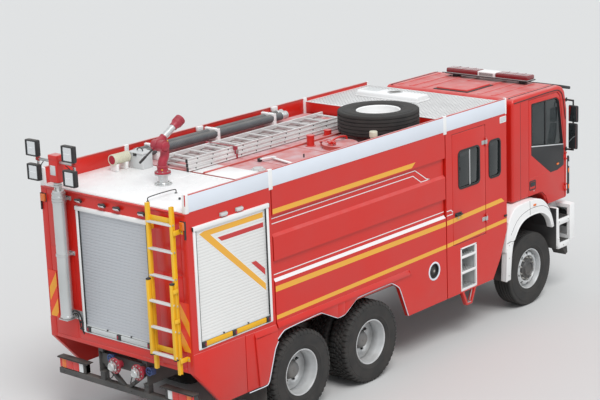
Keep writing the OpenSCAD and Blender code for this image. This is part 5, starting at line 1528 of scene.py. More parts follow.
def wing_plate(points, y_out, y_in, finish, soft=0.003, steps=2):
    """An outline round the front axle on the right side, between two distances from the middle."""
    return plate(wing_points(points), "Y", -y_out, -y_in, finish, soft, steps)


# %% The wing's outer panel
top_edge = flowing([(-0.77, 0.99), (-0.735, 1.25), (-0.69, 1.4), (-0.61, 1.53), (-0.52, 1.6),
    (-0.38, 1.628), (-0.16, 1.633), (0.06, 1.618), (0.23, 1.555), (0.37, 1.41), (0.465, 1.23),
    (0.505, 1.095)])
arch_edge = flowing([(0.428, 1.095), (0.35, 1.255), (0.2, 1.365), (0.02, 1.4), (-0.23, 1.384),
    (-0.41, 1.304), (-0.55, 1.13), (-0.6, 0.99)])
upper_panel = wing_plate(top_edge + arch_edge, 1.248, 1.16, white, 0.02, 4)
leg_edge = [(-0.752, 1.04), (-0.772, 0.7), (-0.782, 0.562), (-0.648, 0.562), (-0.64, 0.7),
    (-0.618, 0.9), (-0.588, 1.05), (-0.56, 1.12), (-0.6, 1.15), (-0.735, 1.12)]
leg = wing_plate(leg_edge, 1.252, 1.16, white, 0.012, 3)
leg_fold = wing_plate([(-0.782, 0.56), (-0.745, 0.56), (-0.715, 1.06), (-0.752, 1.06)], 1.262, 1.23,
    white, 0.01, 3)
return_lip = wing_plate(flowing([(0.448, 1.1), (0.366, 1.268), (0.208, 1.382), (0.02, 1.418),
    (-0.238, 1.402), (-0.424, 1.32), (-0.568, 1.14)])
    + flowing([(-0.552, 1.132), (-0.412, 1.304), (-0.232, 1.386), (0.02, 1.402), (0.202, 1.367),
    (0.352, 1.257), (0.432, 1.096)]), 1.2535, 1.2, white, 0.004, 2)
top_cover = wing_plate(flowing([(-0.7, 1.42), (-0.61, 1.535), (-0.52, 1.603), (-0.38, 1.631),
    (-0.16, 1.636), (0.06, 1.621)]) + flowing([(0.06, 1.605), (-0.16, 1.62), (-0.38, 1.615),
    (-0.51, 1.588), (-0.596, 1.524), (-0.686, 1.412)]), 1.235, 0.905, white, 0.004, 2)
done_both([upper_panel, leg, leg_fold, return_lip, top_cover], "front_wing", "root")
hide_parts("front_fenders")

# %% Seams, liner, brackets and screws of the wing
def wing_line(points, y, size, finish):
    """A thin strip on the wing's outer face."""
    return pipe([(at(wing_x + x), -y, z) for x, z in points], size, finish, 4)


arch_seam = wing_line([(0.49, 1.17), (0.4, 1.345), (0.24, 1.468), (0.02, 1.508), (-0.25, 1.494),
    (-0.47, 1.412), (-0.64, 1.23)], 1.2475, 0.0028, rubber)
cross_seam = wing_line([(-0.14, 1.405), (-0.145, 1.5), (-0.15, 1.632)], 1.2475, 0.0028, rubber)
leg_seam = wing_line([(-0.735, 1.128), (-0.66, 1.138), (-0.56, 1.118)], 1.2525, 0.003, rubber)
liner_out = flowing([(-0.64, 0.6), (-0.655, 0.9), (-0.6, 1.15), (-0.45, 1.345), (-0.27, 1.43),
    (0.0, 1.45), (0.22, 1.42), (0.4, 1.3), (0.5, 1.1)])
liner_in = flowing([(0.478, 1.092), (0.386, 1.284), (0.212, 1.4), (0.0, 1.43), (-0.264, 1.41),
    (-0.438, 1.328), (-0.58, 1.142), (-0.634, 0.9), (-0.618, 0.6)])
liner = wing_plate(liner_out + liner_in, 1.2, 0.898, black_plastic, 0.004, 2)
liner_ribs = [wing_plate(rectangle(x - 0.012, x + 0.012, z, z + 0.05), 1.19, 0.92, black_plastic,
    0.004) for x, z in ((-0.2, 1.428), (0.1, 1.43))]
bracket = wing_plate(rectangle(-0.06, 0.06, 1.436, 1.474), 0.905, 0.428, chassis, 0.006)
hanger = wing_plate(rectangle(-0.06, 0.06, 0.965, 1.44), 0.465, 0.427, chassis, 0.006)
mud_flap = slab(wing_x - 0.672, wing_x - 0.66, -1.15, -0.9, 0.52, 0.9, rubber, 0.004)
screws = [tube((at(wing_x + x), -1.25, z), (at(wing_x + x), -1.2555, z), 0.009, steel, 6, 0.0015)
    for x, z in ((-0.69, 1.09), (-0.62, 1.1), (0.455, 1.13), (-0.7, 0.64), (-0.69, 0.9))]
side_marker = wing_plate(rounded(-0.06, 0.01, 1.53, 1.562, 0.012, 4), 1.258, 1.244, lens_orange,
    0.005, 2)
done_both([arch_seam, cross_seam, leg_seam, liner, bracket, hanger, mud_flap, side_marker]
    + liner_ribs + screws, "front_wing_liner", "root")

# %% [markdown]
# ## Cab steps and front bumper
# Under each cab door a moulded step box holds two treads of dark punched metal. It is a hollow box
# with its wells cut out, and the treads are separate plates with real teeth. The bumper is a thick
# curved shell between the step boxes, with lamps let into it and a number plate that stays blank.

# %% Step boxes
def step_bar(x0, x1, y_out, y_in, z0, z1, finish, soft=0.004, steps=2):
    """A bar on the right side between two lengths and two distances from the middle."""
    return slab(x0, x1, -y_out, -y_in, z0, z1, finish, soft, steps)


box_x0, box_x1 = 7.741, 8.072
step_box = plate([(at(box_x0), 1.352), (at(box_x0), 0.76), (at(box_x0 + 0.045), 0.702),
    (at(box_x1), 0.702), (at(box_x1), 1.15), (at(box_x1 - 0.012), 1.352)], "Y", -1.236, -0.425,
    white, 0.016, 3)
lower_well = step_bar(7.8, 8.2, 1.4, 1.01, 0.798, 1.078, white, 0.02, 3)
upper_well = step_bar(7.778, 8.2, 1.4, 1.01, 1.168, 1.5, white, 0.02, 3)
hollow = step_bar(7.77, 8.04, 0.98, 0.4, 0.735, 1.32, white, 0)
step_box = cut(cut(step_box, [hollow]), [lower_well, upper_well])
step_ear = plate([(at(7.752), 0.745), (at(7.8), 0.745), (at(7.8), 0.86), (at(7.79), 0.892),
    (at(7.764), 0.9), (at(7.752), 0.88)], "Y", -1.246, -1.228, white, 0.006, 3)
lower_front = step_bar(7.79, 8.07, 1.244, 1.226, 0.712, 0.792, white, 0.006, 3)
upper_front = step_bar(7.76, 8.072, 1.244, 1.222, 1.1, 1.162, white, 0.008, 3)
step_screws = [tube((at(x), -1.243, z), (at(x), -1.249, z), 0.01, steel, 6, 0.0015)
    for x, z in ((7.776, 0.86), (7.9, 0.752), (7.79, 1.13), (8.03, 1.13))]
done_both([step_box, step_ear, lower_front, upper_front] + step_screws, "cab_step_box", "root")
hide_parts("cab_steps")


# %% Dark treads
def dark_tread(x0, x1, z):
    """A black tread plate with rows of raised teeth, on the right side."""
    base_plate = step_bar(x0, x1, 1.222, 1.014, z, z + 0.01, black_plastic, 0.003)
    tooth = step_bar(x0 + 0.014, x0 + 0.022, 1.212, 1.196, z + 0.009, z + 0.017, black_plastic,
        0.002, 1)
    teeth = row(row(tooth, int((x1 - x0 - 0.03) / 0.02), (0.02, 0, 0)), 7, (0, 0.028, 0))
    return [base_plate, teeth]


well_backs = [step_bar(7.806, 8.068, 1.016, 1.01, 0.8, 1.072, grey_paint, 0.002),
    step_bar(7.784, 8.068, 1.016, 1.01, 1.17, 1.345, grey_paint, 0.002)]
under_flap = plate([(at(7.93), 0.705), (at(8.066), 0.705), (at(8.09), 0.58), (at(8.03), 0.556)],
    "Y", -1.2, -0.98, rubber, 0.006)
arch_front = step_bar(7.727, 7.742, 1.222, 0.43, 0.72, 1.345, black_plastic, 0.004)
done_both([arch_front] + dark_tread(7.802, 8.068, 0.798) + dark_tread(7.78, 8.068, 1.168)
    + well_backs + [under_flap], "cab_step_treads", "root")

# %% Bumper shell
def bumper_solid(i, finish, low=0.79, high=1.335):
    """The bumper's solid, moved inwards by i."""
    outline = [(at(8.076 + i), low + i), (at(8.3 - i), low + i),
        (at(8.372 - i), low + 0.055 + i * 0.5), (at(8.4 - i), low + 0.14),
        (at(8.4 - i), high - 0.14), (at(8.384 - i), high - 0.03), (at(8.34 - i), high - i),
        (at(8.076 + i), high - i)]
    solid = plate(outline, "Y", -1.245 + i, 1.245 - i, finish, 0)
    bpy.ops.mesh.primitive_cylinder_add(vertices=256, radius=nose_radius - i, depth=1.0,
        location=(at(8.4 - nose_radius), 0, 1.06))
    return boolean(solid, place_in_mesh(bpy.context.object), "INTERSECT")


bumper = soften(bumper_solid(0, white), 0.03, 4, 30)
hollow = bumper_solid(0.05, white)
opened = slab(8.0, 8.14, -1.195, 1.195, 0.85, 1.28, white, 0)
lamp_holes = [slab(8.1, 8.6, y0, y1, 0.94, 1.215, white, 0.045, 4)
    for y0, y1 in ((-1.12, -0.7), (0.7, 1.12))]
grille_hole = slab(8.1, 8.6, -0.56, 0.56, 0.89, 1.04, white, 0.03, 4)
bumper = cut(cut(cut(bumper, [hollow]), [opened]), lamp_holes + [grille_hole])
done(bumper, "front_bumper_shell", "root", ["front_bumper"])

# %% Head lamps, lower grille and tow eye
def head_lamp(side):
    """A head lamp cluster: dark bowl, two reflectors with clear lenses, and an indicator."""
    y_in, y_out, lamp_height = side * 0.705, side * 1.115, 1.079
    face = at(8.29)
    bowl = bar((at(8.18), min(y_in, y_out), 0.945), (face, max(y_in, y_out), 1.21), black_plastic,
        0.02, 3)
    low_y, high_y = sorted((side * 0.722, side * 1.045))
    made = [cut(bowl, [bar((face - 0.045, low_y, 0.97), (face + 0.02, high_y, 1.188), black_plastic,
        0.016, 3)])]
    for y, radius in ((side * 0.81, 0.08), (side * 0.968, 0.068)):
        made.append(turned([(0.0, -0.03), (radius * 0.5, -0.024), (radius * 0.85, 0.0),
            (radius, 0.012), (radius + 0.006, 0.012), (radius + 0.004, -0.03), (0.0, -0.032)],
            (face - 0.014, y, lamp_height), "X", reflector, 40))
        made.append(turned([(0.0, 0.01), (radius * 0.3, 0.008), (radius * 0.34, -0.002),
            (0.0, -0.006)], (face - 0.022, y, lamp_height), "X", lens_clear, 32))
    made += [bar((face - 0.042, low_y + 0.01, 0.985), (face - 0.03, high_y - 0.01, 0.996),
        lens_clear)]
    edge_y = side * 1.08
    made.append(bar((face - 0.02, edge_y - 0.028, 0.965), (face + 0.002, edge_y + 0.028, 1.19),
        lens_orange, 0.012, 3))
    return made


lower_slats = [slab(8.305, 8.325, -0.55, 0.55, z, z + 0.018, black_plastic, 0.004)
    for z in (0.905, 0.938, 0.971, 1.004)]
backing = slab(8.285, 8.305, -0.56, 0.56, 0.888, 1.042, black_plastic, 0.004)
number_plate = slab(8.397, 8.404, -0.26, 0.26, 1.08, 1.19, film_white)
tow_block = slab(8.385, 8.432, -0.05, 0.05, 0.93, 0.97, steel, 0.006)
tow_ring = turned(arc(0.036, 0, 0.0155, 0, 352, 14), (at(8.435), 0, 0.95), "Z", steel, 40)
brackets = [step_bar(8.15, 8.345, 0.425, 0.365, 0.8, 0.998, chassis, 0.006)]
brackets.append(mirrored(brackets[0]))
lift_rings = [turned(arc(0.024, 0, 0.006, 0, 345, 10), (at(8.345), side * 1.05, 0.905), "Y", steel,
    32) for side in (-1, 1)]
done(head_lamp(-1) + head_lamp(1) + lower_slats + [backing, number_plate, tow_block, tow_ring]
    + brackets + lift_rings, "front_lamps_and_tow_eye", "root")

# %% Corner lamps of the cab
corner = [cab_plate([(1.46, 1.47), (1.505, 1.47), (1.505, 2.03), (1.49, 2.06), (1.46, 2.06)],
    -0.004, 0.012, black_plastic, 0.004)]
corner += [cab_plate(rounded(1.466, 1.5, z, z + 0.07, 0.01, 4), -0.01, 0.002, finish, 0.004)
    for z, finish in ((1.9, lens_clear), (1.8, lens_orange), (1.55, lens_orange))]
done_both(corner, "cab_corner_lamps", "cab")

# %% [markdown]
# ## Rear face
# The rear wall is folded sheet with upright corner posts that stand a few millimetres proud, thin
# seams beside them and a drip edge under the deck. Small lamps light the rear locker, and two
# striped boards and the marker lamps show the truck's width. The boards' bands are thin plates cut
# to the slope.

# %% Corner posts, seams and drip edge
def rear_bar(out0, out1, y0, y1, z0, z1, finish, soft=0.003, steps=2):
    """A bar on the rear face between two distances outwards, two widths and two heights."""
    return slab(-out1, -out0, y0, y1, z0, z1, finish, soft, steps)


def rear_plate(points, out0, out1, finish, soft=0.003, steps=2):
    """An outline of (Y, Z) on the rear face."""
    return plate(points, "X", at(-out1), at(-out0), finish, soft, steps)


posts = [rear_bar(-0.02, 0.006, -1.2495, -1.148, 1.102, 3.012, red, 0.005, 3),
    rear_bar(0.0, 0.003, -1.143, -0.74, 2.29, 3.008, red, 0.002),
    rear_bar(0.0, 0.003, -1.143, -0.74, 1.156, 2.284, red, 0.002)]
done_both(posts, "rear_corner_post", "root")
drip_edge = rear_bar(-0.02, 0.012, -1.246, 1.246, 3.012, 3.034, red, 0.006, 3)
low_edge = rear_bar(-0.01, 0.006, -1.146, 1.146, 1.104, 1.15, red, 0.004)
low_panel = rear_bar(0.0, 0.0035, -0.7, 0.7, 1.158, 1.232, red, 0.002)
done([drip_edge, low_edge, low_panel], "rear_drip_edge", "root")


# %% Locker lamps, marker lamps and striped boards
def tilted_lamp(y):
    """A small floodlight over the rear shutter, tipped down and to the side."""
    housing = rear_bar(-0.03, 0.0, -0.055, 0.055, -0.022, 0.022, black_plastic, 0.008, 3)
    glass_face = rear_bar(-0.004, 0.006, -0.047, 0.047, -0.016, 0.016, reflector, 0.004)
    lamp = joined([housing, glass_face])
    put = (Matrix.Translation((at(-0.042), y, 2.935)) @ Matrix.Rotation(math.radians(-38), 4, "Y")
        @ Matrix.Translation((-at(0), 0, 0)))
    foot = rear_bar(0.0, 0.022, y - 0.02, y + 0.02, 2.925, 2.965, black_plastic, 0.004)
    lamp.data.transform(put)
    return [lamp, foot]


locker_lamps = [part for y in (-0.547, -0.127, 0.127, 0.547) for part in tilted_lamp(y)]
done(locker_lamps, "rear_locker_lamps", "root")

marker = rear_bar(0.006, 0.036, -1.243, -1.16, 2.845, 2.94, lens_orange, 0.01, 3)
marker_base = rear_bar(0.0, 0.01, -1.247, -1.152, 2.838, 2.948, black_plastic, 0.004)
marker_arm = rear_bar(0.0, 0.03, -1.246, -1.232, 2.735, 2.95, black_plastic, 0.005)
done_both([marker, marker_base, marker_arm], "rear_marker_lamp", "root")

stripe_red = weathered("stripe_red", (0.8, 0.045, 0.01), 0.35, fade=0.95, dust=0.1, relief=0.01,
    up_dust_and_sheen_amount=0)
stripe_yellow = weathered("stripe_yellow", (0.86, 0.36, 0.02), 0.35, fade=0.95, dust=0.1,
    relief=0.01, up_dust_and_sheen_amount=0)
board = rear_bar(0.0066, 0.01, -1.222, -1.074, 1.365, 1.965, stripe_red, 0.001, 1)
bands = [rear_plate(points, 0.0095, 0.011, stripe_yellow, 0)
    for points in ([(-1.078, 1.95), (-1.218, 1.735), (-1.218, 1.56), (-1.078, 1.775)],
    [(-1.078, 1.61), (-1.218, 1.395), (-1.218, 1.368), (-1.12, 1.368), (-1.078, 1.432)])]
done_both([board] + bands, "rear_striped_board", "root")

# %% [markdown]
# ## Rear ladder
# The ladder is bolted to the wall. Its rails are yellow channels and its rungs are silver ribbed
# bars, two to a step. A shorter ladder slides down in front of it to reach the ground, and its
# rails carry black caps. Channels are bars with a groove cut into their outer side.

# %% Fixed ladder
ladder_y = -0.93
ladder_half = 0.215
rail_width = 0.042
rail_middles = [ladder_y + side * (ladder_half - rail_width / 2) for side in (-1, 1)]


def channel(x0, x1, y0, y1, z0, z1, groove):
    """A channel rail with its groove on the side towards groove, which is -1 or 1 along Y."""
    rail = bar((x0, y0, z0), (x1, y1, z1), yellow, 0.004)
    side = y1 if groove > 0 else y0
    return cut(rail,
        [bar((x0 + 0.007, side - 0.016, z0 - 0.02), (x1 - 0.007, side + 0.016, z1 + 0.02), yellow,
        0)])


def rung(x, z, gap=0.015):
    """Two ribbed silver bars side by side, from rail to rail."""
    y0, y1 = ladder_y - ladder_half + 0.014, ladder_y + ladder_half - 0.014
    made = []
    for shift in (-gap, gap):
        made.append(bar((x + shift - 0.012, y0, z - 0.013), (x + shift + 0.012, y1, z + 0.01),
            bright_metal))
        made += [bar((x + shift - 0.009 + i * 0.006, y0 + 0.005, z + 0.009),
            (x + shift - 0.006 + i * 0.006, y1 - 0.005, z + 0.0125), bright_metal, 0.001, 1)
            for i in range(3)]
    return made


def bolts(places, axis, out, size=0.009):
    """Hexagon bolt heads at (x, y, z) places, standing out along an axis by out."""
    return [tube(place, Vector(place) + axis_vector[axis] * out, size, steel, 6, 0.0015)
        for place in places]


rail_rear, rail_front = at(-0.13), at(-0.08)
ladder = []
for side, middle in zip((-1, 1), rail_middles):
    y0 = middle - rail_width / 2
    ladder.append(channel(rail_rear, rail_front, y0, y0 + rail_width, 1.11, 3.13, side))
ladder += [bar((rail_front - 0.014, ladder_y - ladder_half + 0.02, z0),
    (rail_front - 0.004, ladder_y + ladder_half - 0.02, z1), yellow)
    for z0, z1 in ((2.905, 2.985), (1.335, 1.405))]
for z in (1.25, 2.79):
    for side in (-1, 1):
        y = ladder_y + side * (ladder_half + 0.004)
        ladder.append(bar((rail_rear + 0.01, y - 0.004, z), (at(0.0), y + 0.004, z + 0.06), yellow))
        ladder.append(slab(-0.008, 0.0, min(y, y + side * 0.045), max(y, y + side * 0.045), z,
            z + 0.06, yellow))
done(ladder, "rear_ladder_rails", "root", ["rear_ladder"])
rung_heights = [1.3 + 0.322 * i for i in range(6)]
rungs = [part for z in rung_heights for part in rung(at(-0.105), z)]
rail_bolts = [bolt for y, out in ((ladder_y - ladder_half + 0.013, -0.008),
    (ladder_y + ladder_half - 0.013, 0.008))
    for bolt in bolts([(at(-0.105), y, z) for z in rung_heights], "Y", out)]
foot_bolts = bolts([(at(-0.008), ladder_y + side * (ladder_half + 0.03), z + 0.03)
    for side in (-1, 1) for z in (1.25, 2.79)], "X", -0.007)
done(rungs + rail_bolts + foot_bolts, "rear_ladder_rungs", "root")

# %% Sliding ladder
slide = []
for side, middle in zip((-1, 1), rail_middles):
    y0 = middle - rail_width / 2
    slide.append(channel(at(-0.184), at(-0.137), y0, y0 + rail_width, 1.302, 2.226, side))
    for z in (1.75, 2.11):
        y = ladder_y + side * 0.2205
        slide.append(slab(-0.176, -0.092, min(y - 0.005, y + 0.005), max(y - 0.005, y + 0.005), z,
            z + 0.05, yellow, 0.002))
done(slide, "ladder_slide_rails", "ladder_slide", ["ladder_slide"])
slide_rungs = [part for z in (1.33, 1.65, 1.97) for part in rung(at(-0.16), z, 0.011)]
caps = [slab(-0.187, -0.134, y - 0.023, y + 0.023, 2.212, 2.238, rubber, 0.01, 3)
    for y in rail_middles]
feet = [slab(-0.187, -0.134, y - 0.022, y + 0.022, 1.294, 1.312, rubber, 0.006)
    for y in rail_middles]
done(slide_rungs + caps + feet, "ladder_slide_rungs", "ladder_slide")

# %% [markdown]
# ## Light mast
# A pneumatic mast is a polished outer tube with a thinner one inside that air pushes up. Collars
# and a clamp join it to the wall, and its foot stands on a bracket with the black air and power
# lines. The head is a red box that carries four floodlights: black tapered housings with bright
# pyramid reflectors.

# %% Mast tube and its clamps
mast_x, mast_y, cross_z = at(-0.11), 0.8, 3.41
mast_wall = turned([(0.074, 1.452), (0.08, 1.452), (0.08, 3.0), (0.0835, 3.004), (0.0835, 3.028),
    (0.074, 3.028)], (mast_x, mast_y, 0), "Z", tube_metal)
rings = [turned([(0.08, z), (0.086, z + 0.002), (0.086, z + 0.02), (0.08, z + 0.022)],
    (mast_x, mast_y, 0), "Z", tube_metal) for z in (1.455, 2.9, 2.965)]
clamps = []
for z in (2.235, 2.93):
    clamps.append(turned(rectangle(0.08, 0.088, z, z + 0.03), (mast_x, mast_y, 0), "Z", aluminium))
    clamps += [slab(-0.045, 0.0, mast_y + side * 0.062 - 0.014, mast_y + side * 0.062 + 0.014, z,
        z + 0.03, aluminium) for side in (-1, 1)]
    clamps.append(slab(-0.006, 0.0, mast_y - 0.1, mast_y + 0.1, z - 0.012, z + 0.042, aluminium))
    clamps += bolts([(at(-0.006), mast_y + side * 0.088, z + 0.015) for side in (-1, 1)], "X",
        -0.008)
foot = [slab(-0.188, 0.0, mast_y - 0.08, mast_y + 0.08, 1.424, 1.436, aluminium),
    slab(-0.01, 0.0, mast_y - 0.19, mast_y + 0.095, 1.405, 1.52, aluminium),
    tube((mast_x, mast_y, 1.43), (mast_x, mast_y, 1.456), 0.066, aluminium, 40, 0.004)]
foot += bolts([(mast_x + a, mast_y + b, 1.436) for a in (-0.06, 0.06) for b in (-0.066, 0.066)],
    "Z", 0.008, 0.008)
done([mast_wall] + rings + clamps + foot, "mast_outer_tube", "root", ["mast_tube"])
cables = [pipe([(mast_x + 0.02, mast_y - 0.06, 1.5), (mast_x + 0.03, mast_y - 0.105, 1.545),
    (at(-0.04), mast_y - 0.15, 1.49), (at(-0.022), mast_y - 0.165, 1.38),
    (at(-0.012), mast_y - 0.16, 1.27), (at(0.004), mast_y - 0.16, 1.23)], 0.011, rubber, 8),
    pipe([(mast_x + 0.01, mast_y - 0.066, 1.47), (at(-0.06), mast_y - 0.1, 1.5),
    (at(-0.03), mast_y - 0.12, 1.4), (at(-0.012), mast_y - 0.125, 1.3),
    (at(0.004), mast_y - 0.125, 1.27)], 0.007, rubber, 8)]
cable_clips = [rear_bar(0.0, 0.02, mast_y - 0.18, mast_y - 0.105, z, z + 0.018, black_plastic,
    0.003) for z in (1.285, 1.37)]
done(cables + cable_clips, "mast_cables", "root")

# %% Mast stage and head box
stage = [turned([(0.0, 1.474), (0.0725, 1.474), (0.0725, 3.04), (0.069, 3.058), (0.044, 3.062),
    (0.04, 3.07), (0.04, 3.165), (0.0, 3.165)], (mast_x, mast_y, 0), "Z", tube_metal),
    turned(rectangle(0.04, 0.056, 3.105, 3.128), (mast_x, mast_y, 0), "Z", aluminium, 48),
    turned([(0.04, 3.132), (0.05, 3.134), (0.05, 3.154), (0.04, 3.156)], (mast_x, mast_y, 0), "Z",
    aluminium, 48)]
stage += [tube((mast_x + dx, mast_y + dy, 3.062), (mast_x + dx, mast_y + dy, 3.1), 0.009, steel, 6)
    for dx, dy in ((0.05, 0), (-0.05, 0), (0, 0.05), (0, -0.05))]
done(stage, "mast_inner_tube", "mast_stage", ["mast_stage"])
head = slab(-0.17, -0.05, 0.726, 0.874, 3.162, 3.5, red, 0.012, 3)
head = cut(head, [tube((mast_x, 0.6, cross_z), (mast_x, 1.0, cross_z), 0.0205, red, 32, 0)])
head_lid = slab(-0.173, -0.047, 0.7235, 0.8765, 3.44, 3.502, red, 0.01, 3)
head_lid = cut(head_lid, [tube((mast_x, 0.6, cross_z), (mast_x, 1.0, cross_z), 0.032, red, 32, 0)])
head_plate = slab(-0.1725, -0.169, 0.752, 0.848, 3.255, 3.375, grey_paint)
glands = [tube((at(-0.13 + 0.04 * i), 0.874, 3.215), (at(-0.13 + 0.04 * i), 0.892, 3.215), 0.011,
    black_plastic, 16, 0.003) for i in range(2)]
head_screws = bolts([(at(-0.1725), 0.762 + 0.076 * i, z) for i in range(2) for z in (3.268, 3.362)],
    "X", -0.003, 0.005)
done([head, head_lid, head_plate] + glands + head_screws, "mast_head_box", "mast_stage")


# %% Floodlights
def floodlight(y, z):
    """A square floodlight that looks back: a tapered housing, a frame and a pyramid reflector."""
    bpy.ops.mesh.primitive_cube_add(size=1, location=((at(-0.15) + at(-0.208)) / 2, y, z))
    housing = bpy.context.object
    housing.scale = (0.058, 0.2, 0.2)
    place_in_mesh(housing)
    only(housing)
    bpy.ops.object.mode_set(mode="EDIT")
    bpy.ops.mesh.select_all(action="DESELECT")
    for way, inset, move in ((1, 0.03, 0.021), (-1, 0.014, 0.006)):
        bpy.ops.object.mode_set(mode="OBJECT")
        for face in housing.data.polygons:
            face.select = face.normal.x * way > 0.5
        bpy.ops.object.mode_set(mode="EDIT")
        bpy.ops.mesh.inset(thickness=inset)
        bpy.ops.transform.translate(value=(move, 0, 0))
    bpy.ops.object.mode_set(mode="OBJECT")
    painted(soften(housing, 0.006, 2, 40), black_plastic)
    frame_out = slab(-0.22, -0.206, y - 0.099, y + 0.099, z - 0.099, z + 0.099, black_plastic,
        0.006)
    frame_out = cut(frame_out,
        [slab(-0.24, -0.19, y - 0.084, y + 0.084, z - 0.084, z + 0.084, black_plastic, 0)])
    bpy.ops.mesh.primitive_cone_add(vertices=4, radius1=0.12, radius2=0.03, depth=0.03,
        location=(0, 0, 0))
    pyramid = place_in_mesh(bpy.context.object)
    pyramid.data.transform(Matrix.Translation((at(-0.194), y, z))
        @ Matrix.Rotation(math.radians(90), 4, "Y") @ Matrix.Rotation(math.radians(45), 4, "Z"))
    painted(in_edit_mode(pyramid, bpy.ops.mesh.flip_normals), reflector)
    # The upper and left facets of the reflector take the darker copy: a painted reflection of dark
    # surroundings.
    pyramid.data.materials.append(reflector_painted_dark_reflection)
    for face in pyramid.data.polygons:
        if face.center.z > z + 0.01 or face.center.y > y + 0.01:
            face.material_index = 1
    bulb = tube((at(-0.212), y - 0.045, z), (at(-0.212), y + 0.045, z), 0.006, lens_clear, 12)
    ribs = [slab(-0.15, -0.128, y - 0.07 + 0.035 * i, y - 0.064 + 0.035 * i, z - 0.06, z + 0.06,
        black_plastic, 0.002) for i in range(5)]
    return [housing, frame_out, pyramid, bulb] + ribs


lamp_y, lamp_z = 0.325, 0.15
lamps = [part for side in (-1, 1) for level in (-1, 1) for part in floodlight(mast_y + side
    * lamp_y, cross_z + level * lamp_z)]
cross_bar = tube((mast_x, 0.475, cross_z), (mast_x, 1.125, cross_z), 0.018, aluminium, 24, 0.003)
arms = [bar((mast_x - 0.014, mast_y + side * lamp_y - 0.012, 3.24),
    (mast_x + 0.014, mast_y + side * lamp_y + 0.012, 3.58), aluminium, 0.005) for side in (-1, 1)]
arm_hubs = [tube((mast_x, mast_y + side * lamp_y - 0.024, cross_z),
    (mast_x, mast_y + side * lamp_y + 0.024, cross_z), 0.027, red, 24, 0.004) for side in (-1, 1)]
leads = [pipe([(at(-0.14), mast_y + side * 0.2, 3.395), (at(-0.125), mast_y + side * 0.255, 3.35),
    (at(-0.125), mast_y + side * 0.29, 3.3)], 0.006, rubber) for side in (-1, 1)]
done(lamps + [cross_bar] + arms + arm_hubs, "mast_floodlights", "mast_lamps",
    ["mast_lamps"])
done(leads, "mast_lamp_leads", "mast_lamps")

# %% [markdown]
# ## Pump inlets and rear bumper
# Two suction inlets look out under the rear wall. Each is a red bolted flange with a silver cap
# that has lugs for a spanner and hangs on a black strap, and a blue valve wheel sits behind it. The
# bumper below is a plain black beam that carries the tail lamps, whose lenses are separate coloured
# blocks.

# %% Inlets
def inlet(y):
    """One capped suction inlet."""
    z = 0.945
    centre = (at(0), y, z)
    flange = turned([(0.05, -0.049), (0.064, -0.051), (0.068, -0.049), (0.0985, -0.049),
        (0.1, -0.047), (0.1, -0.03), (0.0985, -0.028), (0.068, -0.028), (0.056, -0.02),
        (0.052, 0.06), (0.0, 0.06), (0.0, -0.045), (0.05, -0.045)], centre, "X", valve_red, 56)
    heads = ring(joined(bolts([(at(-0.048), y, z + 0.083)], "X", -0.012, 0.0095)), 10, "X", centre)
    cap = turned([(0.0, -0.108), (0.03, -0.112), (0.034, -0.116), (0.04, -0.116), (0.044, -0.11),
        (0.054, -0.106), (0.0565, -0.098), (0.0565, -0.078), (0.06, -0.076), (0.06, -0.062),
        (0.056, -0.054), (0.0, -0.054)], centre, "X", tube_metal, 56)
    lug = slab(-0.096, -0.068, y - 0.014, y + 0.014, z + 0.05, z + 0.078, tube_metal, 0.006)
    lugs = ring(lug, 3, "X", centre)
    return [flange, heads, cap, lugs]


done(inlet(0.08) + inlet(-0.32), "pump_inlet_caps", "root", ["pump_inlets"])


def valve_wheel(y, z):
    """A blue hand wheel with spokes on a short spindle."""
    rim_part = turned(arc(0.048, 0.02, 0.008, 0, 330, 7), (at(0), y, z), "X", valve_blue, 32)
    spokes = [slab(0.014, 0.024, y - 0.004, y + 0.004, z - 0.045, z + 0.045, valve_blue, 0.002),
        slab(0.014, 0.024, y - 0.045, y + 0.045, z - 0.004, z + 0.004, valve_blue, 0.002)]
    return [rim_part, tube((at(0.01), y, z), (at(0.09), y, z), 0.012, valve_blue, 16),
        slab(0.05, 0.11, y - 0.035, y + 0.035, z - 0.05, z + 0.04, valve_blue, 0.01, 3)] + spokes


straps = [pipe([(at(-0.06), y + 0.05, 0.915), (at(-0.085), y + 0.07, 0.85),
    (at(-0.07), y + 0.08, 0.775), (at(-0.04), y + 0.055, 0.79), (at(-0.02), y + 0.06, 0.86)], 0.007,
    rubber) for y in (0.08, -0.32)]
done(valve_wheel(0.215, 0.995) + valve_wheel(-0.455, 0.965), "pump_valve_wheels", "root")
done(straps, "inlet_straps", "root")

# %% Bumper beam, hangers and V bracket
bumper_black = weathered("bumper_black", (0.022, 0.023, 0.025), 0.55, fade=1.2, dust=0.32,
    dust_top=1.2)
beam = slab(0.02, 0.11, -1.19, 1.19, 0.6, 0.675, bumper_black, 0.008, 3)
beam = cut(beam, [slab(0.028, 0.102, -1.16, 1.16, 0.56, 0.667, bumper_black, 0)])
hanger_y = 0.385
hangers = [slab(0.024, 0.106, side * hanger_y - 0.04, side * hanger_y + 0.04, 0.668, 0.78,
    bumper_black, 0.005) for side in (-1, 1)]
brace = [plate([(side * 0.362, 0.88), (side * 0.29, 0.88), (side * 0.02, 0.675),
    (side * 0.092, 0.675)], "X", at(0.042), at(0.098), bumper_black, 0.005) for side in (-1, 1)]
beam_bolts = bolts([(at(0.024), side * hanger_y + dy, z) for side in (-1, 1)
    for dy in (-0.022, 0.022) for z in (0.695, 0.75)], "X", -0.008)
beam_bolts += bolts([(at(0.02), side * y, 0.638) for side in (-1, 1) for y in (0.12, 0.62, 1.1)],
    "X", -0.008)
for bolt in beam_bolts:
    painted(bolt, bumper_black)
done([beam] + hangers + brace + beam_bolts, "rear_bumper_beam", "root",
    ["rear_bumper"])

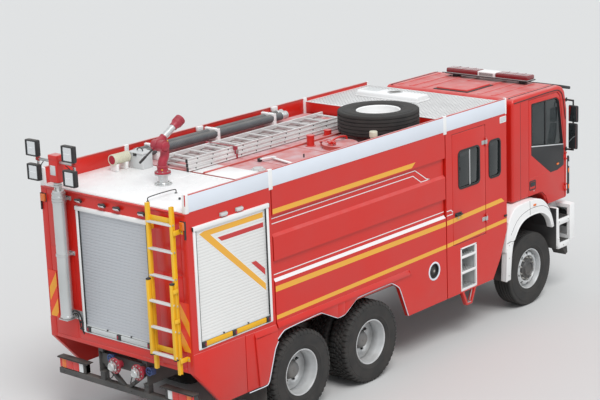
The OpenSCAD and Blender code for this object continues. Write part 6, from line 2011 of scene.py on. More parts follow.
# %% Tail lamps
housing = slab(0.036, 0.11, -1.18, -0.7, 0.678, 0.818, black_plastic, 0.008, 3)
lenses = [slab(0.026, 0.04, -outer, -inner, 0.684, 0.812, finish, 0.006, 3)
    for outer, inner, finish in ((1.177, 1.14, lens_tail), (1.138, 1.062, lens_orange),
    (1.06, 0.932, lens_tail), (0.93, 0.822, lens_tail), (0.82, 0.746, lens_clear))]
end_block = slab(0.028, 0.11, -0.743, -0.7, 0.68, 0.816, black_plastic, 0.006)
shelf = slab(0.004, 0.112, -1.196, -0.64, 0.818, 0.828, rubber)
shelf_lip = slab(0.004, 0.01, -1.196, -0.64, 0.808, 0.826, rubber, 0.002)
lens_screws = bolts([(at(0.027), -y, z) for y in (1.13, 0.936, 0.815) for z in (0.696, 0.8)], "X",
    -0.003, 0.005)
done_both([housing, end_block, shelf, shelf_lip] + lenses + lens_screws, "tail_lamp", "root")

# %% [markdown]
# ## Roof edges and decks
# The roof's edge is a red folded sheet with a pale film on its outer face and white caps over its
# joints. The rear deck is bright sheet with a raised border. The deck over the crew is tread plate:
# rows of small raised bars turned half a right angle each way, repeated with arrays, and painted a
# darker grey as painted shade for their relief.

# %% Parapets
runs = ((0.0, 1.43), (1.45, 4.94), (4.96, 6.4))
sheets, bands = [], []
for x0, x1 in runs:
    sheets.append(side_plate(rectangle(x0, x1, 3.04, 3.247), -0.02, -0.002, red, 0.002))
    sheets.append(side_plate(rectangle(x0, x1, 3.243, 3.257), -0.026, 0.0, pale_red, 0.005, 3))
    bands.append(side_plate(rectangle(x0 + 0.002, x1 - 0.002, 3.046, 3.245), -0.003, 0.0005, band,
        0.001))
done_both(sheets, "parapet_sheet", "root")
done_both(bands, "parapet_film", "root")
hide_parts("parapets")
joints = [side_plate(rectangle(x0, x1, 3.01, 3.262), -0.032, 0.005, white, 0.006, 3)
    for x0, x1 in ((1.405, 1.475), (4.915, 4.985))]
joints.append(side_plate([(-0.004, 3.034), (0.052, 3.034), (0.046, 3.262), (0.006, 3.262)], -0.06,
    0.005, white, 0.008, 3))
joints.append(side_plate(rectangle(6.372, 6.404, 3.03, 3.262), -0.034, 0.005, white, 0.006, 3))
rivets = [tube((at(x), -half_width - 0.005, z), (at(x), -half_width - 0.0075, z), 0.006, white, 12,
    0.001) for x in (1.422, 1.458, 4.932, 4.968) for z in (3.035, 3.24)]
done_both(joints + rivets, "parapet_joint_caps", "root")

# %% Rear deck and its locker
deck_sheet = slab(0.004, 1.43, -1.229, 1.229, 3.036, 3.05, white, 0.004)
borders = [slab(0.006, 0.04, -1.222, 1.222, 3.048, 3.056, white),
    slab(1.38, 1.428, -1.222, 1.222, 3.048, 3.055, white)]
ridges = row(slab(0.16, 0.164, -1.15, 1.15, 3.049, 3.0515, white, 0.0008, 1), 24, (0.05, 0, 0))
cross_seam = slab(0.04, 1.38, -0.004, 0.004, 3.048, 3.053, white, 0.001)
deck_locker = slab(1.202, 1.383, 0.692, 0.948, 3.048, 3.235, grey_paint, 0.008, 3)
locker_lid = slab(1.199, 1.386, 0.689, 0.951, 3.236, 3.264, grey_paint, 0.008, 3)
latch = slab(1.191, 1.2, 0.79, 0.85, 3.215, 3.25, black_plastic)
lid_grip = pipe([(at(1.29), 0.77, 3.262), (at(1.29), 0.775, 3.285), (at(1.29), 0.865, 3.285),
    (at(1.29), 0.87, 3.262)], 0.007, black_plastic)
done([deck_sheet, ridges, cross_seam, deck_locker, locker_lid, latch, lid_grip] + borders,
    "rear_deck_sheet", "root", ["rear_deck"])
rail = pipe([(at(0.13), -0.5, 3.052), (at(0.13), -0.5, 3.088), (at(0.145), -0.5, 3.098),
    (at(0.58), -0.5, 3.098), (at(0.595), -0.5, 3.088), (at(0.595), -0.5, 3.052)], 0.006, rubber)
rail_feet = [tube((at(x), -0.5, 3.05), (at(x), -0.5, 3.056), 0.018, rubber, 16)
    for x in (0.13, 0.595)]
knob = tube((at(0.405), -0.75, 3.05), (at(0.405), -0.75, 3.074), 0.014, rubber, 16, 0.003)
done([rail, knob] + rail_feet, "rear_deck_rail", "root")

# %% Crew deck of tread plate with its roof unit
deck_low, deck_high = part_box("crew_deck")
plate_z = 3.21
crew_body = bar((deck_low[0] + 0.002, -1.2275, 3.04),
    (deck_high[0] - 0.002, 1.2275, plate_z - 0.006), red, 0.006, 3)
crew_sheet = bar((deck_low[0], -1.2278, plate_z - 0.008), (deck_high[0], 1.2278, plate_z),
    tread_white, 0.002)
# The raised marks get the darker tread_mark_painted_shade grey, painted shade for their relief.
mark = bar((deck_low[0] + 0.026, -1.192, plate_z - 0.001),
    (deck_low[0] + 0.066, -1.182, plate_z + 0.004), tread_mark_painted_shade, 0.001, 1)
other = copy_of(mark)
for lozenge, angle, shift in ((mark, 45, 0.0), (other, -45, 0.03)):
    middle = Vector((deck_low[0] + 0.046, -1.187, 0))
    lozenge.data.transform(Matrix.Translation(middle + Vector((shift, 0, 0)))
        @ Matrix.Rotation(math.radians(angle), 4, "Z") @ Matrix.Translation(-middle))
pattern = row(row(joined([mark, other]), 23, (0.06, 0, 0)), 40, (0, 0.06, 0))
done([crew_sheet, crew_body, pattern], "crew_deck_tread_plate", "root",
    ["crew_deck"])
unit_base = slab(5.64, 5.96, -0.262, 0.862, plate_z, plate_z + 0.022, white, 0.006)
unit = plate([(at(5.652), plate_z + 0.018), (at(5.948), plate_z + 0.018),
    (at(5.94), plate_z + 0.066), (at(5.905), plate_z + 0.088), (at(5.695), plate_z + 0.088),
    (at(5.66), plate_z + 0.066)], "Y", -0.25, 0.85, white, 0.014, 4)
louvres = row(slab(5.7, 5.9, 0.5, 0.51, plate_z + 0.086, plate_z + 0.091, grey_paint, 0.002), 14,
    (0, 0.022, 0))
vent_ring = turned([(0.082, plate_z + 0.086), (0.112, plate_z + 0.086), (0.11, plate_z + 0.094),
    (0.086, plate_z + 0.096)], (at(5.8), 0.25, 0), "Z", aluminium, 56)
vent_grid = [slab(5.722, 5.878, 0.25 + dy - 0.003, 0.25 + dy + 0.003, plate_z + 0.086,
    plate_z + 0.092, steel, 0.001) for dy in (-0.05, -0.025, 0.0, 0.025, 0.05)]
vent_dark = tube((at(5.8), 0.25, plate_z + 0.08), (at(5.8), 0.25, plate_z + 0.0885), 0.083,
    black_plastic, 48, 0.001)
done([unit_base, unit, louvres, vent_ring, vent_dark] + vent_grid, "crew_roof_unit", "root")

# %% [markdown]
# ## Tank roof
# The tank's top shows between the edges: bleached red sheet with welded seams, and on it the hinged
# manhole lid, two filler stubs, a vent, a folded stay and a cream cap. The lid rides on its own
# body, so its handle and clamp are modelled with it.

# %% Seams and small fittings on the tank
roof_z = 3.05
seams = [bar((at(x) - 0.006, -1.188, roof_z - 0.002), (at(x) + 0.006, 1.188, roof_z + 0.0045),
    pale_red, 0.002) for x in (2.33, 3.19, 4.06)]
seams += [slab(1.472, 4.918, y - 0.01, y + 0.01, roof_z - 0.002, roof_z + 0.006, pale_red)
    for y in (-0.09, -1.15, 0.72)]
seams += [slab(1.472, 4.918, -0.125, -0.1, roof_z, roof_z + 0.024, pale_red, 0.004)]
stub_places = ((3.345, -0.25, 0.15), (3.955, -0.03, 0.08))
stubs = [turned([(0.0, roof_z - 0.002), (0.051, roof_z - 0.002), (0.051, roof_z + height - 0.02),
    (0.055, roof_z + height - 0.018), (0.055, roof_z + height - 0.004), (0.051, roof_z + height),
    (0.0, roof_z + height)], (at(x), y, 0), "Z", red, 40) for x, y, height in stub_places]
stub_feet = [turned([(0.0, roof_z - 0.002), (0.07, roof_z - 0.002), (0.07, roof_z + 0.008),
    (0.0, roof_z + 0.01)], (at(x), y, 0), "Z", red, 40) for x, y, _ in stub_places]
done(seams + stubs + stub_feet, "tank_roof_seams", "root")
white_patch = slab(1.474, 1.905, -0.64, 0.085, roof_z - 0.001, roof_z + 0.006, white)
vent_x, vent_y = at(1.99), -0.55
vent = [turned([(0.0, roof_z), (0.095, roof_z), (0.095, roof_z + 0.008), (0.07, roof_z + 0.01),
    (0.066, roof_z + 0.03), (0.046, roof_z + 0.034), (0.042, roof_z + 0.02), (0.0, roof_z + 0.018)],
    (vent_x, vent_y, 0), "Z", grey_paint, 48)]
vent.append(ring(joined(bolts([(vent_x, vent_y + 0.081, roof_z + 0.008)], "Z", 0.006, 0.007)), 8,
    "Z", (vent_x, vent_y, 0)))
stay = [slab(2.29, 2.345, -0.3, -0.262, roof_z + 0.006, roof_z + 0.052, black_plastic, 0.004),
    plate([(at(2.3), -0.285), (at(2.52), -0.345), (at(2.52), -0.385), (at(2.3), -0.325)], "Z",
    roof_z + 0.036, roof_z + 0.048, white, 0.003),
    plate([(at(2.47), -0.34), (at(2.52), -0.34), (at(2.4), -0.83), (at(2.36), -0.82)], "Z",
    roof_z + 0.02, roof_z + 0.034, white, 0.003), slab(2.355, 2.41, -0.85, -0.79, roof_z,
    roof_z + 0.036, grey_paint, 0.004)]
cream_cap = turned([(0.0, roof_z), (0.058, roof_z), (0.058, roof_z + 0.01), (0.04, roof_z + 0.012),
    (0.04, roof_z + 0.19), (0.053, roof_z + 0.194), (0.053, roof_z + 0.256),
    (0.047, roof_z + 0.264), (0.0, roof_z + 0.264)], (at(3.55), -1.145, 0), "Z", cream, 40)
side_boxes = [bar((at(x) - 0.055, 1.18, 3.196), (at(x) + 0.055, 1.226, 3.262), white, 0.008, 3)
    for x in (2.76, 4.26)]
post = tube((at(2.81), -0.594, roof_z), (at(2.81), -0.594, roof_z + 0.045), 0.01, rubber, 12)
done([white_patch, cream_cap, post] + vent + stay + side_boxes, "tank_roof_fittings", "root")

# %% Manhole lid
lid_low, lid_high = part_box("tank_lid")
lid_x = (lid_low[0] + lid_high[0]) / 2
lid_y = lid_low[1] + 0.238
lid_disc = turned([(0.0, 3.096), (0.2375, 3.096), (0.2375, 3.106), (0.233, 3.1095), (0.206, 3.1095),
    (0.199, 3.106), (0.14, 3.106), (0.132, 3.1095), (0.0, 3.111)], (lid_x, lid_y, 0), "Z", pale_red,
    72)
hinge_z = 3.103
lid_arm = [bar((lid_x + x - 0.018, lid_y + 0.12, 3.107), (lid_x + x + 0.018, lid_high[1] - 0.006,
    3.1125), red, 0.002) for x in (-0.06, 0.06)]
lid_barrel = tube((lid_x - 0.09, lid_high[1] - 0.008, hinge_z), (lid_x + 0.09, lid_high[1] - 0.008,
    hinge_z), 0.008, red, 20, 0.001)
handle = pipe([(lid_x - 0.08, lid_y + 0.06, 3.108), (lid_x - 0.072, lid_y + 0.06, 3.142),
    (lid_x - 0.04, lid_y + 0.06, 3.157), (lid_x + 0.17, lid_y + 0.06, 3.157),
    (lid_x + 0.208, lid_y + 0.06, 3.142), (lid_x + 0.216, lid_y + 0.06, 3.108)], 0.013, red, 8)
clamp = [bar((lid_x - 0.205, lid_y - 0.04, 3.1085), (lid_x - 0.12, lid_y + 0.04, 3.12), red),
    tube((lid_x - 0.165, lid_y, 3.114), (lid_x - 0.165, lid_y, 3.166), 0.02, red, 20, 0.004),
    bar((lid_x - 0.178, lid_y - 0.07, 3.134), (lid_x - 0.152, lid_y + 0.07, 3.158), red, 0.006, 3),
    bar((lid_x - 0.225, lid_y - 0.012, 3.134), (lid_x - 0.105, lid_y + 0.012, 3.158), red, 0.006,
    3)]
done([lid_disc, lid_barrel, handle] + lid_arm + clamp, "manhole_lid", "tank_lid",
    ["tank_lid"])

# %% [markdown]
# ## Roof ladder, hoses and spare wheel
# A three-part aluminium ladder lies on feet. Each rail is an extrusion with a groove, bolts show at
# each rung, and the ends have black caps. Suction hoses lie beside it: ribbed rubber, made by
# spinning one long ribbed outline, held in white clamps. The spare wheel uses the same road tyre,
# laid flat.

# %% Roof ladder
roof_low, roof_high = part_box("roof_ladder")
layer_z, layer_step, layer_in, rung_step = 3.06, 0.048, 0.026, 0.28
sections = []
for i in range(3):
    z0 = layer_z + layer_step * i
    low_y, high_y = roof_low[1] + layer_in * i, roof_high[1] - layer_in * i
    for side in (0, 1):
        y0 = low_y if side == 0 else high_y - 0.028
        outer, inner = (y0, y0 + 0.028) if side == 0 else (y0 + 0.028, y0)
        lean = 0.005 if side == 0 else -0.005
        outline = [(outer, z0 + 0.001), (outer, z0 + 0.012), (outer + lean, z0 + 0.016),
            (outer + lean, z0 + 0.034), (outer, z0 + 0.038), (outer, z0 + 0.049),
            (inner, z0 + 0.049), (inner, z0 + 0.001)]
        sections.append(plate(outline, "X", roof_low[0] + 0.01 + 0.02 * i, roof_high[0] - 0.002,
            bright_metal, 0.0015, 1))
    first = roof_low[0] + 0.13 + 0.045 * i
    rung_bar = bar((first, low_y + 0.01, z0 + 0.012), (first + 0.03, high_y - 0.01, z0 + 0.036),
        bright_metal, 0.005)
    sections.append(row(rung_bar, 11, (rung_step, 0, 0)))
done(sections, "roof_ladder_sections", "root", ["roof_ladder"])
small = []
for i in range(3):
    z0 = layer_z + layer_step * i
    low_y, high_y = roof_low[1] + layer_in * i, roof_high[1] - layer_in * i
    x = roof_low[0] + 0.145 + 0.045 * i
    dot = tube((x, low_y + 0.006, z0 + 0.025), (x, low_y + 0.001, z0 + 0.025), 0.009, black_plastic,
        10, 0.001)
    small.append(row(dot, 11, (rung_step, 0, 0)))
    small += [bar((roof_low[0] + 0.02 * i, y - 0.016, z0 - 0.001), (roof_low[0] + 0.014 + 0.02 * i,
        y + 0.016, z0 + 0.051), rubber, 0.005) for y in (low_y + 0.014, high_y - 0.014)]
small += [bar((roof_low[0] + x, y, 3.05), (roof_low[0] + x + 0.06, y + 0.028, 3.062), rubber)
    for x in (0.15, 2.9) for y in (roof_low[1], roof_high[1] - 0.028)]
strap_x = at(2.28)
strap = [bar((strap_x, roof_low[1] - 0.004, 3.052), (strap_x + 0.028, roof_low[1] + 0.05, 3.212),
    valve_red, 0.002), bar((strap_x, roof_low[1] + 0.046, 3.208),
    (strap_x + 0.028, roof_high[1] - 0.046, 3.212), valve_red, 0.001),
    bar((strap_x, roof_high[1] - 0.05, 3.052), (strap_x + 0.028, roof_high[1] + 0.004, 3.212),
    valve_red, 0.002), bar((strap_x - 0.008, roof_low[1] - 0.01, 3.12),
    (strap_x + 0.036, roof_low[1] - 0.002, 3.17), steel)]
done(small + strap, "roof_ladder_caps_and_strap", "root")

# %% Suction hoses
def ribbed(x0, x1, radius, pitch, depth, finish, y, z, steps=28):
    """A ribbed tube along the truck: one long outline spun round its axis."""
    count = int((x1 - x0 - 0.02) / pitch)
    start = x0 + (x1 - x0 - count * pitch) / 2
    outline = [(0.0, x0), (radius, x0), (radius, start)]
    for i in range(count):
        a = start + i * pitch
        outline += [(radius, a + pitch * 0.1), (radius - depth, a + pitch * 0.35),
            (radius - depth, a + pitch * 0.65), (radius, a + pitch * 0.9)]
    outline += [(radius, x1), (0.0, x1)]
    return turned(outline, (at(0), y, z), "X", finish, steps)


hose_z = 3.175
hoses = []
for y, end in ((1.09, 4.29), (0.968, 4.24)):
    hoses.append(ribbed(1.52, end - 0.11, 0.0545, 0.028, 0.0045, hose, y, hose_z))
    for x0, x1 in ((1.452, 1.525), (end - 0.115, end)):
        hoses.append(turned([(0.0, x0), (0.053, x0), (0.056, x0 + 0.004), (0.056, x0 + 0.022),
            (0.047, x0 + 0.026), (0.047, x1 - 0.026), (0.056, x1 - 0.022), (0.056, x1 - 0.004),
            (0.053, x1), (0.0, x1)], (at(0), y, hose_z), "X", tube_metal, 40))
done(hoses, "suction_hoses_ribbed", "root", ["suction_hoses"])
holders = []
for x in (1.7, 2.825, 3.95):
    holders += [bar((at(x) - 0.028, 0.907, 3.052), (at(x) + 0.028, 1.151, 3.15), white, 0.006),
        bar((at(x) - 0.028, 0.907, 3.205), (at(x) + 0.028, 1.151, 3.249), white, 0.01, 3),
        bar((at(x) - 0.024, 1.141, 3.14), (at(x) + 0.024, 1.152, 3.215), white),
        bar((at(x) - 0.024, 0.906, 3.14), (at(x) + 0.024, 0.914, 3.215), white)]
    holders += bolts([(at(x), y, 3.248) for y in (0.92, 1.029, 1.138)], "Z", 0.01, 0.009)
strainer_y, strainer_z = 0.95, 3.2
strainer = [ribbed(0.94, 1.19, 0.069, 0.03, 0.011, cream, strainer_y, strainer_z, 40),
    turned([(0.0, 0.926), (0.056, 0.926), (0.059, 0.921), (0.069, 0.921), (0.07, 0.928),
    (0.07, 0.946), (0.0, 0.946)], (at(0), strainer_y, strainer_z), "X", cream, 40),
    tube((at(0.922), strainer_y, strainer_z), (at(0.93), strainer_y, strainer_z), 0.056, valve_red,
    40)]
strainer_feet = [bar((at(x) - 0.018, 0.89, 3.052), (at(x) + 0.018, 1.01, 3.145), white, 0.005)
    for x in (0.965, 1.125)]
done(holders + strainer + strainer_feet, "hose_clamps_and_strainer", "root")

# %% Spare wheel
spare_low, spare_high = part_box("spare_wheel")
spare_centre = Vector(((spare_low[0] + spare_high[0]) / 2, (spare_low[1] + spare_high[1]) / 2,
    spare_high[2] - tyre_half))
lay_flat = Matrix.Translation(spare_centre) @ Matrix.Rotation(math.radians(-90), 4, "X")
spare_tyre = copy_of(road_tyre, turn=lay_flat)
spare_rim = turned([(0.296, 0.13), (0.3, 0.127), (0.3, 0.114), (0.2868, 0.113), (0.2868, -0.113),
    (0.3, -0.114), (0.3, -0.127), (0.296, -0.13), (0.279, -0.118), (0.276, -0.03), (0.21, -0.01),
    (0.14, -0.012), (0.14, 0.006), (0.212, 0.008), (0.264, -0.008), (0.274, 0.06), (0.279, 0.118)],
    spare_centre, "Z", white, 80)
spare_rim = cut(spare_rim,
    [ring(tube(spare_centre + Vector((0.232, 0, -0.06)), spare_centre + Vector((0.232, 0, 0.05)),
    0.02, white, 20, 0), 10, "Z", spare_centre)])
spare_base = [bar((spare_centre[0] - 0.26, spare_centre[1] - 0.26, 3.05),
    (spare_centre[0] + 0.26, spare_centre[1] + 0.26, 3.112), red, 0.006),
    tube(spare_centre + Vector((0, 0, -0.12)), spare_centre + Vector((0, 0, 0.035)), 0.016, steel,
    16), bar(spare_centre + Vector((-0.15, -0.025, 0.008)),
    spare_centre + Vector((0.15, 0.025, 0.02)), steel, 0.004),
    tube(spare_centre + Vector((0, 0, 0.018)), spare_centre + Vector((0, 0, 0.036)), 0.03, steel, 6,
    0.003)]
done([spare_tyre, spare_rim] + spare_base, "spare_wheel_flat", "root",
    ["spare_wheel"])

# %% [markdown]
# ## Monitor
# The water monitor stands on a silver pipe with a bolted foot. Its red body bends out and back so
# that it can swing over the deck, and the barrel tips on a cross joint at its top. The bends are
# pipes swept through a few points, and the barrel is an outline spun about an axis and then tilted
# into place.

# %% Monitor foot and body
mx, my, pivot_z = at(0.82), -0.06, 3.53
foot_part = turned([(0.0, 3.05), (0.108, 3.05), (0.11, 3.052), (0.11, 3.061), (0.107, 3.064),
    (0.066, 3.066), (0.0585, 3.075), (0.0585, 3.16), (0.068, 3.168), (0.098, 3.17), (0.1, 3.172),
    (0.1, 3.189), (0.0, 3.189)], (mx, my, 0), "Z", tube_metal)
foot_bolts = ring(joined(bolts([(mx, my + 0.092, 3.063)], "Z", 0.01, 0.009)), 8, "Z", (mx, my, 0))
done([foot_part, foot_bolts], "monitor_foot", "root", ["monitor_base"])
body_flange = turned([(0.0, 3.191), (0.098, 3.191), (0.1, 3.193), (0.1, 3.21), (0.097, 3.214),
    (0.072, 3.216), (0.066, 3.226), (0.064, 3.262), (0.07, 3.266), (0.07, 3.282), (0.064, 3.286),
    (0.0, 3.286)], (mx, my, 0), "Z", valve_red)
flange_bolts = ring(joined(bolts([(mx, my + 0.086, 3.213)], "Z", 0.011, 0.008)), 8, "Z",
    (mx, my, 0))
bend = pipe([(mx, my, 3.27), (mx + 0.006, my - 0.002, 3.33), (mx + 0.036, my - 0.008, 3.39),
    (mx + 0.04, my - 0.014, 3.46), (mx + 0.01, my - 0.02, 3.525)], 0.056, valve_red, 20)
elbow = tube((mx, -0.133, pivot_z), (mx, -0.027, pivot_z), 0.069, valve_red, 48, 0.01)
elbow_cap = turned([(0.0, -0.158), (0.03, -0.156), (0.052, -0.146), (0.06, -0.13), (0.0, -0.13)],
    (mx, 0.0, pivot_z), "Y", valve_red, 48)
joint_rings = [turned([(0.066, y), (0.0745, y + 0.002), (0.0745, y + 0.01), (0.066, y + 0.012)],
    (mx, 0.0, pivot_z), "Y", valve_red, 48) for y in (-0.132, -0.04)]
nipples = [tube((mx + 0.04, -0.12, 3.575), (mx + 0.052, -0.126, 3.596), 0.01, yellow, 6),
    tube((mx - 0.05, my - 0.044, 3.245), (mx - 0.058, my - 0.052, 3.245), 0.01, yellow, 6)]
done([body_flange, flange_bolts, bend, elbow, elbow_cap] + joint_rings + nipples, "monitor_bend",
    "monitor_body", ["monitor_body"])

# %% Monitor barrel and lever
tilt = Matrix.Translation((mx, 0.022, pivot_z)) @ Matrix.Rotation(math.radians(-29), 4, "Y")
barrel = [turned([(0.0, 0.03), (0.054, 0.03), (0.05, 0.1), (0.045, 0.125), (0.05, 0.13),
    (0.05, 0.148), (0.0, 0.148)], (0, 0, 0), "X", valve_red, 48),
    turned([(0.0, 0.146), (0.043, 0.146), (0.043, 0.2), (0.045, 0.202), (0.045, 0.212),
    (0.043, 0.214), (0.043, 0.262), (0.045, 0.264), (0.045, 0.274), (0.043, 0.276), (0.043, 0.338),
    (0.0, 0.338)], (0, 0, 0), "X", tube_metal, 48),
    turned([(0.0, 0.336), (0.05, 0.336), (0.052, 0.344), (0.052, 0.372), (0.059, 0.384),
    (0.062, 0.4), (0.0655, 0.404), (0.0655, 0.43), (0.0625, 0.434), (0.0625, 0.458),
    (0.0655, 0.462), (0.0655, 0.496), (0.059, 0.499), (0.052, 0.47), (0.03, 0.44), (0.0, 0.44)],
    (0, 0, 0), "X", valve_red, 48)]
grips = ring(bar((0.405, -0.004, 0.062), (0.494, 0.004, 0.0685), valve_red, 0.002), 20, "X")
lever = [tube((-0.06, 0, -0.004), (-0.33, 0, -0.004), 0.012, black_plastic, 16, 0.003),
    tube((-0.215, 0, -0.004), (-0.338, 0, -0.004), 0.0155, rubber, 20, 0.006),
    bar((-0.085, -0.016, -0.024), (-0.04, 0.016, 0.016), valve_red, 0.006)]
for piece in barrel + [grips] + lever:
    piece.data.transform(tilt)
joint_drum = tube((mx, -0.023, pivot_z), (mx, 0.068, pivot_z), 0.069, valve_red, 48, 0.01)
drum_cap = turned([(0.0, 0.086), (0.026, 0.084), (0.046, 0.076), (0.054, 0.066), (0.0, 0.066)],
    (mx, 0.0, pivot_z), "Y", valve_red, 48)
done(barrel + [grips, joint_drum, drum_cap] + lever, "monitor_nozzle", "monitor_barrel",
    ["monitor_barrel"])

# %% [markdown]
# ## Seats
# The seats are foam under woven cloth, so each cushion is blown up with a short cloth simulation: a
# slightly small closed form is remeshed evenly, air pressure swells it, and each point may only
# move a little. The seams come afterwards, as soft dents, because the remesh would lose them. Where
# a cushion rests on its base it stays flat.

# %% Swelling a cushion
def swollen(form, floor_z, cap=0.016, voxel=0.012):
    """Swells a closed form with air pressure, and keeps what is at its foot flat."""
    only(form)
    form.data.remesh_voxel_size = voxel
    bpy.ops.object.voxel_remesh()
    start = [v.co.copy() for v in form.data.vertices]
    cloth = form.modifiers.new("cloth", "CLOTH")
    cloth.settings.use_pressure = True
    cloth.settings.uniform_pressure_force = 4.0
    cloth.settings.effector_weights.gravity = 0.0
    cloth.settings.tension_stiffness = 20
    cloth.settings.bending_stiffness = 1.0
    for step in range(1, 17):
        bpy.context.scene.frame_set(step)
    apply_modifiers(form)
    bpy.context.scene.frame_set(1)
    for vertex, old in zip(form.data.vertices, start):
        moved = vertex.co - old
        if moved.length > cap:
            vertex.co = old + moved * (cap / moved.length)
        vertex.co.z = max(vertex.co.z, floor_z)
    finer = form.modifiers.new("finer", "SUBSURF")
    finer.levels = finer.render_levels = 1
    apply_modifiers(form)
    return form


def dented(form, seams, depth=0.009, width=0.011):
    """Presses soft seams in: each is (axis number, position)."""
    normals = [v.normal.copy() for v in form.data.vertices]
    for vertex, normal in zip(form.data.vertices, normals):
        push = max((math.exp(-((vertex.co[axis] - place) / width) ** 2) for axis, place in seams),
            default=0)
        vertex.co -= normal * depth * push
    return form


def cushion(form, name, body, seams, floor_z, replaces=()):
    """A finished padded piece in seat cloth."""
    made = dented(swollen(form, floor_z), seams)
    smooth = made.modifiers.new("smooth", "SMOOTH")
    smooth.factor = 0.5
    smooth.iterations = 2
    apply_modifiers(made)
    done(made, name, body, replaces, angle=80)
    return made


# %% Cab seats
def shrunk_bar(low, high, by=0.012, soft=0.03):
    """A bar that starts a little small, so that it can swell to its size."""
    return bar([v + by for v in low], [v - by for v in high], seat_cloth, soft, 3)


seat_y = 0.56
for side, label in ((-1, "right"), (1, "left")):
    y = seat_y * side
    base = shrunk_bar((cab_x0 + 0.3, y - 0.25, 1.886), (cab_x0 + 0.78, y + 0.25, 2.034))
    cushion(base, "cab_seat_cushion_" + label, "cab",
        [(1, y - 0.15), (1, y + 0.15), (0, cab_x0 + 0.44)], 1.892)
    back_points = [(0.304, 2.04), (0.396, 2.04), (0.292, 2.752), (0.214, 2.752)]
    back = plate(cab_points(back_points), "Y", y - 0.226, y + 0.226, seat_cloth, 0.03, 3)
    cushion(back, "cab_seat_back_" + label, "cab", [(1, y - 0.14), (1, y + 0.14), (2, 2.24),
        (2, 2.54)], 2.024, ["cab_seats"] if side == -1 else ())
seat_bases = []
for y in (-seat_y, seat_y):
    seat_bases += [cab_slab(0.36, 0.7, y - 0.19, y + 0.19, 1.702, 1.86, black_plastic, 0.02, 3),
        cab_slab(0.32, 0.74, y - 0.22, y + 0.22, 1.856, 1.89, black_plastic, 0.008),
        tube((cab_x0 + 0.33, y - 0.25, 2.01), (cab_x0 + 0.33, y - 0.232, 2.01), 0.03, black_plastic,
        24, 0.004), cab_slab(0.585, 0.615, y + 0.236, y + 0.252, 1.9, 2.06, black_plastic, 0.005),
        cab_slab(0.58, 0.62, y + 0.232, y + 0.256, 2.05, 2.085, lens_red, 0.005)]
    seat_bases += [tube((cab_x0 + 0.415, y + side * 0.215, 1.95), (cab_x0 + 0.3, y + side * 0.226,
        2.6), 0.01, rubber, 8) for side in (-1, 1)]
done(seat_bases, "cab_seat_bases", "cab")

# %% Floor mat and lining of the cab
mat_points = [(0.06, 1.696), (0.735, 1.696), (0.835, 1.657), (0.905, 1.557), (0.962, 1.477),
    (1.48, 1.477), (1.48, 1.486), (0.968, 1.486), (0.912, 1.566), (0.842, 1.666), (0.74, 1.705),
    (0.06, 1.705)]
mat = plate(cab_points(mat_points), "Y", -1.088, 1.088, rubber, 0.002)
mat_ribs = row(cab_slab(0.08, 0.29, -1.08, -1.068, 1.704, 1.708, rubber, 0.001, 1), 83,
    (0, 0.026, 0))
linings = [cab_slab(0.056, 0.066, -1.08, 1.08, 1.72, 3.06, grey_paint, 0.004),
    cab_slab(0.08, 1.12, -1.06, 1.06, 3.098, 3.108, grey_paint, 0.004)]
done([mat, mat_ribs] + linings, "cab_mat_and_lining", "cab")

# %% Crew bench
bench_low, bench_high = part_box("crew_bench")
bench_top = 1.83
pad = shrunk_bar((bench_low[0] + 0.004, bench_low[1], 1.69),
    (bench_high[0], bench_high[1], bench_top + 0.004))
cushion(pad, "crew_bench_cushion", "root", [(1, -0.465), (1, 0.0), (1, 0.465),
    (0, bench_high[0] - 0.09)], 1.702, ["crew_bench"])
rest = shrunk_bar((bench_low[0], bench_low[1], bench_top + 0.01),
    (bench_low[0] + 0.112, bench_high[1], 2.552))
cushion(rest, "crew_bench_back", "root", [(1, -0.465), (1, 0.0), (1, 0.465), (2, 2.3)],
    bench_top + 0.006)
bench_box = [bar((bench_low[0] + 0.002, bench_low[1] + 0.004, 1.402),
    (bench_high[0] - 0.03, bench_high[1] - 0.004, 1.7), grey_paint, 0.01, 3)]
drawers = (-0.6975, -0.2325, 0.2325, 0.6975)
bench_box += [bar((bench_high[0] - 0.036, y - 0.2, 1.43), (bench_high[0] - 0.024, y + 0.2, 1.67),
    grey_paint, 0.006) for y in drawers]
bench_box += [bar((bench_high[0] - 0.026, y - 0.05, 1.62), (bench_high[0] - 0.014, y + 0.05, 1.645),
    black_plastic, 0.005) for y in drawers]
done(bench_box, "crew_bench_box", "root")

# %% [markdown]
# ## Dashboard, engine and running gear
# With a door open or the cab tipped one looks at the dashboard and the engine. The dashboard keeps
# the frame's own shape and gets its hood, gauges, switches and vents. The engine is built up as a
# real one is: a ribbed crankcase, heads with covers, manifolds, filters, a fan and a radiator in
# front.

# %% Dashboard details
dash_x = cab_x0 + 1.16
hood = plate([(dash_x - 0.01, 2.08), (dash_x + 0.09, 2.205), (dash_x + 0.15, 2.205),
    (dash_x + 0.15, 2.19), (dash_x + 0.098, 2.19), (dash_x + 0.006, 2.072)], "Y", 0.33, 0.79,
    black_plastic, 0.006, 3)
gauges = []
for y, r in ((0.47, 0.055), (0.64, 0.055), (0.555, 0.03)):
    centre = (dash_x + 0.02, y, 2.105)
    dial = turned([(0.0, -0.004), (r, -0.004), (r, 0.004), (r - 0.004, 0.006), (r - 0.006, 0.0),
        (0.0, 0.0)], (0, 0, 0), "X", tube_metal, 32)
    glass_disc = turned(rectangle(0.0, r - 0.005, -0.003, 0.001), (0, 0, 0), "X", dark_glass, 32)
    for part in (dial, glass_disc):
        part.data.transform(Matrix.Translation(centre) @ Matrix.Rotation(math.radians(128), 4, "Y")
            @ Matrix.Scale(-1, 4, (1, 0, 0)))
        part.data.flip_normals()
        gauges.append(part)
slope = (2.06 - 1.7) / -0.04
panel_parts = []
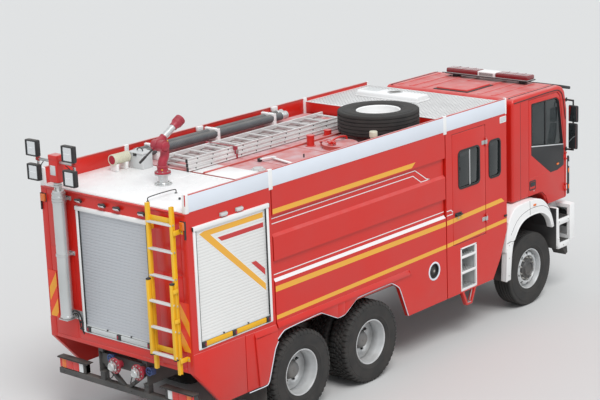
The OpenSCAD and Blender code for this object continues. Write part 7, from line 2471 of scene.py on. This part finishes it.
for row_number in range(2):
    z = 1.96 - 0.06 * row_number
    x = cab_x0 + 1.2 + (z - 1.7) / slope
    panel_parts += [bar((x - 0.01, y - 0.017, z - 0.022), (x + 0.006, y + 0.017, z + 0.022),
        grey_paint) for y in [-0.12 + 0.048 * i for i in range(6)]]
radio_x = cab_x0 + 1.19
panel_parts += [bar((radio_x - 0.01, -0.14, 1.78), (radio_x + 0.012, 0.14, 1.85), black_plastic,
    0.005), bar((radio_x - 0.014, -0.07, 1.795), (radio_x, 0.07, 1.838), dark_glass, 0.002)]
vent_places = (-0.95, -0.3, 0.22, 0.95)
vents = [cab_slab(1.164, 1.176, y - 0.06, y + 0.06, 1.985, 2.035, rubber, 0.008, 3)
    for y in vent_places]
vents += [cab_slab(1.158, 1.168, y - 0.052, y + 0.052, z, z + 0.004, grey_paint, 0.001)
    for y in vent_places for z in (1.998, 2.009, 2.02)]
done([hood] + gauges + panel_parts + vents, "dashboard_gauges", "cab")

# %% Engine
ex0, ex1 = (v[0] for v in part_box("engine_block"))
case = plate([(-0.2, 0.832), (0.2, 0.832), (0.235, 0.9), (0.235, 1.12), (0.165, 1.2), (-0.165, 1.2),
    (-0.235, 1.12), (-0.235, 0.9)], "X", ex0 + 0.1, ex1 - 0.2, engine_iron, 0.012, 3)
ribs = row(bar((ex0 + 0.14, -0.244, 0.9), (ex0 + 0.155, 0.244, 1.11), engine_iron, 0.004), 6,
    (0.125, 0, 0))
sump = bar((ex0 + 0.2, -0.15, 0.832), (ex1 - 0.3, 0.15, 0.88), engine_iron, 0.02, 3)
cylinder_step = 0.127
heads, covers = [], []
for i in range(6):
    x = ex0 + 0.115 + cylinder_step * i
    heads.append(bar((x, -0.15, 1.196), (x + 0.118, 0.15, 1.282), engine_iron, 0.01, 3))
    covers.append(bar((x + 0.006, -0.118, 1.28), (x + 0.112, 0.118, 1.345), chassis, 0.022, 4))
    covers += bolts([(x + 0.059, side * 0.09, 1.344) for side in (-1, 1)], "Z", 0.012, 0.009)
intake = pipe([(ex0 + 0.1, 0.215, 1.235), (ex0 + 0.4, 0.22, 1.24), (ex0 + 0.7, 0.22, 1.24),
    (ex1 - 0.24, 0.21, 1.3), (ex1 - 0.16, 0.16, 1.335)], 0.045, aluminium, 12)
exhaust = pipe([(ex0 + 0.12, -0.215, 1.215), (ex0 + 0.45, -0.22, 1.215), (ex1 - 0.32, -0.22, 1.21),
    (ex1 - 0.26, -0.235, 1.1)], 0.038, steel, 12)
branches = [tube((ex0 + 0.174 + cylinder_step * i, side * 0.14, 1.24),
    (ex0 + 0.174 + cylinder_step * i, side * 0.225, 1.228), 0.024, aluminium if side > 0 else steel,
    16, 0.003) for i in range(6) for side in (-1, 1)]
turbo = [turned([(0.0, -0.055), (0.06, -0.055), (0.078, -0.03), (0.078, 0.012), (0.05, 0.05),
    (0.035, 0.055), (0.0, 0.055)], (ex1 - 0.27, -0.262, 1.06), "X", engine_iron, 32)]
filters = [turned([(0.0, 0.9), (0.038, 0.9), (0.046, 0.91), (0.046, 1.03), (0.03, 1.04),
    (0.0, 1.04)], (ex0 + 0.3 + 0.13 * i, 0.285, 0), "Z", white if i else yellow, 32)
    for i in range(3)]
alternator_y, alternator_z = 0.285, 1.12
alternator = [tube((ex1 - 0.3, alternator_y, alternator_z),
    (ex1 - 0.17, alternator_y, alternator_z), 0.06, aluminium, 32, 0.008),
    tube((ex1 - 0.17, alternator_y, alternator_z), (ex1 - 0.135, alternator_y, alternator_z), 0.034,
    steel, 32, 0.004)]
pulley = [turned([(0.0, -0.02), (0.095, -0.02), (0.095, -0.008), (0.082, 0.0), (0.095, 0.008),
    (0.095, 0.02), (0.0, 0.02)], (ex1 - 0.155, 0, 0.96), "X", steel, 40)]
fan_z = 1.11
blade = bar((-0.012, -0.03, 0.045), (0.012, 0.03, 0.215), black_plastic, 0.006)
blade.data.transform(Matrix.Translation((ex1 - 0.1, 0, fan_z))
    @ Matrix.Rotation(math.radians(32), 4, "Z"))
fan = [ring(blade, 8, "X", (ex1 - 0.1, 0, fan_z)),
    tube((ex1 - 0.15, 0, fan_z), (ex1 - 0.08, 0, fan_z), 0.062, black_plastic, 32, 0.008)]
radiator = [bar((ex1 - 0.062, -0.34, 0.845), (ex1 - 0.004, 0.34, 1.376), aluminium, 0.008)]
radiator.append(row(bar((ex1 - 0.066, -0.3, 0.88), (ex1, -0.296, 1.34), steel, 0.001, 1), 60,
    (0, 0.0102, 0)))
cooler_pipe = pipe([(ex1 - 0.06, 0.23, 1.33), (ex1 - 0.12, 0.235, 1.345), (ex1 - 0.2, 0.15, 1.345),
    (ex1 - 0.245, 0.1, 1.32)], 0.028, rubber, 10)
gearbox = turned([(0.0, ex0 + 0.002), (0.07, ex0 + 0.002), (0.095, ex0 + 0.02), (0.15, ex0 + 0.05),
    (0.205, ex0 + 0.09), (0.215, ex0 + 0.104), (0.0, ex0 + 0.104)], (0, 0, 1.05), "X", engine_iron,
    40)
done([case, ribs, sump, intake, exhaust, cooler_pipe, gearbox] + heads + covers + branches + turbo
    + filters + alternator + pulley + fan + radiator, "engine_detail", "root",
    ["engine_block"])

# %% Chassis details: shafts, air tanks and mud flaps
axle_z = (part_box("rear_tyres_right")[0][2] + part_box("rear_tyres_right")[1][2]) / 2
shafts = []
for x0, x1 in ((2.02, 3.12), (3.44, 6.85)):
    shafts += [tube((at(x0), 0, axle_z + 0.06), (at(x1), 0, axle_z + (0.08 if x1 < 4 else 0.3)),
        0.045, iron, 24, 0.006), tube((at(x0) - 0.004, 0, axle_z + 0.06),
        (at(x0) + 0.08, 0, axle_z + 0.064), 0.068, iron, 24, 0.01)]
tank_z, tank_straps = 0.93, (5.4, 5.76)
tanks = []
for y in (-0.7, 0.7):
    tanks += [turned([(0.0, at(5.2)), (0.09, at(5.215)), (0.125, at(5.25)), (0.13, at(5.28)),
        (0.13, at(5.9)), (0.125, at(5.93)), (0.09, at(5.965)), (0.0, at(5.98))], (0, y, tank_z),
        "X", chassis, 40)]
    tanks += [turned(rectangle(0.128, 0.134, at(x), at(x) + 0.03), (0, y, tank_z), "X", steel, 40)
        for x in tank_straps]
    tanks += [bar((at(x), min(y, y * 0.6), 0.905), (at(x) + 0.03, max(y, y * 0.6), 0.955), chassis,
        0.004) for x in tank_straps]
done(shafts + tanks, "shafts_and_air_tanks", "root")
lines = [pipe([(at(0.3), side * 0.335, 0.99), (at(2.0), side * 0.338, 1.0),
    (at(4.0), side * 0.336, 0.985), (at(6.5), side * 0.338, 1.0)], 0.008, rubber)
    for side in (-1, 1)]
flap_y = 0.915
flaps = [slab(1.255, 1.263, side * flap_y - 0.29, side * flap_y + 0.29, 0.3, 0.9, rubber)
    for side in (-1, 1)]
flap_bars = [slab(1.248, 1.272, side * flap_y - 0.295, side * flap_y + 0.295, 0.88, 0.906, steel)
    for side in (-1, 1)]
flap_bars += [slab(1.25, 1.27, min(side * 0.42, side * 0.64), max(side * 0.42, side * 0.64), 0.885,
    0.905, chassis) for side in (-1, 1)]
done(lines + flaps + flap_bars, "brake_lines_and_mud_flaps", "root")

# %% Clear away the patterns that were only copied
for pattern in (road_tyre, drive_tyre, twins, front_rim, twin_rim):
    bpy.data.objects.remove(pattern, do_unlink=True)
